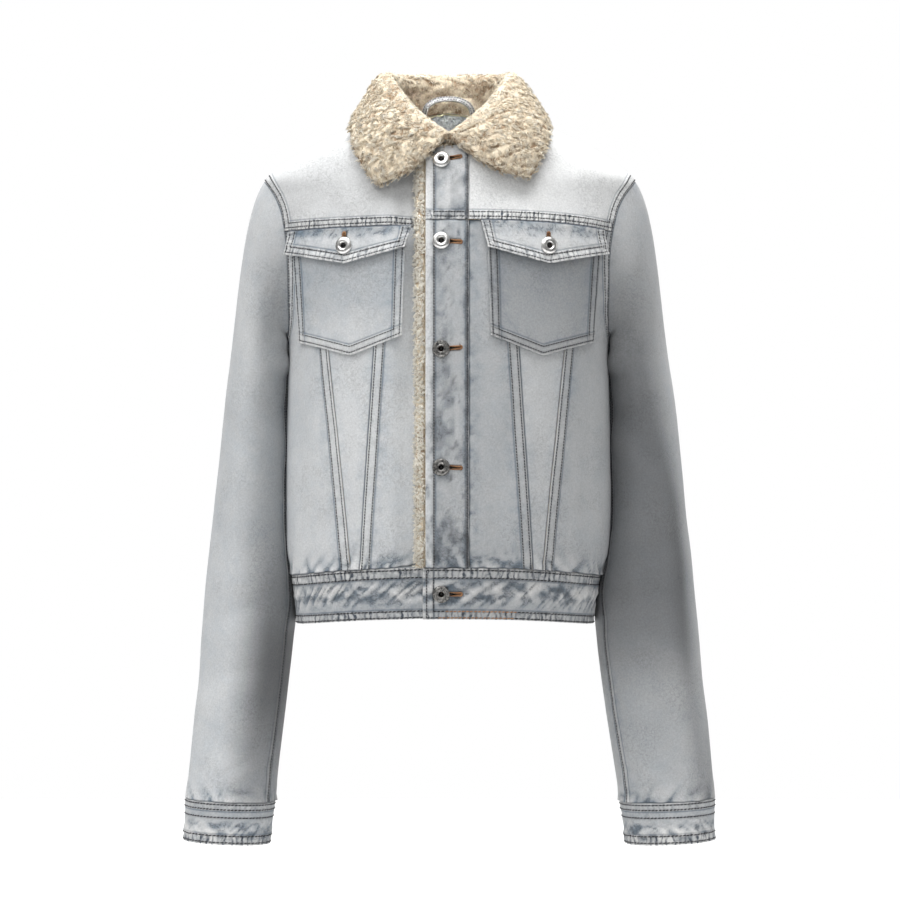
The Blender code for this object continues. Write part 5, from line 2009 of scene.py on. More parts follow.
    def pocket(self) -> Cloth:
        """The patch pocket.

        Returns:
            The piece of cloth.
        """
        places = self.pointed(inner_x=(39.5, 42.6), outer_x=(149.7, 142.3), corners=(-224.3, -229.7),
                              point=(92.5, -243.6), top_z=lambda x: np.full_like(x, FRONT.pocket_top_z))
        edge = Finish(rows=(2.6, 8.6), raised=0.45, pucker=0.18, pitch=4.6)
        return self.panel("pocket", places, wall=FRONT.pocket_wall, level=lambda *_: FRONT.pocket_level,
                          washed=self.under_flap, edge_radius=0.8,
                          finishes=edged(bottom=edge, first=edge, last=edge),
                          free_edges=tuple(Edge))

    def flap(self) -> Cloth:
        """The pocket flap, caught under the yoke's edge.

        Returns:
            The piece of cloth.
        """
        places = self.pointed(inner_x=(33.0, 39.5), outer_x=(152.5, 154.5), corners=(-139.7, -143.0),
                              point=(97.5, -154.8), top_z=lambda x: BODY.yoke_z(self.side, x))

        def level(points: Grid, _: Grid) -> Grid:
            """Lower where it goes in under the yoke, and lifted along its lower edge.

            Args:
                points: Points of the cloth.

            Returns:
                A level for each point.
            """
            share = np.linspace(0, 1, 200)
            up = run_length(points, 0)
            lifted = 1.7 * (1 - eased(0.0, 0.3, share))
            return np.interp(up / up[-1:], share, FRONT.flap_level - 2.2 * eased(0.35, 1, share) + lifted)

        edge = Finish(rows=(2.6, 8.0), raised=0.35, pucker=0.35, pitch=5.0)
        caught = Finish(halo=True, pucker=0.7, reach=1.0, pitch=6.0, band=3.0, shaded=1.25)
        return self.panel("flap", places, wall=FRONT.pocket_wall, level=level,
                          washed=self.under_yoke, edge_radius=0.8,
                          finishes=edged(bottom=edge, first=edge, last=edge, top=caught),
                          free_edges=(Edge.BOTTOM, Edge.FIRST, Edge.LAST))

    @staticmethod
    def under_flap(points: Grid, _: Grid) -> Grid:
        """Bluer near the flap and darker there, as painted shade under the flap; whiter towards the
        pocket's point.
        """
        low = 1 - eased(-240, -165, points[..., 2])
        return np.stack([-0.3 + 0.45 * low, 0.25 * (1 - low), 0.06 + 0.08 * (1 - low)], axis=-1)

    @staticmethod
    def under_yoke(points: Grid, _: Grid) -> Grid:
        """Blue shadow where the flap comes out from under the yoke, in uneven patches.

        Args:
            points: Points of the cloth.

        Returns:
            How much whiter, bluer and darker the cloth is at each point.
        """
        near = eased(-131, -122, points[..., 2])
        patches = 0.6 + 0.6 * ripples(points[..., 0], points[..., 2], (9.0, 6.0), 47)
        return np.stack([0.15 - 0.2 * near, 0.8 * near * patches, 0.12 * near], axis=-1)

    def build(self, sewing: Sewing) -> dict[str, Object]:
        """Makes and sews the pieces, and gives them back by name.

        Args:
            sewing: Takes up the rows of stitches.

        Returns:
            The pieces' objects, by name.
        """
        looks = self.looks
        within = {"front_centre": ("front_dart", "waistband"),
                  "front_side": ("front_dart", "back_panel"),
                  "front_dart": ("front_centre", "front_side"), "front_yoke": ("back_yoke",),
                  "pocket": ("front_dart",), "flap": ("front_yoke",)}
        made = {}
        for cloth in (self.side_panel(), self.dart_panel(), self.centre_panel(), self.yoke(),
                      self.pocket(), self.flap()):
            piece = cloth.name.rsplit("_", 1)[0]
            back = looks.inside if piece in ("pocket", "flap") else looks.lining
            rests = [name if name in ("waistband", "back_panel", "back_yoke") else self.named(name)
                     for name in within[piece]]
            made[cloth.name] = cloth.make((looks.denim, back), rests_on=rests)
            cloth.sew(sewing)
        return made


@dataclass(frozen=True)
class Placket:
    """The doubled buttonhole edge of the left front, above and below the yoke seam."""

    looks: Looks

    @staticmethod
    def rows(x: Grid, count: int = 60) -> tuple[Grid, Grid]:
        """Heights down the front edge, above the yoke seam and below it.

        Args:
            x: Distances towards the wearer's left.
            count: Heights in a column.

        Returns:
            The heights above the seam, and those below it.
        """
        seam = BODY.yoke_z(Side.LEFT, x)
        neck = BODY.neck_z(BODY.front_angle(x, BODY.neck_front_z)) - 1.5
        up = np.linspace(0, 1, count)[:, None]
        return seam + (neck - seam) * up, BODY.band_top_z + (seam - BODY.band_top_z) * up

    def build(self, sewing: Sewing) -> dict[str, Object]:
        """Makes and sews both lengths, and gives them back by name.

        Args:
            sewing: Takes up the rows of stitches.

        Returns:
            The pieces' objects, by name.
        """
        x = np.linspace(FRONT.placket_edge_x, FRONT.placket_seam_x, 24)[None]
        fold = Finish(rows=(8.2,), raised=0.25, band=9.5, pucker=0.08)
        seam = Finish(rows=(1.8,), raised=0.2, band=3.5, pucker=0.22, pitch=6.0)
        sewn_on = Finish(rows=(3.0, 7.6), raised=0.5, pucker=0.55, pitch=5.5, band=9.5)
        made = {}
        for name, z in zip(("placket_yoke", "placket_front"), self.rows(x)):
            angle = BODY.front_angle(np.broadcast_to(x, z.shape), z)
            upper = name == "placket_yoke"
            cloth = Cloth(name, BODY.surface, placed(angle, z), creases=FRONT_CREASES,
                          level=lambda *_: FRONT.placket_level, wall=BAND_WALL, step=(2.2, 3.0),
                          washed=self.washed, seed=31 if upper else 32,
                          finishes=edged(first=fold, last=seam,
                                         bottom=sewn_on if upper else GATHERED,
                                         top=SEAM if upper else CAUGHT))
            made[name] = cloth.make((self.looks.denim, self.looks.inside),
                                    rests_on=["front_centre_left"])
            cloth.sew(sewing)
        return made

    @staticmethod
    def washed(points: Grid, _: Grid) -> Grid:
        """Pale at the fold, blotched blue down the middle and dark blue at its wavy seam, more so
        below the yoke seam.

        Args:
            points: Points of the cloth.

        Returns:
            How much whiter, bluer and darker the cloth is at each point.
        """
        x, z = points[..., 0], points[..., 2]
        seam = np.exp(-(((x - FRONT.placket_seam_x + 2.2 + ripples(z, z, (8, 8), 12)) / 2.0) ** 2))
        low = 1 - eased(-150, -118, z)
        fold = 1 - eased(-19, -13, x)
        blotch = np.clip(ripples(x, z, (11, 15), 13) + 0.6 * ripples(x, z, (4, 6), 14), 0, 1)
        pale = np.clip(ripples(x, z, (8, 12), 16), 0, 1) * (1 - fold)
        speck = np.clip(ripples(x, z, (2.6, 3.4), 15) - 0.62, 0, 1)
        near_seam = np.exp(-(((z + 126) / 7) ** 2)) + np.exp(-(((z + 425) / 22) ** 2)) * 0.7
        shadow = near_seam * np.clip(0.3 + ripples(x, z, (5, 9), 17), 0, 1) * (1 - fold)
        return np.stack([0.3 * fold - 0.18 * low + 0.5 * pale,
                         0.8 * seam + 0.5 * blotch * (0.5 + 0.5 * low) + 0.9 * shadow,
                         0.25 * seam + (0.16 + 0.12 * low) * (1 - fold) + 0.3 * blotch
                         + 0.4 * shadow + 1.2 * speck * low], axis=-1)


@dataclass(frozen=True)
class Back:
    """The back panel, the back yoke and the facing inside the back neck."""

    looks: Looks
    neck_columns: int = 12
    ridge_columns: int = 5
    fine: int = 6
    facing_wall: float = 1.4
    facing_start: int = 3  # coarse rows up from the yoke seam
    facing_inset: int = 7  # coarse columns in from the yoke's sides

    def yoke_places(self) -> Grid:
        """From the yoke seam up to the shoulder seams and the neck, over both shoulder blades.

        Returns:
            The yoke's grid of places.
        """
        turns = np.linspace(BODY.yoke_end, 0, 5 * self.fine + 1)
        near, half = BODY.armhole_angle(Side.LEFT, 360 - turns), math.pi / 2
        count = (self.neck_columns + 2 * self.ridge_columns) * self.fine + 1
        bottom = placed(np.linspace(near[0], 2 * math.pi - near[0], count),
                        BODY.armhole_z(BODY.yoke_end))
        neck = np.linspace(half, 3 * half, self.neck_columns * self.fine + 1)
        ridge = np.linspace(BODY.shoulder_tip_z, BODY.neck_z(half),
                            self.ridge_columns * self.fine + 1)[:-1]
        top = np.concatenate([placed(half, ridge), placed(neck, BODY.neck_z(neck)),
                              placed(3 * half, ridge[::-1])])
        first = placed(near, BODY.armhole_z(turns))
        last = placed(2 * math.pi - near, BODY.armhole_z(turns))
        return filled(bottom, top, first, last)

    def build(self, sewing: Sewing) -> Cloth:
        """Makes and sews the pieces, and gives back the facing.

        Args:
            sewing: Takes up the rows of stitches.

        Returns:
            The facing's cloth.
        """
        lower, turns = edge_heights()
        z = np.concatenate([lower, BODY.armhole_z(turns)])
        edge = np.concatenate([np.full(len(lower), math.pi / 2),
                               BODY.armhole_angle(Side.LEFT, 360 - turns)])
        angle = spread(edge, 2 * math.pi - edge, 90)
        panel = Cloth("back_panel", BODY.surface, placed(angle, z[:, None]), creases=BACK_CREASES,
                      step=(4.4, 4.4), seed=41, wash=(0.1, 0.0, 0.0),
                      finishes=edged(bottom=GATHERED, top=CAUGHT, first=ARMHOLE, last=ARMHOLE),
                      round_seams=(Edge.BOTTOM, Edge.FIRST, Edge.LAST))
        patch = self.yoke_places()
        yoke = Cloth("back_yoke", BODY.surface, patch, creases=BACK_CREASES, step=(4.0, 4.0), seed=42,
                     wash=(0.28, -0.2, 0.0),
                     finishes=edged(
                         bottom=Finish(rows=(2.0, 8.0), raised=0.8, pucker=0.35, pitch=5.5),
                         first=ARMHOLE, last=ARMHOLE),
                     round_seams=(Edge.FIRST, Edge.LAST))
        for cloth, rests in ((panel, ["back_yoke"]), (yoke, ["back_panel"])):
            cloth.make((self.looks.denim, self.looks.lining), rests_on=rests)
            cloth.sew(sewing)
        across = slice(self.facing_inset * self.fine, -self.facing_inset * self.fine)
        # the facing's whiter wash is painted light too
        facing = Cloth("neck_facing", lambda a, h: inward(*BODY.surface(a, h)),
                       patch[self.facing_start * self.fine:, across][:, ::-1],
                       level=lambda *_: WALL + LAYER_GAP + self.facing_wall, wall=self.facing_wall,
                       step=(2.6, 2.6), seed=43, edge_radius=0.6, wash=(0.3, 0.5, 0.0),
                       finishes=edged(top=Finish(halo=True, pucker=0.6, band=3.0, reach=1.2)))
        facing.make((self.looks.facing, self.looks.facing), rests_on=["back_yoke"])
        return facing


def inward(points: Grid, outward: Grid) -> tuple[Grid, Grid]:
    """The same points, facing into the jacket."""
    return points, -outward


@dataclass(frozen=True)
class Waistband:
    """One strip all the way round, whose left end laps over its right end."""

    looks: Looks
    ends: tuple[float, float] = (-25.0, 16.0)
    lap_level: float = 0.9
    under_level: float = -2.5
    dip_x: tuple[float, float] = (-52.0, -30.0)
    rise_x: tuple[float, float] = (30.0, 60.0)
    mean_radius: float = 150.0

    def level(self, points: Grid, places: Grid) -> Grid:
        """Its left end lies over its right end.

        Args:
            points: Points of the cloth.
            places: Their places on the form.

        Returns:
            A level for each point.
        """
        x, angle = points[..., 0], places[..., 0]
        left = self.lap_level * (1 - eased(*self.rise_x, x)) * (angle < math.pi / 2)
        right = self.under_level * eased(*self.dip_x, x) * (angle > 1.5 * math.pi)
        return left + right

    def rumple(self, _: Grid, places: Grid) -> Grid:
        """Slanted rumples between its rows of stitches.

        Args:
            places: Places on the form.

        Returns:
            A level for each point.
        """
        along, z = places[..., 0] * self.mean_radius, places[..., 1]
        wave = puffs(along - z * 1.1, z, (7.5, 18.0), 77)
        wave = wave + 0.5 * puffs(along + z * 0.7, z, (8.0, 8.0), 78)
        return wave * 1.3 * np.exp(-(((z + 473) / 12) ** 4))

    @staticmethod
    def washed(points: Grid, _: Grid) -> Grid:
        """Dark blue drifts between its rows of stitches, and painted shade over the wearer's left front.

        Args:
            points: Points of the cloth.

        Returns:
            How much whiter, bluer and darker the cloth is at each point.
        """
        x, y, z = np.moveaxis(points, -1, 0)
        middle = np.exp(-(((z + 472) / 11) ** 4))
        wash = drifts(x + y * 0.7, z + 0.12 * np.abs(x), (17.0, 9.0), 57) * middle[..., None]
        # painted shade on the wearer's left front
        wash[..., 2] += 0.10 * eased(-20, 40, x) * (y < 0)
        return wash

    def build(self, sewing: Sewing) -> Object:
        """Makes and sews it.

        Args:
            sewing: Takes up the rows of stitches.

        Returns:
            The band's object.
        """
        z = np.linspace(BODY.hem_z, BODY.band_top_z, 20)[:, None]
        start = BODY.front_angle(self.ends[0], z)
        end = BODY.front_angle(self.ends[1], z) + 2 * math.pi
        angle = start + (end - start) * np.linspace(0, 1, 560)[None]
        top = Finish(rows=(2.0, 9.6), raised=0.55, pucker=0.5, reach=0.4, pitch=5.6, thick=1.28)
        hem = Finish(rows=(1.8, 8.0), raised=0.45, pucker=0.5, reach=0.4, pitch=5.6, band=9.4,
                     rusty=(0.012, 0.1), thick=1.28)
        end_finish = Finish(rows=(4.0, 10.6), raised=0.4, pucker=0.1)
        cloth = Cloth("waistband", BODY.surface, placed(angle, z), level=self.level, wall=BAND_WALL,
                      step=(1.8, 2.0), seed=51, wash=(0.05, 0.1, 0.25), rumple=self.rumple,
                      washed=self.washed,
                      finishes=edged(top=top, bottom=hem, first=end_finish),
                      round_seams=(Edge.TOP,))
        made = cloth.make((self.looks.denim, self.looks.inside),
                          rests_on=["front_side_left", "front_side_right", "back_panel"])
        cloth.sew(sewing)
        return made


# --- Sleeves ----------------------------------------------------------------------------------


@dataclass(frozen=True)
class SleeveForm:
    """A sleeve's form: a place is how many degrees round the arm, and a share of the way down it,
    0 to 1 down the head and 1 to 2 from there to the cuff."""

    side: Side
    rings: Table = Table(
        ("z", "outer_right", "inner_right", "outer_left", "inner_left",
         "y_middle", "half_depth", "tilt"),
        (
            (-742, 267.0, 180.0, 267.0, 179.0, -4.0, 35.5, 0.045),
            (-727, 265.0, 178.5, 265.8, 177.0, -3.0, 36.0, 0.045),
            (-685, 262.5, 173.5, 266.0, 171.5, 1.0, 38.0, 0.040),
            (-645, 258.5, 169.5, 263.0, 165.5, 5.0, 41.0, 0.032),
            (-585, 253.5, 162.5, 258.0, 156.5, 11.0, 46.0, 0.022),
            (-525, 248.5, 155.8, 252.0, 149.0, 15.5, 51.0, 0.012),
            (-495, 246.0, 152.8, 249.0, 146.8, 17.5, 53.5, 0.006),
            (-475, 244.5, 154.6, 247.0, 149.2, 18.5, 55.5, 0.0),
            (-440, 241.0, 159.4, 244.0, 157.2, 20.5, 58.5, 0.0),
            (-405, 237.5, 162.1, 240.0, 162.1, 22.0, 61.5, 0.0),
            (-345, 230.5, 162.0, 234.0, 162.0, 24.0, 66.0, 0.0),
            (-285, 224.5, 161.5, 227.5, 161.5, 25.0, 68.5, 0.0),
            (-250, 220.0, 161.3, 222.0, 161.3, 25.0, 69.0, 0.0),
        ),
    )
    folds: Table = Table(
        ("z", "angle", "reach_angle", "reach_z", "slant", "depth"),
        (
            (-300, 120, 50, 24, 0.25, 2.4),
            (-420, 60, 46, 26, -0.30, 2.0),
            (-500, 130, 44, 24, 0.30, 2.6),
            (-560, 40, 50, 26, 0.20, 2.2),
            (-640, 105, 48, 22, -0.25, 2.0),
            (-380, 255, 60, 28, 0.25, 2.6),
            (-520, 285, 55, 26, -0.20, 2.4),
        ),
    )
    squareness: float = 2.15
    top_z: float = -250.0
    cuff_top_z: float = -684.0
    cuff_end_z: float = -725.5
    front_seam: float = 150.0
    back_seam: float = 225.0
    touch_x: float = 160.4
    squash: float = 4.5
    squash_turn: float = 148.0
    # painted shade: how dark each sleeve is painted down its front towards the body, and the left one on
    # its outer side, at each height
    dark_front: Table = Table(
        ("z", "right", "left", "left_outer"),
        (
            (-700, 0.40, 0.16, 0.50), (-640, 0.60, 0.26, 0.45), (-576, 0.84, 0.36, 0.30),
            (-528, 0.84, 0.64, 0.25), (-480, 0.66, 0.74, 0.20), (-400, 0.34, 0.72, 0.15),
            (-306, 0.28, 0.76, 0.0), (-190, 0.34, 0.50, 0.0), (-130, 0.20, 0.20, 0.0),
            (-60, 0.0, 0.0, 0.0),
        ),
    )

    def ring(self, turn: Grid, z: Grid) -> Grid:
        """Points of the whole rings below the armpit.

        Args:
            turn: Degrees round the arm.
            z: Heights.

        Returns:
            The points.
        """
        outer = self.rings.at(f"outer_{self.side.word}", z)
        inner = self.rings.at(f"inner_{self.side.word}", z)
        turn = np.radians(turn)
        power = 2 / self.squareness
        across = signed_power(np.cos(turn), power) * (outer - inner) / 2
        x = self.side.value * ((outer + inner) / 2 + across)
        half_depth, tilt = self.rings.at("half_depth", z), self.rings.at("tilt", z)
        y = self.rings.at("y_middle", z) - half_depth * signed_power(np.sin(turn), power)
        return np.stack(np.broadcast_arrays(x, y, z + tilt * across), axis=-1)

    def armhole(self, turn: Grid) -> tuple[Grid, Grid]:
        """Points on the armhole's edge, and the body's outward direction there."""
        return BODY.surface(BODY.armhole_angle(self.side, turn), BODY.armhole_z(turn))

    def head(self, turn: Grid, share: Grid) -> Grid:
        """Points between the armhole's edge and the first whole ring, on a cubic that leaves the
        body along its surface and outward, and arrives along the arm.

        Args:
            turn: Degrees round the arm.
            share: How far down the head, from 0 to 1.

        Returns:
            The points.
        """
        start, normal = self.armhole(turn)
        end = self.ring(turn, np.full(np.shape(turn), self.top_z))
        below = self.ring(turn, np.full(np.shape(turn), self.top_z - 20))
        reach = np.linalg.norm(end - start, axis=-1, keepdims=True)
        edge = unit(self.armhole(turn + 1.0)[0] - self.armhole(turn - 1.0)[0])
        under = ((1 - np.cos(np.radians(turn))) / 2)[..., None]
        sign = self.side.value
        leave = (
            sign * np.cross(normal, edge) * (1 - under) * 0.5
            + np.array([sign, 0, 0]) * (0.5 + 0.5 * under)
            + np.array([0, 0, -0.62]) * (1 - under)
        )
        leave, arrive = unit(leave) * reach * 0.58, unit(below - end) * reach
        return cubic(share[..., None], start, leave, end, arrive)

    def points(self, turn: Grid, along: Grid) -> Grid:
        """Points of the sleeve at these places.

        Args:
            turn: Degrees round the arm.
            along: How far down the sleeve: 0 to 1 in its head, 1 to 2 below it.

        Returns:
            The points.
        """
        turn, along = np.broadcast_arrays(np.asarray(turn, float), np.asarray(along, float))
        z = self.top_z + (self.cuff_top_z - self.top_z) * (np.maximum(along, 1) - 1)
        head = self.head(turn, np.minimum(along, 1))
        return np.where((along < 1)[..., None], head, self.ring(turn, z))

    def surface(self, turn: Grid, along: Grid) -> tuple[Grid, Grid]:
        """Points of the sleeve and its outward direction, which is the body's at the armhole.

        Args:
            turn: Degrees round the arm.
            along: How far down the sleeve: 0 to 1 in its head, 1 to 2 below it.

        Returns:
            The points, and a unit vector for each.
        """
        step = 0.01
        round_it = self.points(turn + 1.0, along) - self.points(turn - 1.0, along)
        down_it = self.points(turn, along + step) - self.points(turn, along - step)
        own = unit(self.side.value * np.cross(round_it, down_it))
        share = 1 - eased(0.0, 0.09, along)[..., None]
        return self.points(turn, along), unit(own * (1 - share) + self.armhole(turn)[1] * share)

    def pressed(self, turn: Grid, along: Grid) -> tuple[Grid, Grid]:
        """The same surface, drawn in under the armpit until it lies on the body's side.

        Args:
            turn: Degrees round the arm.
            along: How far down the sleeve: 0 to 1 in its head, 1 to 2 below it.

        Returns:
            The points, and a unit vector for each.
        """
        points, outward = self.surface(turn, along)
        z, x = points[..., 2], points[..., 0] * self.side.value
        share = eased(100, 135, turn) * (1 - eased(195, 222, turn)) * eased(0.03, 0.2, along)
        share = share * eased(-264, -248, z) * (1 - eased(-226, -214, z))
        moved = points.copy()
        moved[..., 0] -= self.side.value * share * np.maximum(0, x - self.touch_x)
        return moved, outward

    def cuff_surface(self, turn: Grid, z: Grid) -> tuple[Grid, Grid]:
        """Points of the cuff and its outward direction.

        Args:
            turn: Degrees round the arm.
            z: Heights.

        Returns:
            The points, and a unit vector for each.
        """
        points = self.ring(turn, z)
        round_it = self.ring(turn + 1.0, z) - self.ring(turn - 1.0, z)
        return points, unit(-self.side.value * np.cross(round_it, np.array([0.0, 0.0, 1.0])))

    def fold_level(self, points: Grid, places: Grid) -> Grid:
        """How far the broad troughs across the arm sink into it, and how far it is squashed
        out where it lies against the body.

        Args:
            points: Points of the cloth.
            places: Their places on the form.

        Returns:
            A level for each point.
        """
        turn, along, z = places[..., 0], places[..., 1], points[..., 2]
        level = np.zeros(turn.shape)
        for row in self.folds.rows:
            fold = dict(zip(self.folds.names, row))
            round_it = (turn - fold["angle"] + 180) % 360 - 180
            off = z - fold["z"] - fold["slant"] * round_it
            level -= fold["depth"] * np.exp(-((round_it / fold["reach_angle"]) ** 2)
                                            - (off / fold["reach_z"]) ** 2)
        level = level * eased(1.0, 1.1, along) * (1 - eased(1.93, 2.0, along))
        squashed = np.exp(-(((turn - self.squash_turn) / 24) ** 2)) * eased(0.7, 1.0, along)
        return level + self.squash * squashed * eased(-520, -470, z)

    def build(self, looks: Looks, sewing: Sewing) -> None:
        """Makes and sews the upper sleeve, the under sleeve and the cuff.

        Args:
            looks: The finishes.
            sewing: Takes up the rows of stitches.
        """
        along = np.linspace(2, 0, 150)[:, None]
        wrist = Finish(halo=True, pucker=0.8, reach=1.2, pitch=8.0, band=3.0)
        long_seam = Finish(rows=(1.8,), raised=0.45, band=6.0, pucker=0.12)
        seams = {
            "sleeve_upper": (self.back_seam - 360, self.front_seam, long_seam, long_seam),
            "sleeve_under": (self.front_seam, self.back_seam, CAUGHT, CAUGHT),
        }
        for name, (start, end, first, last) in seams.items():
            turn = np.linspace(start, end, int((end - start) / 3) + 1)[None]
            cloth = Cloth(f"{name}_{self.side.word}", self.pressed, placed(turn, along),
                          level=self.fold_level, creases=SLEEVE_CREASES[self.side], step=(3.8, 4.0),
                          finishes=edged(bottom=wrist, top=CAUGHT, first=first, last=last),
                          round_seams=(Edge.BOTTOM, Edge.TOP), seed=61 + self.side.value,
                          washed=self.washed)
            cloth.make((looks.denim, looks.inside), held="hung",
                       rests_on=[f"front_yoke_{self.side.word}", "back_yoke"])
            cloth.sew(sewing)
        z = np.linspace(self.cuff_end_z, self.cuff_top_z, 16)[:, None]
        turn = np.linspace(0, 360, 180, endpoint=False)[None]
        cloth = Cloth(f"cuff_{self.side.word}", self.cuff_surface, placed(turn, z), tube=True,
                      wall=BAND_WALL, step=(2.0, 2.0), seed=71 + self.side.value,
                      rumple=self.cuff_rumple, wash=(0.0, 0.05, 0.2), washed=self.cuff_washed,
                      finishes=edged(
                          top=Finish(rows=(2.0, 7.0, 14.6), raised=0.35, pucker=0.24, reach=0.6,
                                     pitch=6.0, band=8.6, thick=1.2),
                          bottom=Finish(rows=(2.4, 9.0), raised=0.3, pucker=0.5, reach=0.4,
                                        pitch=5.6, thick=1.28)),
                      round_seams=(Edge.TOP,), free_edges=(Edge.BOTTOM,))
        cloth.make((looks.denim, looks.inside),
                   rests_on=[f"sleeve_upper_{self.side.word}", f"sleeve_under_{self.side.word}"])
        cloth.sew(sewing)

    def cuff_rumple(self, _: Grid, places: Grid) -> Grid:
        """Rumples along the middle of the cuff.

        Args:
            places: Places on the form.

        Returns:
            A level for each point.
        """
        turn, z = places[..., 0], places[..., 1]
        wave = puffs(turn * 0.8 - z * 0.9, z, (7.0, 14.0), 88 + self.side.value)
        fine = 0.5 * puffs(turn * 0.8 + z, z, (7.0, 8.0), 98 + self.side.value)
        ends = eased(0, 14, turn) * (1 - eased(346, 360, turn))
        return (wave + fine) * 0.7 * np.exp(-(((z + 711) / 9) ** 4)) * ends

    @staticmethod
    def cuff_washed(points: Grid, _: Grid) -> Grid:
        """Dark blue drifts along the middle of the cuff."""
        x, y, z = np.moveaxis(points, -1, 0)
        return drifts(x - y, z, (15.0, 7.0), 67) * np.exp(-(((z + 714) / 8) ** 4))[..., None] * 1.2

    def washed(self, points: Grid, relief: Grid) -> Grid:
        """Paler at the shoulder and the wrist, and greyer towards the body, more so in front: painted
        shade, which on the left sleeve also darkens the outer side towards the wrist.

        Args:
            points: Points of the cloth.
            relief: Their levels over the form.

        Returns:
            How much whiter, bluer and darker the cloth is at each point.
        """
        z, x = points[..., 2], points[..., 0] * self.side.value
        outer, inner = (self.rings.at(f"{edge}_{self.side.word}", z) for edge in ("outer", "inner"))
        inward = (outer - x) / (outer - inner)
        front = 0.4 + 0.6 * (1 - eased(0, 40, points[..., 1] - self.rings.at("y_middle", z)))
        if self.side is Side.RIGHT:
            reach = eased(0.30, 0.80, inward)
        else:
            reach = eased(0.0, 1.0, inward / (0.55 - 0.37 * eased(-240, -430, z)))
        # painted shade towards the body, and on the left sleeve's outer side below
        dark = self.dark_front.at(self.side.word, z) * reach
        if self.side is Side.LEFT:
            dark = dark + self.dark_front.at("left_outer", z) * (1 - eased(0.0, 0.35, inward))
        grey = np.exp(-(((z + 400) / 150) ** 2))
        return np.stack([0.10 - 0.25 * grey + relief * 0.05, 0.06 * grey - relief * 0.04,
                         0.08 + dark * front], axis=-1)


# --- Sherpa collar and strip ------------------------------------------------------------------


def wrapped(top: Grid, under: Grid, outward: Grid, last: bool, tuck: int) -> tuple[Grid, Grid]:
    """A grid of roots carried over its last or first column and a little way back underneath.

    Args:
        top: The upper grid.
        under: The grid beneath it.
        outward: The upper grid's outward directions.
        last: Whether to carry it over the last column, or the first.
        tuck: How many columns lie between the edge and where it ends underneath.

    Returns:
        The longer grid and its outward directions.
    """
    edge, inside, far = (-1, -2, -1 - tuck) if last else (0, 1, tuck)
    middle = (top[:, edge] + under[:, edge]) / 2
    away = unit(top[:, edge] - top[:, inside])
    normal = outward[:, edge]
    extra = np.stack([middle + away * 0.6, under[:, edge], under[:, far]], axis=1)
    extra_out = np.stack([away, unit(away - normal), -normal], axis=1)
    if last:
        return np.concatenate([top, extra], axis=1), np.concatenate([outward, extra_out], axis=1)
    return (np.concatenate([extra[:, ::-1], top], axis=1),
            np.concatenate([extra_out[:, ::-1], outward], axis=1))


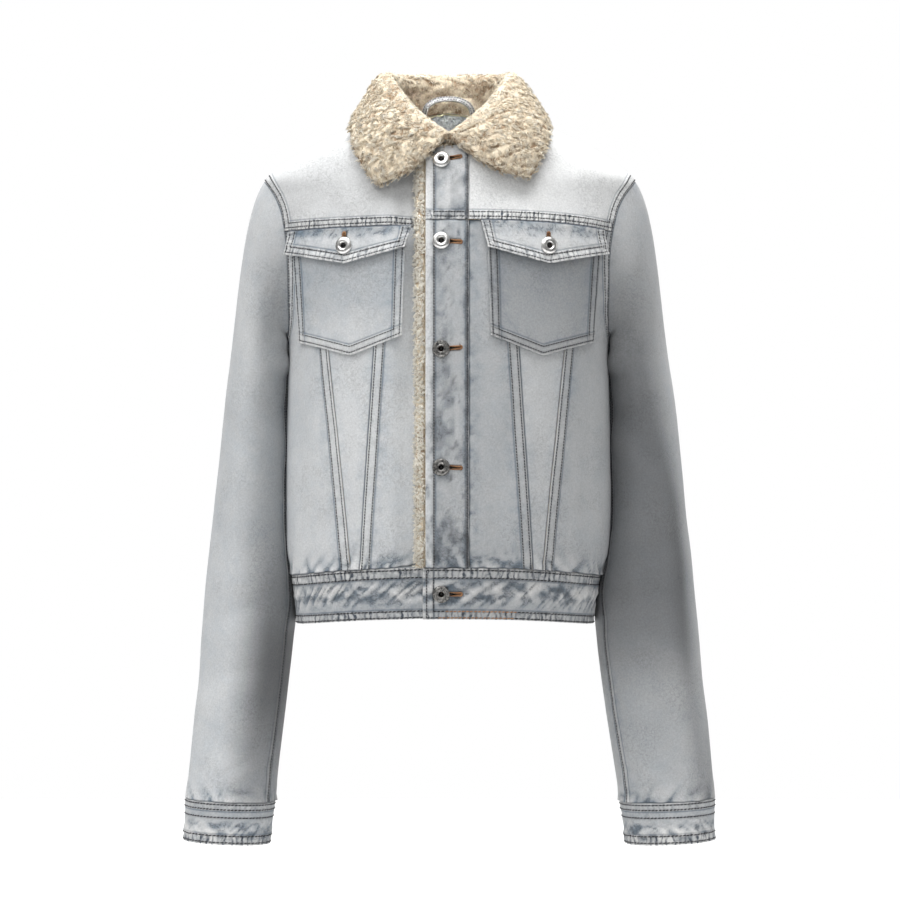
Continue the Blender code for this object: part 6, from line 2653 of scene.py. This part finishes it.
@dataclass(frozen=True)
class Collar:
    """The sherpa collar: sections from the neck seam over the roll to the outer edge."""

    looks: Looks
    sections: Table = Table(
        ("station", "neck_angle", "roll_x", "roll_y", "roll_z",
         "edge_angle", "edge_z", "edge_lift", "bulge", "droop"),
        (
            (0.00, 180.0, 0.0, 59.0, 36.0, 180.0, -31.0, 2.6, 2.0, 0.0),
            (0.20, 152.0, 34.0, 52.0, 36.0, 151.0, -28.0, 2.6, 2.0, 0.0),
            (0.40, 125.0, 56.5, 28.0, 34.0, 119.0, -19.0, 2.6, 1.0, 0.0),
            (0.55, 98.0, 63.5, 1.0, 31.5, 90.0, -11.5, 2.6, 0.5, 0.0),
            (0.68, 72.0, 57.0, -29.0, 19.5, 60.0, -18.0, 2.8, 2.0, 0.0),
            (0.80, 46.0, 43.0, -58.0, -2.0, 40.5, -35.5, 3.2, 4.5, 0.0),
            (0.92, 22.0, 20.0, -81.0, -23.5, 27.5, -58.0, 3.8, 6.0, -4.0),
            (1.00, 2.2, 2.2, -90.5, -35.5, 21.0, -76.0, 4.4, 6.0, -9.0),
        ),
    )
    pile: Table = Table(
        ("share", "thickness"),
        ((0.0, 7.0), (0.2, 9.5), (0.45, 10.5), (0.8, 10.5), (0.94, 9.0), (1.0, 5.5)),
    )
    skew: tuple[float, float] = (1.2, 3.2)
    lift: float = 1.5
    roll_radius: float = 2.4
    pile_depth: float = 2.6  # of the thickness, left to the tufts
    overhang: float = 2.4  # how far the pile hangs over the neck seam inside the back

    def neck_seam(self, side: Grid, turn: Grid) -> Grid:
        """The neck seam at this many degrees, seen from above, from 0 at the centre front.

        Args:
            side: The wearer's left or right.
            turn: Degrees round the neck.

        Returns:
            The points.
        """
        turn = np.radians(turn)
        x = side * BODY.neck_half_width * np.sin(turn)
        middle = (BODY.neck_front_y + BODY.neck_back_y) / 2
        y = middle - (BODY.neck_back_y - BODY.neck_front_y) / 2 * np.cos(turn)

        def inside(z: Grid) -> Grid:
            """Whether x and y are inside the form's ring at this height.

            Args:
                z: Heights.

            Returns:
                True where they are.
            """
            depth = np.where(y < 0, BODY.rings.at("front", z), BODY.rings.at("back", z))
            power = BODY.rings.at("squareness", z)
            return np.abs(x / BODY.rings.at("half_width", z)) ** power + np.abs(y / depth) ** power < 1

        low = np.full(np.shape(turn), BODY.shoulder_tip_z)
        high = np.full(np.shape(turn), BODY.rings.column("z")[-1])
        return np.stack([x, y, halved(inside, low, high)], axis=-1)

    def under_side(self, station: Grid, share: Grid) -> Grid:
        """Points of the under side: rows are stations from the wearer's right end (-1) over the
        centre back (0) to the left end (1), and columns run from the neck seam over the roll.

        Args:
            station: Places round the collar, from -1 to 1.
            share: How far from the neck seam over the roll to the edge, from 0 to 1.

        Returns:
            The points.
        """
        side = np.where(station < 0, -1.0, 1.0)
        row = {name: self.sections.at(name, np.abs(station)) for name in self.sections.names[1:]}
        up = np.array([0, 0, 1.0])
        neck = self.neck_seam(side, row["neck_angle"]) + up * self.lift
        roll = np.stack([side * row["roll_x"], row["roll_y"], row["roll_z"]], axis=-1)
        skew = side * eased(0.6, 1.0, np.abs(station))
        edge_angle = side * np.radians(row["edge_angle"] + self.skew[0] * skew)
        edge_z = row["edge_z"] + self.skew[1] * skew
        edge = BODY.at_level(edge_angle, edge_z, row["edge_lift"])
        over = BODY.outward(edge_angle, edge_z)
        away = unit((edge - roll) * np.array([1, 1, 0]))
        knots = np.stack([
            neck,
            (neck + roll) / 2 - away * 0.6,
            roll - away * self.roll_radius,
            roll + (up - away * 0.2) * self.roll_radius,
            roll + away * self.roll_radius,
            (roll + edge) / 2 + over * row["bulge"][:, None] + up * row["droop"][:, None],
            edge,
        ], axis=1)
        shares = np.array([0.0, 0.2, 0.41, 0.46, 0.51, 0.74, 1.0])
        return np.stack([
            np.stack([smooth(shares, one[:, k], share) for k in range(3)], axis=-1) for one in knots
        ])

    def build(self) -> None:
        """Makes the collar's cloth with the dense lower part of its pile, and its tufts."""
        station = np.linspace(-1, 1, 181)
        share = np.concatenate([np.linspace(0, 0.36, 15)[:-1], np.linspace(0.36, 0.56, 17)[:-1],
                                np.linspace(0.56, 1, 24)])
        under = self.under_side(station, share)
        normal = unit(np.cross(np.gradient(under, axis=1), np.gradient(under, axis=0)))
        if normal[len(station) // 2, 0, 1] > 0:  # the pile faces the neck on the stand
            normal = -normal
        thickness = np.interp(share, self.pile.column("share"), self.pile.column("thickness"))
        full = under + normal * thickness[None, :, None]
        across, along = run_length(full, 1), run_length(full, 0)
        lumps = ripples(across, along, (6.0, 6.0), 21) * 0.9
        lumps = lumps + ripples(across, along, (3.2, 3.2), 22) * 0.6
        top = under + normal * (thickness[None] - self.pile_depth + lumps)[..., None]
        inside = (1 - eased(0.0, 0.14, share))[None] * (1 - eased(0.55, 0.75, np.abs(station)))[:, None]
        top[..., 2] -= self.overhang * inside
        made = solid_wall("collar_cloth", top, under, normal,
                          (self.looks.pile, self.looks.inside), lumps)
        tufts = self.grow(top - normal * 0.4, under, normal, share)
        dress(made, ["collar"])
        declare_sheet(under, False)

    def grow(self, top: Grid, under: Grid, normal: Grid, share: Grid) -> list[Object]:
        """Grows the tufts, which lean over the fall towards its edge and stand up less inside.

        Args:
            top: Points of the upper side.
            under: Points of the under side.
            normal: The upper side's outward directions.
            share: How far from the neck seam to the edge each column is.

        Returns:
            The tufts' objects.
        """
        roots, outward = wrapped(top, under, normal, True, 5)
        spare = roots.shape[1] - top.shape[1]
        beneath = np.concatenate([under, np.repeat(under[:, -1:], spare, axis=1)], axis=1)
        for last in (True, False):
            turned = wrapped(*(grid.swapaxes(0, 1) for grid in (roots, beneath, outward)), last, 3)
            roots, outward = (grid.swapaxes(0, 1) for grid in turned)
            pad = ((0, 3), (0, 0), (0, 0)) if last else ((3, 0), (0, 0), (0, 0))
            beneath = np.pad(beneath, pad, mode="edge")
        down = np.gradient(roots, axis=1)
        share = np.pad(share, (0, spare), constant_values=1.0)
        fall = eased(0.40, 0.62, share)[None, :, None]
        lean = unit(down) * (fall * 0.45 - (1 - fall) * 0.25)
        density = np.ones(roots.shape[:2])
        density[:, -2:] = 0.35
        density[:3] = density[-3:] = 0.7
        density *= (1 - 0.35 * (1 - eased(0.1, 0.3, share)))[None]
        rolled = np.exp(-(((share - 0.46) / 0.09) ** 4))
        inside = (1 - eased(0.34, 0.44, share))
        combed = np.broadcast_to((0.8 * rolled + 0.75 * inside)[None, :], density.shape)
        brown = np.broadcast_to((0.25 * inside - 0.12 * rolled)[None, :], density.shape)
        pile = Pile(clumps=4500, fibres=6, length=6.2, clump_size=2.5, radius=0.36)
        return pile.grow("collar_pile", roots, outward, lean, density, self.looks.pile, 3, combed, brown)


def solid_wall(name: str, outer: Grid, inner: Grid, outward: Grid,
               materials: Sequence[Material], lumps: Grid | None = None) -> Object:
    """Makes a closed wall between two grids.

    Args:
        name: The object's name.
        outer: Grid of the outer points.
        inner: Grid of the inner points.
        outward: The outer points' outward directions.
        materials: The finish of the outer face and the rim, and that of the inner face.
        lumps: How far the outer points stand up from their mean, for a ground of pile.

    Returns:
        The object.
    """
    points, faces, outer_point = wall(outer, inner, False)
    tints = {}
    if lumps is not None:
        # the ground takes the roots' brown, darker in its hollows: painted shade between the tufts
        share = lumps.reshape(-1)[outer_point] * 0.3 + 0.12
        tints["tuft"] = np.stack([share, np.full_like(share, 0.5), np.zeros_like(share)], axis=-1)
    parts = MeshParts(points, faces, [0, 0, len(materials) - 1], tints=tints)
    facing_out(parts, faces[0], outward.reshape(-1, 3))
    return parts.build(name, materials)


@dataclass(frozen=True)
class SherpaStrip:
    """The sherpa facing that shows beside the placket's edge."""

    looks: Looks
    section: Table = Table(
        ("x", "level"),
        ((-32.0, -2.6), (-30.6, -0.6), (-27.4, 0.3), (-24.4, 0.0), (-22.9, -1.7), (-13.5, -1.7)),
    )
    back_level: float = -5.5

    def build(self) -> None:
        """Makes the strip and its tufts, which lean outward over its ragged edge."""
        columns = np.linspace(0, 1, 21)
        stations = np.linspace(0, 1, len(self.section.rows))
        x = smooth(stations, self.section.column("x"), columns)[None]
        level = smooth(stations, self.section.column("level"), columns)[None]
        upper, lower = Placket.rows(x, 110)
        z = np.concatenate([lower, upper[1:]])
        z = z + (z[-1:] - z) * 0.0008 - (z - z[:1]) * 0.0008
        angle = BODY.front_angle(np.broadcast_to(x, z.shape), z)
        base, outward = BODY.surface(angle, z)
        lumps = ripples(base[..., 0], base[..., 2], (5.0, 5.0), 23) * 0.5 * (columns < 0.8)
        top = base + outward * (level + lumps)[..., None]
        made = solid_wall("sherpa_strip_cloth", top, base + outward * self.back_level, outward,
                          (self.looks.pile, self.looks.inside), np.broadcast_to(lumps, top.shape[:2]))
        seen = slice(0, 13)
        under = base - outward * 4.0
        roots, out = wrapped(top[:, seen], under[:, seen], outward[:, seen], False, 1)
        lean = np.array([-0.75, -0.1, 0.0]) * eased(9, 0, np.arange(roots.shape[1]))[None, :, None]
        lean = np.broadcast_to(lean + np.array([0, 0, -0.12]), roots.shape)
        pile = Pile(clumps=1000, fibres=5, length=4.2, clump_size=1.5, radius=0.36, seed=9)
        # paler than the collar's pile: painted light, as the strip lies in shade between the placket and
        # the right front
        tufts = pile.grow("sherpa_strip_pile", roots, out, lean, None, self.looks.pile,
                          brown=np.full(roots.shape[:2], -1.2))
        dress(made, ["sherpa_strip"])
        declare_sheet(base, False)


# --- Hanger loop ------------------------------------------------------------------------------


@dataclass(frozen=True)
class HangerLoop:
    """A strap sewn to the back neck facing by its ends, with a groove between two stitched edges."""

    looks: Looks
    end_x: float = 25.0
    path: tuple[tuple[float, float, float], ...] = (
        (24.6, 40.0, 5.0), (22.0, 35.8, 12.0), (11.0, 34.5, 18.8), (0.0, 34.2, 20.0),
    )
    width: float = 6.5
    wall: float = 1.6
    seat: float = 1.3
    sewn_shares: tuple[float, float] = (0.52, 0.76)  # of the way up the facing
    groove: float = 0.45
    stitch_share: float = 0.27  # of its width, from its middle

    def build(self, facing: Cloth, sewing: Sewing) -> None:
        """Makes the strap, seated on the facing's own face, and sews it.

        Args:
            facing: The cloth that it is sewn on.
            sewing: Takes up the rows of stitches.
        """
        face = facing.outer
        rows = [face[int(share * (len(face) - 1))] for share in self.sewn_shares]
        rows = [row[np.argsort(row[:, 0])] for row in rows]
        below, above = (along_line(self.end_x, row[:, 0], row) for row in rows)
        flat = unit(np.cross(above - below, np.array([1.0, 0, 0])))
        flat = flat * -np.sign(flat[1])
        half = np.array([point + flat * (self.seat + self.wall / 2) for point in (below, above)]
                        + [np.array(knot) for knot in self.path])
        knots = np.concatenate([half, (half * np.array([-1, 1, 1]))[-2::-1]])
        stations = np.concatenate([[0], np.cumsum(np.linalg.norm(np.diff(knots, axis=0), axis=1))])
        at = np.linspace(0, stations[-1], 90)
        path = np.stack([smooth(stations, knots[:, k], at) for k in range(3)], axis=-1)
        tangent = unit(np.gradient(path, axis=0))
        near = eased(0.66, 0.86, np.abs(at / stations[-1] * 2 - 1))[:, None]
        up = unit(np.array([0, -0.75, 0.66])) * (1 - near) + flat * near
        up = unit(up - tangent * (tangent * up).sum(axis=-1, keepdims=True))
        wide = np.cross(tangent, up)
        across = np.linspace(-0.5, 0.5, 15)
        height = self.wall / 2 - self.groove * np.exp(-((across / 0.09) ** 2))
        height = height - 0.6 * eased(0.42, 0.5, np.abs(across))
        middle = path[:, None] + wide[:, None] * (across * self.width)[None, :, None]
        top = middle + up[:, None] * height[None, :, None]
        made = solid_wall("hanger_loop_cloth", top, middle - up[:, None] * self.wall / 2,
                          np.broadcast_to(up[:, None], top.shape), (self.looks.loop, self.looks.loop))
        dress(made, ["hanger_loop"])
        declare_sheet(middle, False)
        for share in (-self.stitch_share, self.stitch_share):
            line = path + wide * share * self.width + up * (self.wall / 2 - 0.05)
            sewing.add_row((line, up))


@dataclass(frozen=True)
class NeckPiping:
    """A cord along the neck seam, over the upper edge of the facing."""

    looks: Looks
    radius: float = 0.9
    inset: float = 0.4  # of its line from the facing's edge

    def build(self, facing: Cloth) -> None:
        """Makes the cord.

        Args:
            facing: The cloth whose edge it follows.
        """
        piping = Sewing("neck_piping")
        line, out = facing.row(Edge.TOP, self.inset)
        line, out = line + np.array([0, 0, self.radius]), unit(out)
        sideways = np.cross(out, unit(np.gradient(line, axis=0)))
        piping.add_threads(line[None], out[None], sideways[None], self.radius, np.zeros(1, bool))
        piping.make(self.looks.cream, self.looks.cream)


# --- Buttons and buttonholes ------------------------------------------------------------------


class ButtonStyle(Enum):
    """How a shank button's cap is stamped and plated."""

    BRIGHT = "bright"
    ANTIQUE = "antique"


CAP = {
    ButtonStyle.BRIGHT: (
        (2.5, -0.2), (2.7, 1.2), (3.0, 2.1), (3.5, 2.7), (4.3, 3.05), (5.3, 3.1), (6.4, 2.85),
        (7.4, 2.3), (8.1, 1.5), (8.5, 0.7), (8.3, 0.15), (7.5, 0.0), (5.5, 0.1),
    ),
    ButtonStyle.ANTIQUE: (
        (2.3, -0.2), (2.5, 1.5), (2.8, 2.2), (3.3, 2.75), (3.9, 2.8), (4.3, 2.3), (4.6, 2.1),
        (5.6, 2.2), (6.6, 2.05), (6.9, 2.35), (7.6, 2.2), (8.2, 1.4), (8.5, 0.6), (8.2, 0.1),
        (7.4, 0.0), (5.5, 0.1),
    ),
}

PIT = ((2.75, 2.0, 0.9, 0.55, 0.2), (0.25, 0.1, 0.25, 0.9, 1.0))  # radii and heights


@dataclass(frozen=True)
class Button:
    """A turned cap, with a hollow in its middle painted near-black as shade, on a shank that goes through
    the cloth.
    """

    name: str
    angle: float
    z: float
    level: float
    seat_level: float
    style: ButtonStyle
    looks: Looks
    steps: int = 56
    clearance: float = 0.3  # between its cap and the cloth
    shank_radius: float = 1.8
    knurls: int = 28
    hang: float = 0.03  # how far its cap tips up

    def build(self) -> None:
        """Makes it, in its place on the cloth."""
        profile = np.array(CAP[self.style])
        fine = np.linspace(0, len(profile) - 1, (len(profile) - 1) * 3 + 1)
        r, h = (smooth(np.arange(len(profile)), profile[:, k], fine) for k in (0, 1))
        turn = np.linspace(0, 2 * math.pi, self.steps, endpoint=False)
        ring_r, ring_h = self.all_round(r), self.all_round(h)
        if self.style is ButtonStyle.ANTIQUE:
            knurl = np.exp(-(((ring_r - 5.6) / 0.7) ** 2)) * (ring_h > 1)
            ring_h = ring_h + knurl * 0.28 * np.cos(turn * self.knurls)
        cap = self.lathe(ring_r, ring_h, turn)
        depth = self.level + self.clearance - self.seat_level - SEAM_GAP
        shank_r, shank_h = (self.shank_radius,) * 3, (0.1, -depth / 2, -depth)
        shank = self.lathe(self.all_round(shank_r), self.all_round(shank_h), turn)
        pit = self.lathe(*(self.all_round(values) for values in PIT), turn)
        metal = self.looks.bright if self.style is ButtonStyle.BRIGHT else self.looks.antique
        blocks, faces, finishes, offset = [], [], [], 0
        for points, closed, finish in ((cap, True, 0), (shank, False, 0), (pit, False, 1)):
            rows = len(points)
            blocks.append(points.reshape(-1, 3))
            faces.append(grid_faces(rows, self.steps, True, offset))
            finishes.append(finish)
            ends = np.arange(self.steps)
            if closed:
                last = (rows - 1) * self.steps
                faces.append(np.stack([last + ends, last + (ends + 1) % self.steps,
                                       (ends + 1) % self.steps, ends], axis=-1) + offset)
                finishes.append(finish)
            else:
                for row, order in ((0, 1), (rows - 1, -1)):
                    blocks.append(points[row].mean(axis=0, keepdims=True))
                    hub = offset + rows * self.steps + (0 if row == 0 else 1)
                    fan = np.stack([np.full(self.steps, hub), offset + row * self.steps + ends,
                                    offset + row * self.steps + (ends + 1) % self.steps], axis=-1)
                    faces.append(fan[:, ::order])
                    finishes.append(finish)
            offset = sum(len(block) for block in blocks)
        parts = MeshParts(np.concatenate(blocks), faces, finishes)
        made = parts.build(f"{self.name}_metal", (metal, self.looks.hollow))
        face_out(made)
        dress(made, [self.name])

    def all_round(self, values: Sequence[float]) -> Grid:
        """The values of a profile, the same all the way round."""
        return np.tile(np.array(values)[:, None], self.steps)

    def lathe(self, radius: Grid, height: Grid, turn: Grid) -> Grid:
        """Rings of these radii and heights over the cap's under side, in their place.

        Args:
            radius: The radius of each point.
            height: Its height over the cloth.
            turn: Angles round the button, in radians.

        Returns:
            The points.
        """
        centre = BODY.at_level(self.angle, self.z, self.level + self.clearance)
        normal = unit(BODY.outward(self.angle, self.z) + np.array([0, 0, self.hang]))
        side = unit(np.cross(np.array([0.0, 0.0, 1.0]), normal))
        up = np.cross(normal, side)
        return (centre + normal * height[..., None]
                + (side * np.cos(turn)[:, None] + up * np.sin(turn)[:, None]) * radius[..., None])


@dataclass(frozen=True)
class Buttonhole:
    """A slot through the cloth, bound with dense thread round a slit that its button holds open."""

    angle: float
    z: float
    level: float
    before: float = 2.4
    after: float = 19.2
    half_width: float = 1.5
    slant: float = 0.0  # degrees
    pitch: float = 0.52
    thread: float = 0.34

    def frame(self) -> tuple[Grid, Grid, Grid, Grid]:
        """Its middle, and the directions along, across and out of it.

        Returns:
            The four of them.
        """
        point, normal = BODY.at_level(self.angle, self.z, self.level), BODY.outward(self.angle, self.z)
        turn = math.radians(self.slant)
        along = np.array([math.cos(turn), 0, math.sin(turn)])
        along = unit(along - normal * (along @ normal))
        return point, along, np.cross(normal, along), normal

    def cut(self, cloth: Object) -> None:
        """Cuts its slot through the cloth.

        Args:
            cloth: The object of the cloth.
        """
        point, along, across, normal = self.frame()
        x = np.array([-self.before, self.after])
        y, z = np.array([-1, 1]) * self.half_width, np.array([-BAND_WALL - 0.5, 3.0])
        corners = np.array([point + along * a + across * b + normal * c
                            for a in x for b in y for c in z])
        faces = np.array([[0, 1, 3, 2], [4, 6, 7, 5], [0, 4, 5, 1],
                          [2, 3, 7, 6], [0, 2, 6, 4], [1, 5, 7, 3]])
        cutter = MeshParts(corners, [faces], [0]).build("cutter", [])
        face_out(cutter)
        slot = cloth.modifiers.new("slot", "BOOLEAN")
        slot.object, slot.operation, slot.solver, slot.use_self = cutter, "DIFFERENCE", "EXACT", True
        graph = bpy.context.evaluated_depsgraph_get()
        cut = bpy.data.meshes.new_from_object(cloth.evaluated_get(graph))
        cloth.modifiers.remove(slot)
        whole, cloth.data = cloth.data, cut
        cut.name = whole.name
        bpy.data.meshes.remove(whole)
        bpy.data.objects.remove(cutter, do_unlink=True)

    def bind(self, binding: Sewing) -> None:
        """Lays the thread: bars out from both sides of the slit, and a fan round its far end.

        Args:
            binding: Takes up the thread.
        """
        point, along, across, normal = self.frame()
        at = np.arange(-self.before + 0.2, self.after, self.pitch)
        random = np.random.default_rng(int(abs(self.z) * 10))
        opening = 1.45 - 1.3 * eased(self.after * 0.35, self.after - 1.5, at)
        bars = []
        for sign in (-1, 1):
            ragged = self.half_width + 0.55 + random.uniform(-0.15, 0.25, len(at))
            inner, outer = sign * opening, sign * ragged
            rows = [(inner, -0.7), ((inner + outer) / 2, 0.42), (outer, -0.1)]
            bars.append(np.stack([point + along * at[:, None] + across * off[:, None] + normal * rise
                                  for off, rise in rows], axis=1))
        turn = np.linspace(-75, 75, 13)
        turn = np.radians(turn)[:, None]
        direction = along * np.cos(turn) + across * np.sin(turn)
        centre = point + along * (self.after - 0.4)
        bars.append(np.stack([centre + direction * reach + normal * rise
                              for reach, rise in ((0.3, -0.5), (1.3, 0.42), (2.2, -0.1))], axis=1))
        path = np.concatenate(bars)
        direction = unit(path[:, -1:] - path[:, :1])
        up = np.broadcast_to(normal, path.shape)
        binding.add_threads(path, up, np.cross(up, direction), self.thread, np.ones(len(path), bool))


@dataclass(frozen=True)
class Fastenings:
    """The front's buttons and those of the flaps, with their buttonholes."""

    looks: Looks
    x: float = -7.0
    heights: tuple[float, ...] = (-53.5, -133.0, -237.7, -351.6)
    slants: tuple[float, ...] = (11.0, -4.0, 5.0, -2.0)
    band_z: float = -474.4
    flap_place: tuple[float, float] = (97.7, -137.3)

    def build(self, cloths: dict[str, Object], binding: Sewing) -> None:
        """Makes the buttons, and cuts and binds the buttonholes.

        Args:
            cloths: The objects of the cloth, by name.
            binding: Takes up the buttonholes' thread.
        """
        level, seam = FRONT.placket_level, BODY.yoke_z(Side.LEFT, self.x)
        for number, (z, slant) in enumerate(zip(self.heights, self.slants), 1):
            angle = float(BODY.front_angle(self.x, z))
            style = ButtonStyle.BRIGHT if number < 3 else ButtonStyle.ANTIQUE
            Button(f"button_{number}", angle, z, level, FRONT.underlap_level, style, self.looks).build()
            hole = Buttonhole(angle, z, level, slant=slant)
            hole.cut(cloths["placket_yoke" if z > seam else "placket_front"])
            hole.bind(binding)
        angle = float(BODY.front_angle(self.x, self.band_z))
        Button("button_5", angle, self.band_z, Waistband.lap_level, Waistband.under_level,
               ButtonStyle.ANTIQUE, self.looks).build()
        hole = Buttonhole(angle, self.band_z, Waistband.lap_level)
        hole.cut(cloths["waistband"])
        hole.bind(binding)
        for side in Side:
            distance, z = self.flap_place
            angle = float(BODY.front_angle(FRONT.x_of(side, distance), z))
            Button(f"flap_button_{side.word}", angle, z, FRONT.flap_level, FRONT.pocket_level,
                   ButtonStyle.BRIGHT, self.looks).build()
            hole = Buttonhole(angle, z, FRONT.flap_level, slant=90.0, after=12.0)
            hole.cut(cloths[f"flap_{side.word}"])
            hole.bind(binding)


# --- Studio -----------------------------------------------------------------------------------


@dataclass(frozen=True)
class Light:
    """A square soft light that faces the jacket, or another target, and spreads this wide."""

    name: str
    where: tuple[float, float, float]
    size: float
    power: float
    target: tuple[float, float, float] | None = None
    spread: float = 180.0  # degrees

    def add(self, middle: tuple[float, float, float]) -> None:
        """Adds the light, which faces this middle of the jacket where it has no target.

        Args:
            middle: The middle of the jacket.
        """
        light = bpy.data.lights.new(self.name, "AREA")
        light.size, light.energy, light.spread = self.size, self.power, math.radians(self.spread)
        lamp = bpy.data.objects.new(self.name, light)
        lamp.location = self.where
        aim = Vector(self.target or middle) - Vector(self.where)
        lamp.rotation_euler = aim.to_track_quat("-Z", "Y").to_euler()
        bpy.context.scene.collection.objects.link(lamp)


LIGHTS = (
    Light("top", (0.2, -0.7, 2.5), 1.4, 68),
    Light("top_left", (-1.6, -1.0, 2.3), 1.2, 52),
    Light("front", (0.0, -2.6, 1.5), 1.0, 15),
    Light("front_left", (-1.8, -2.4, 1.4), 1.2, 10.5),
    Light("front_right", (1.4, -1.6, 2.2), 1.2, 8),
    Light("side", (2.7, 0.1, 0.3), 1.2, 6),
    Light("neck", (0.0, -0.34, 0.17), 0.03, 0.013, target=(0.0, 0.036, -0.008), spread=14),
    Light("rim", (-1.2, 1.8, 1.2), 1.4, 10),
    Light("back", (1.4, 2.2, 1.6), 1.4, 14),
    Light("floor", (0.0, 1.3, 2.2), 1.4, 60, target=(0.0, 1.3, -0.86)),
)


@dataclass(frozen=True)
class Studio:
    """A pale floor before a white surround, soft lights and the camera."""

    target: tuple[float, float, float] = (0.0015, 0.0, -0.335)
    distance: float = 3.2
    lens: float = 128.0
    floor_z: float = -0.86
    floor_end: float = 1600.0
    ambient: float = 0.06

    def build(self) -> None:
        """Sets up the whole studio."""
        self.add_floor()
        for light in LIGHTS:
            light.add(self.target)
        self.add_surround()
        bpy.context.scene.view_settings.view_transform = "Standard"
        camera = bpy.data.cameras.new("camera")
        camera.lens, camera.sensor_width = self.lens, 36.0
        placed_camera = bpy.data.objects.new("camera", camera)
        x, y, z = self.target
        placed_camera.location = (x, y - self.distance, z)
        placed_camera.rotation_euler = (math.pi / 2, 0, 0)
        bpy.context.scene.collection.objects.link(placed_camera)
        bpy.context.scene.camera = placed_camera

    def add_surround(self) -> None:
        """Adds a world that lights little and that the camera sees as white."""
        world = bpy.data.worlds.new("studio")
        world.use_nodes = True
        nodes, links = world.node_tree.nodes, world.node_tree.links
        seen = nodes.new("ShaderNodeLightPath")
        strength = nodes.new("ShaderNodeMath")
        strength.operation = "MULTIPLY_ADD"
        strength.inputs[1].default_value = 1 - self.ambient
        strength.inputs[2].default_value = self.ambient
        links.new(seen.outputs["Is Camera Ray"], strength.inputs[0])
        links.new(strength.outputs[0], nodes["Background"].inputs["Strength"])
        nodes["Background"].inputs["Color"].default_value = (1, 1, 1, 1)
        bpy.context.scene.world = world

    def add_floor(self) -> None:
        """Adds a plain flat floor."""
        side = np.linspace(-self.floor_end, self.floor_end, 9)
        x, y = np.meshgrid(side, side)
        points = np.stack([x, y, np.full(x.shape, self.floor_z / MM)], axis=-1)
        finish = Plain("floor", (0.93, 0.93, 0.93, 1)).material()
        MeshParts(points.reshape(-1, 3), [grid_faces(9, 9)], [0]).build("floor", [finish])


# --- The jacket -------------------------------------------------------------------------------


def clear_scene() -> None:
    """Removes the startup scene's light and camera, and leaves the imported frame."""
    for old in list(bpy.data.objects):
        if old.type in ("LIGHT", "CAMERA"):
            bpy.data.objects.remove(old, do_unlink=True)


def main() -> None:
    """Builds the jacket piece by piece and the studio."""
    logging.basicConfig(level=logging.INFO, format="%(name)s: %(message)s")
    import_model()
    clear_scene()
    looks = Looks.mixed()
    sewing, binding = Sewing("topstitching"), Sewing("buttonhole_thread", seed=90)
    cloths = Placket(looks).build(sewing)
    for side in Side:
        cloths |= Front(side, looks).build(sewing)
        SleeveForm(side).build(looks, sewing)
    facing = Back(looks).build(sewing)
    cloths["waistband"] = Waistband(looks).build(sewing)
    Collar(looks).build()
    SherpaStrip(looks).build()
    HangerLoop(looks).build(facing, sewing)
    Fastenings(looks).build(cloths, binding)
    NeckPiping(looks).build(facing)
    for threads in (sewing, binding):
        threads.make(looks.slate, looks.rust)
    Studio().build()


if __name__ == "__main__":
    main()
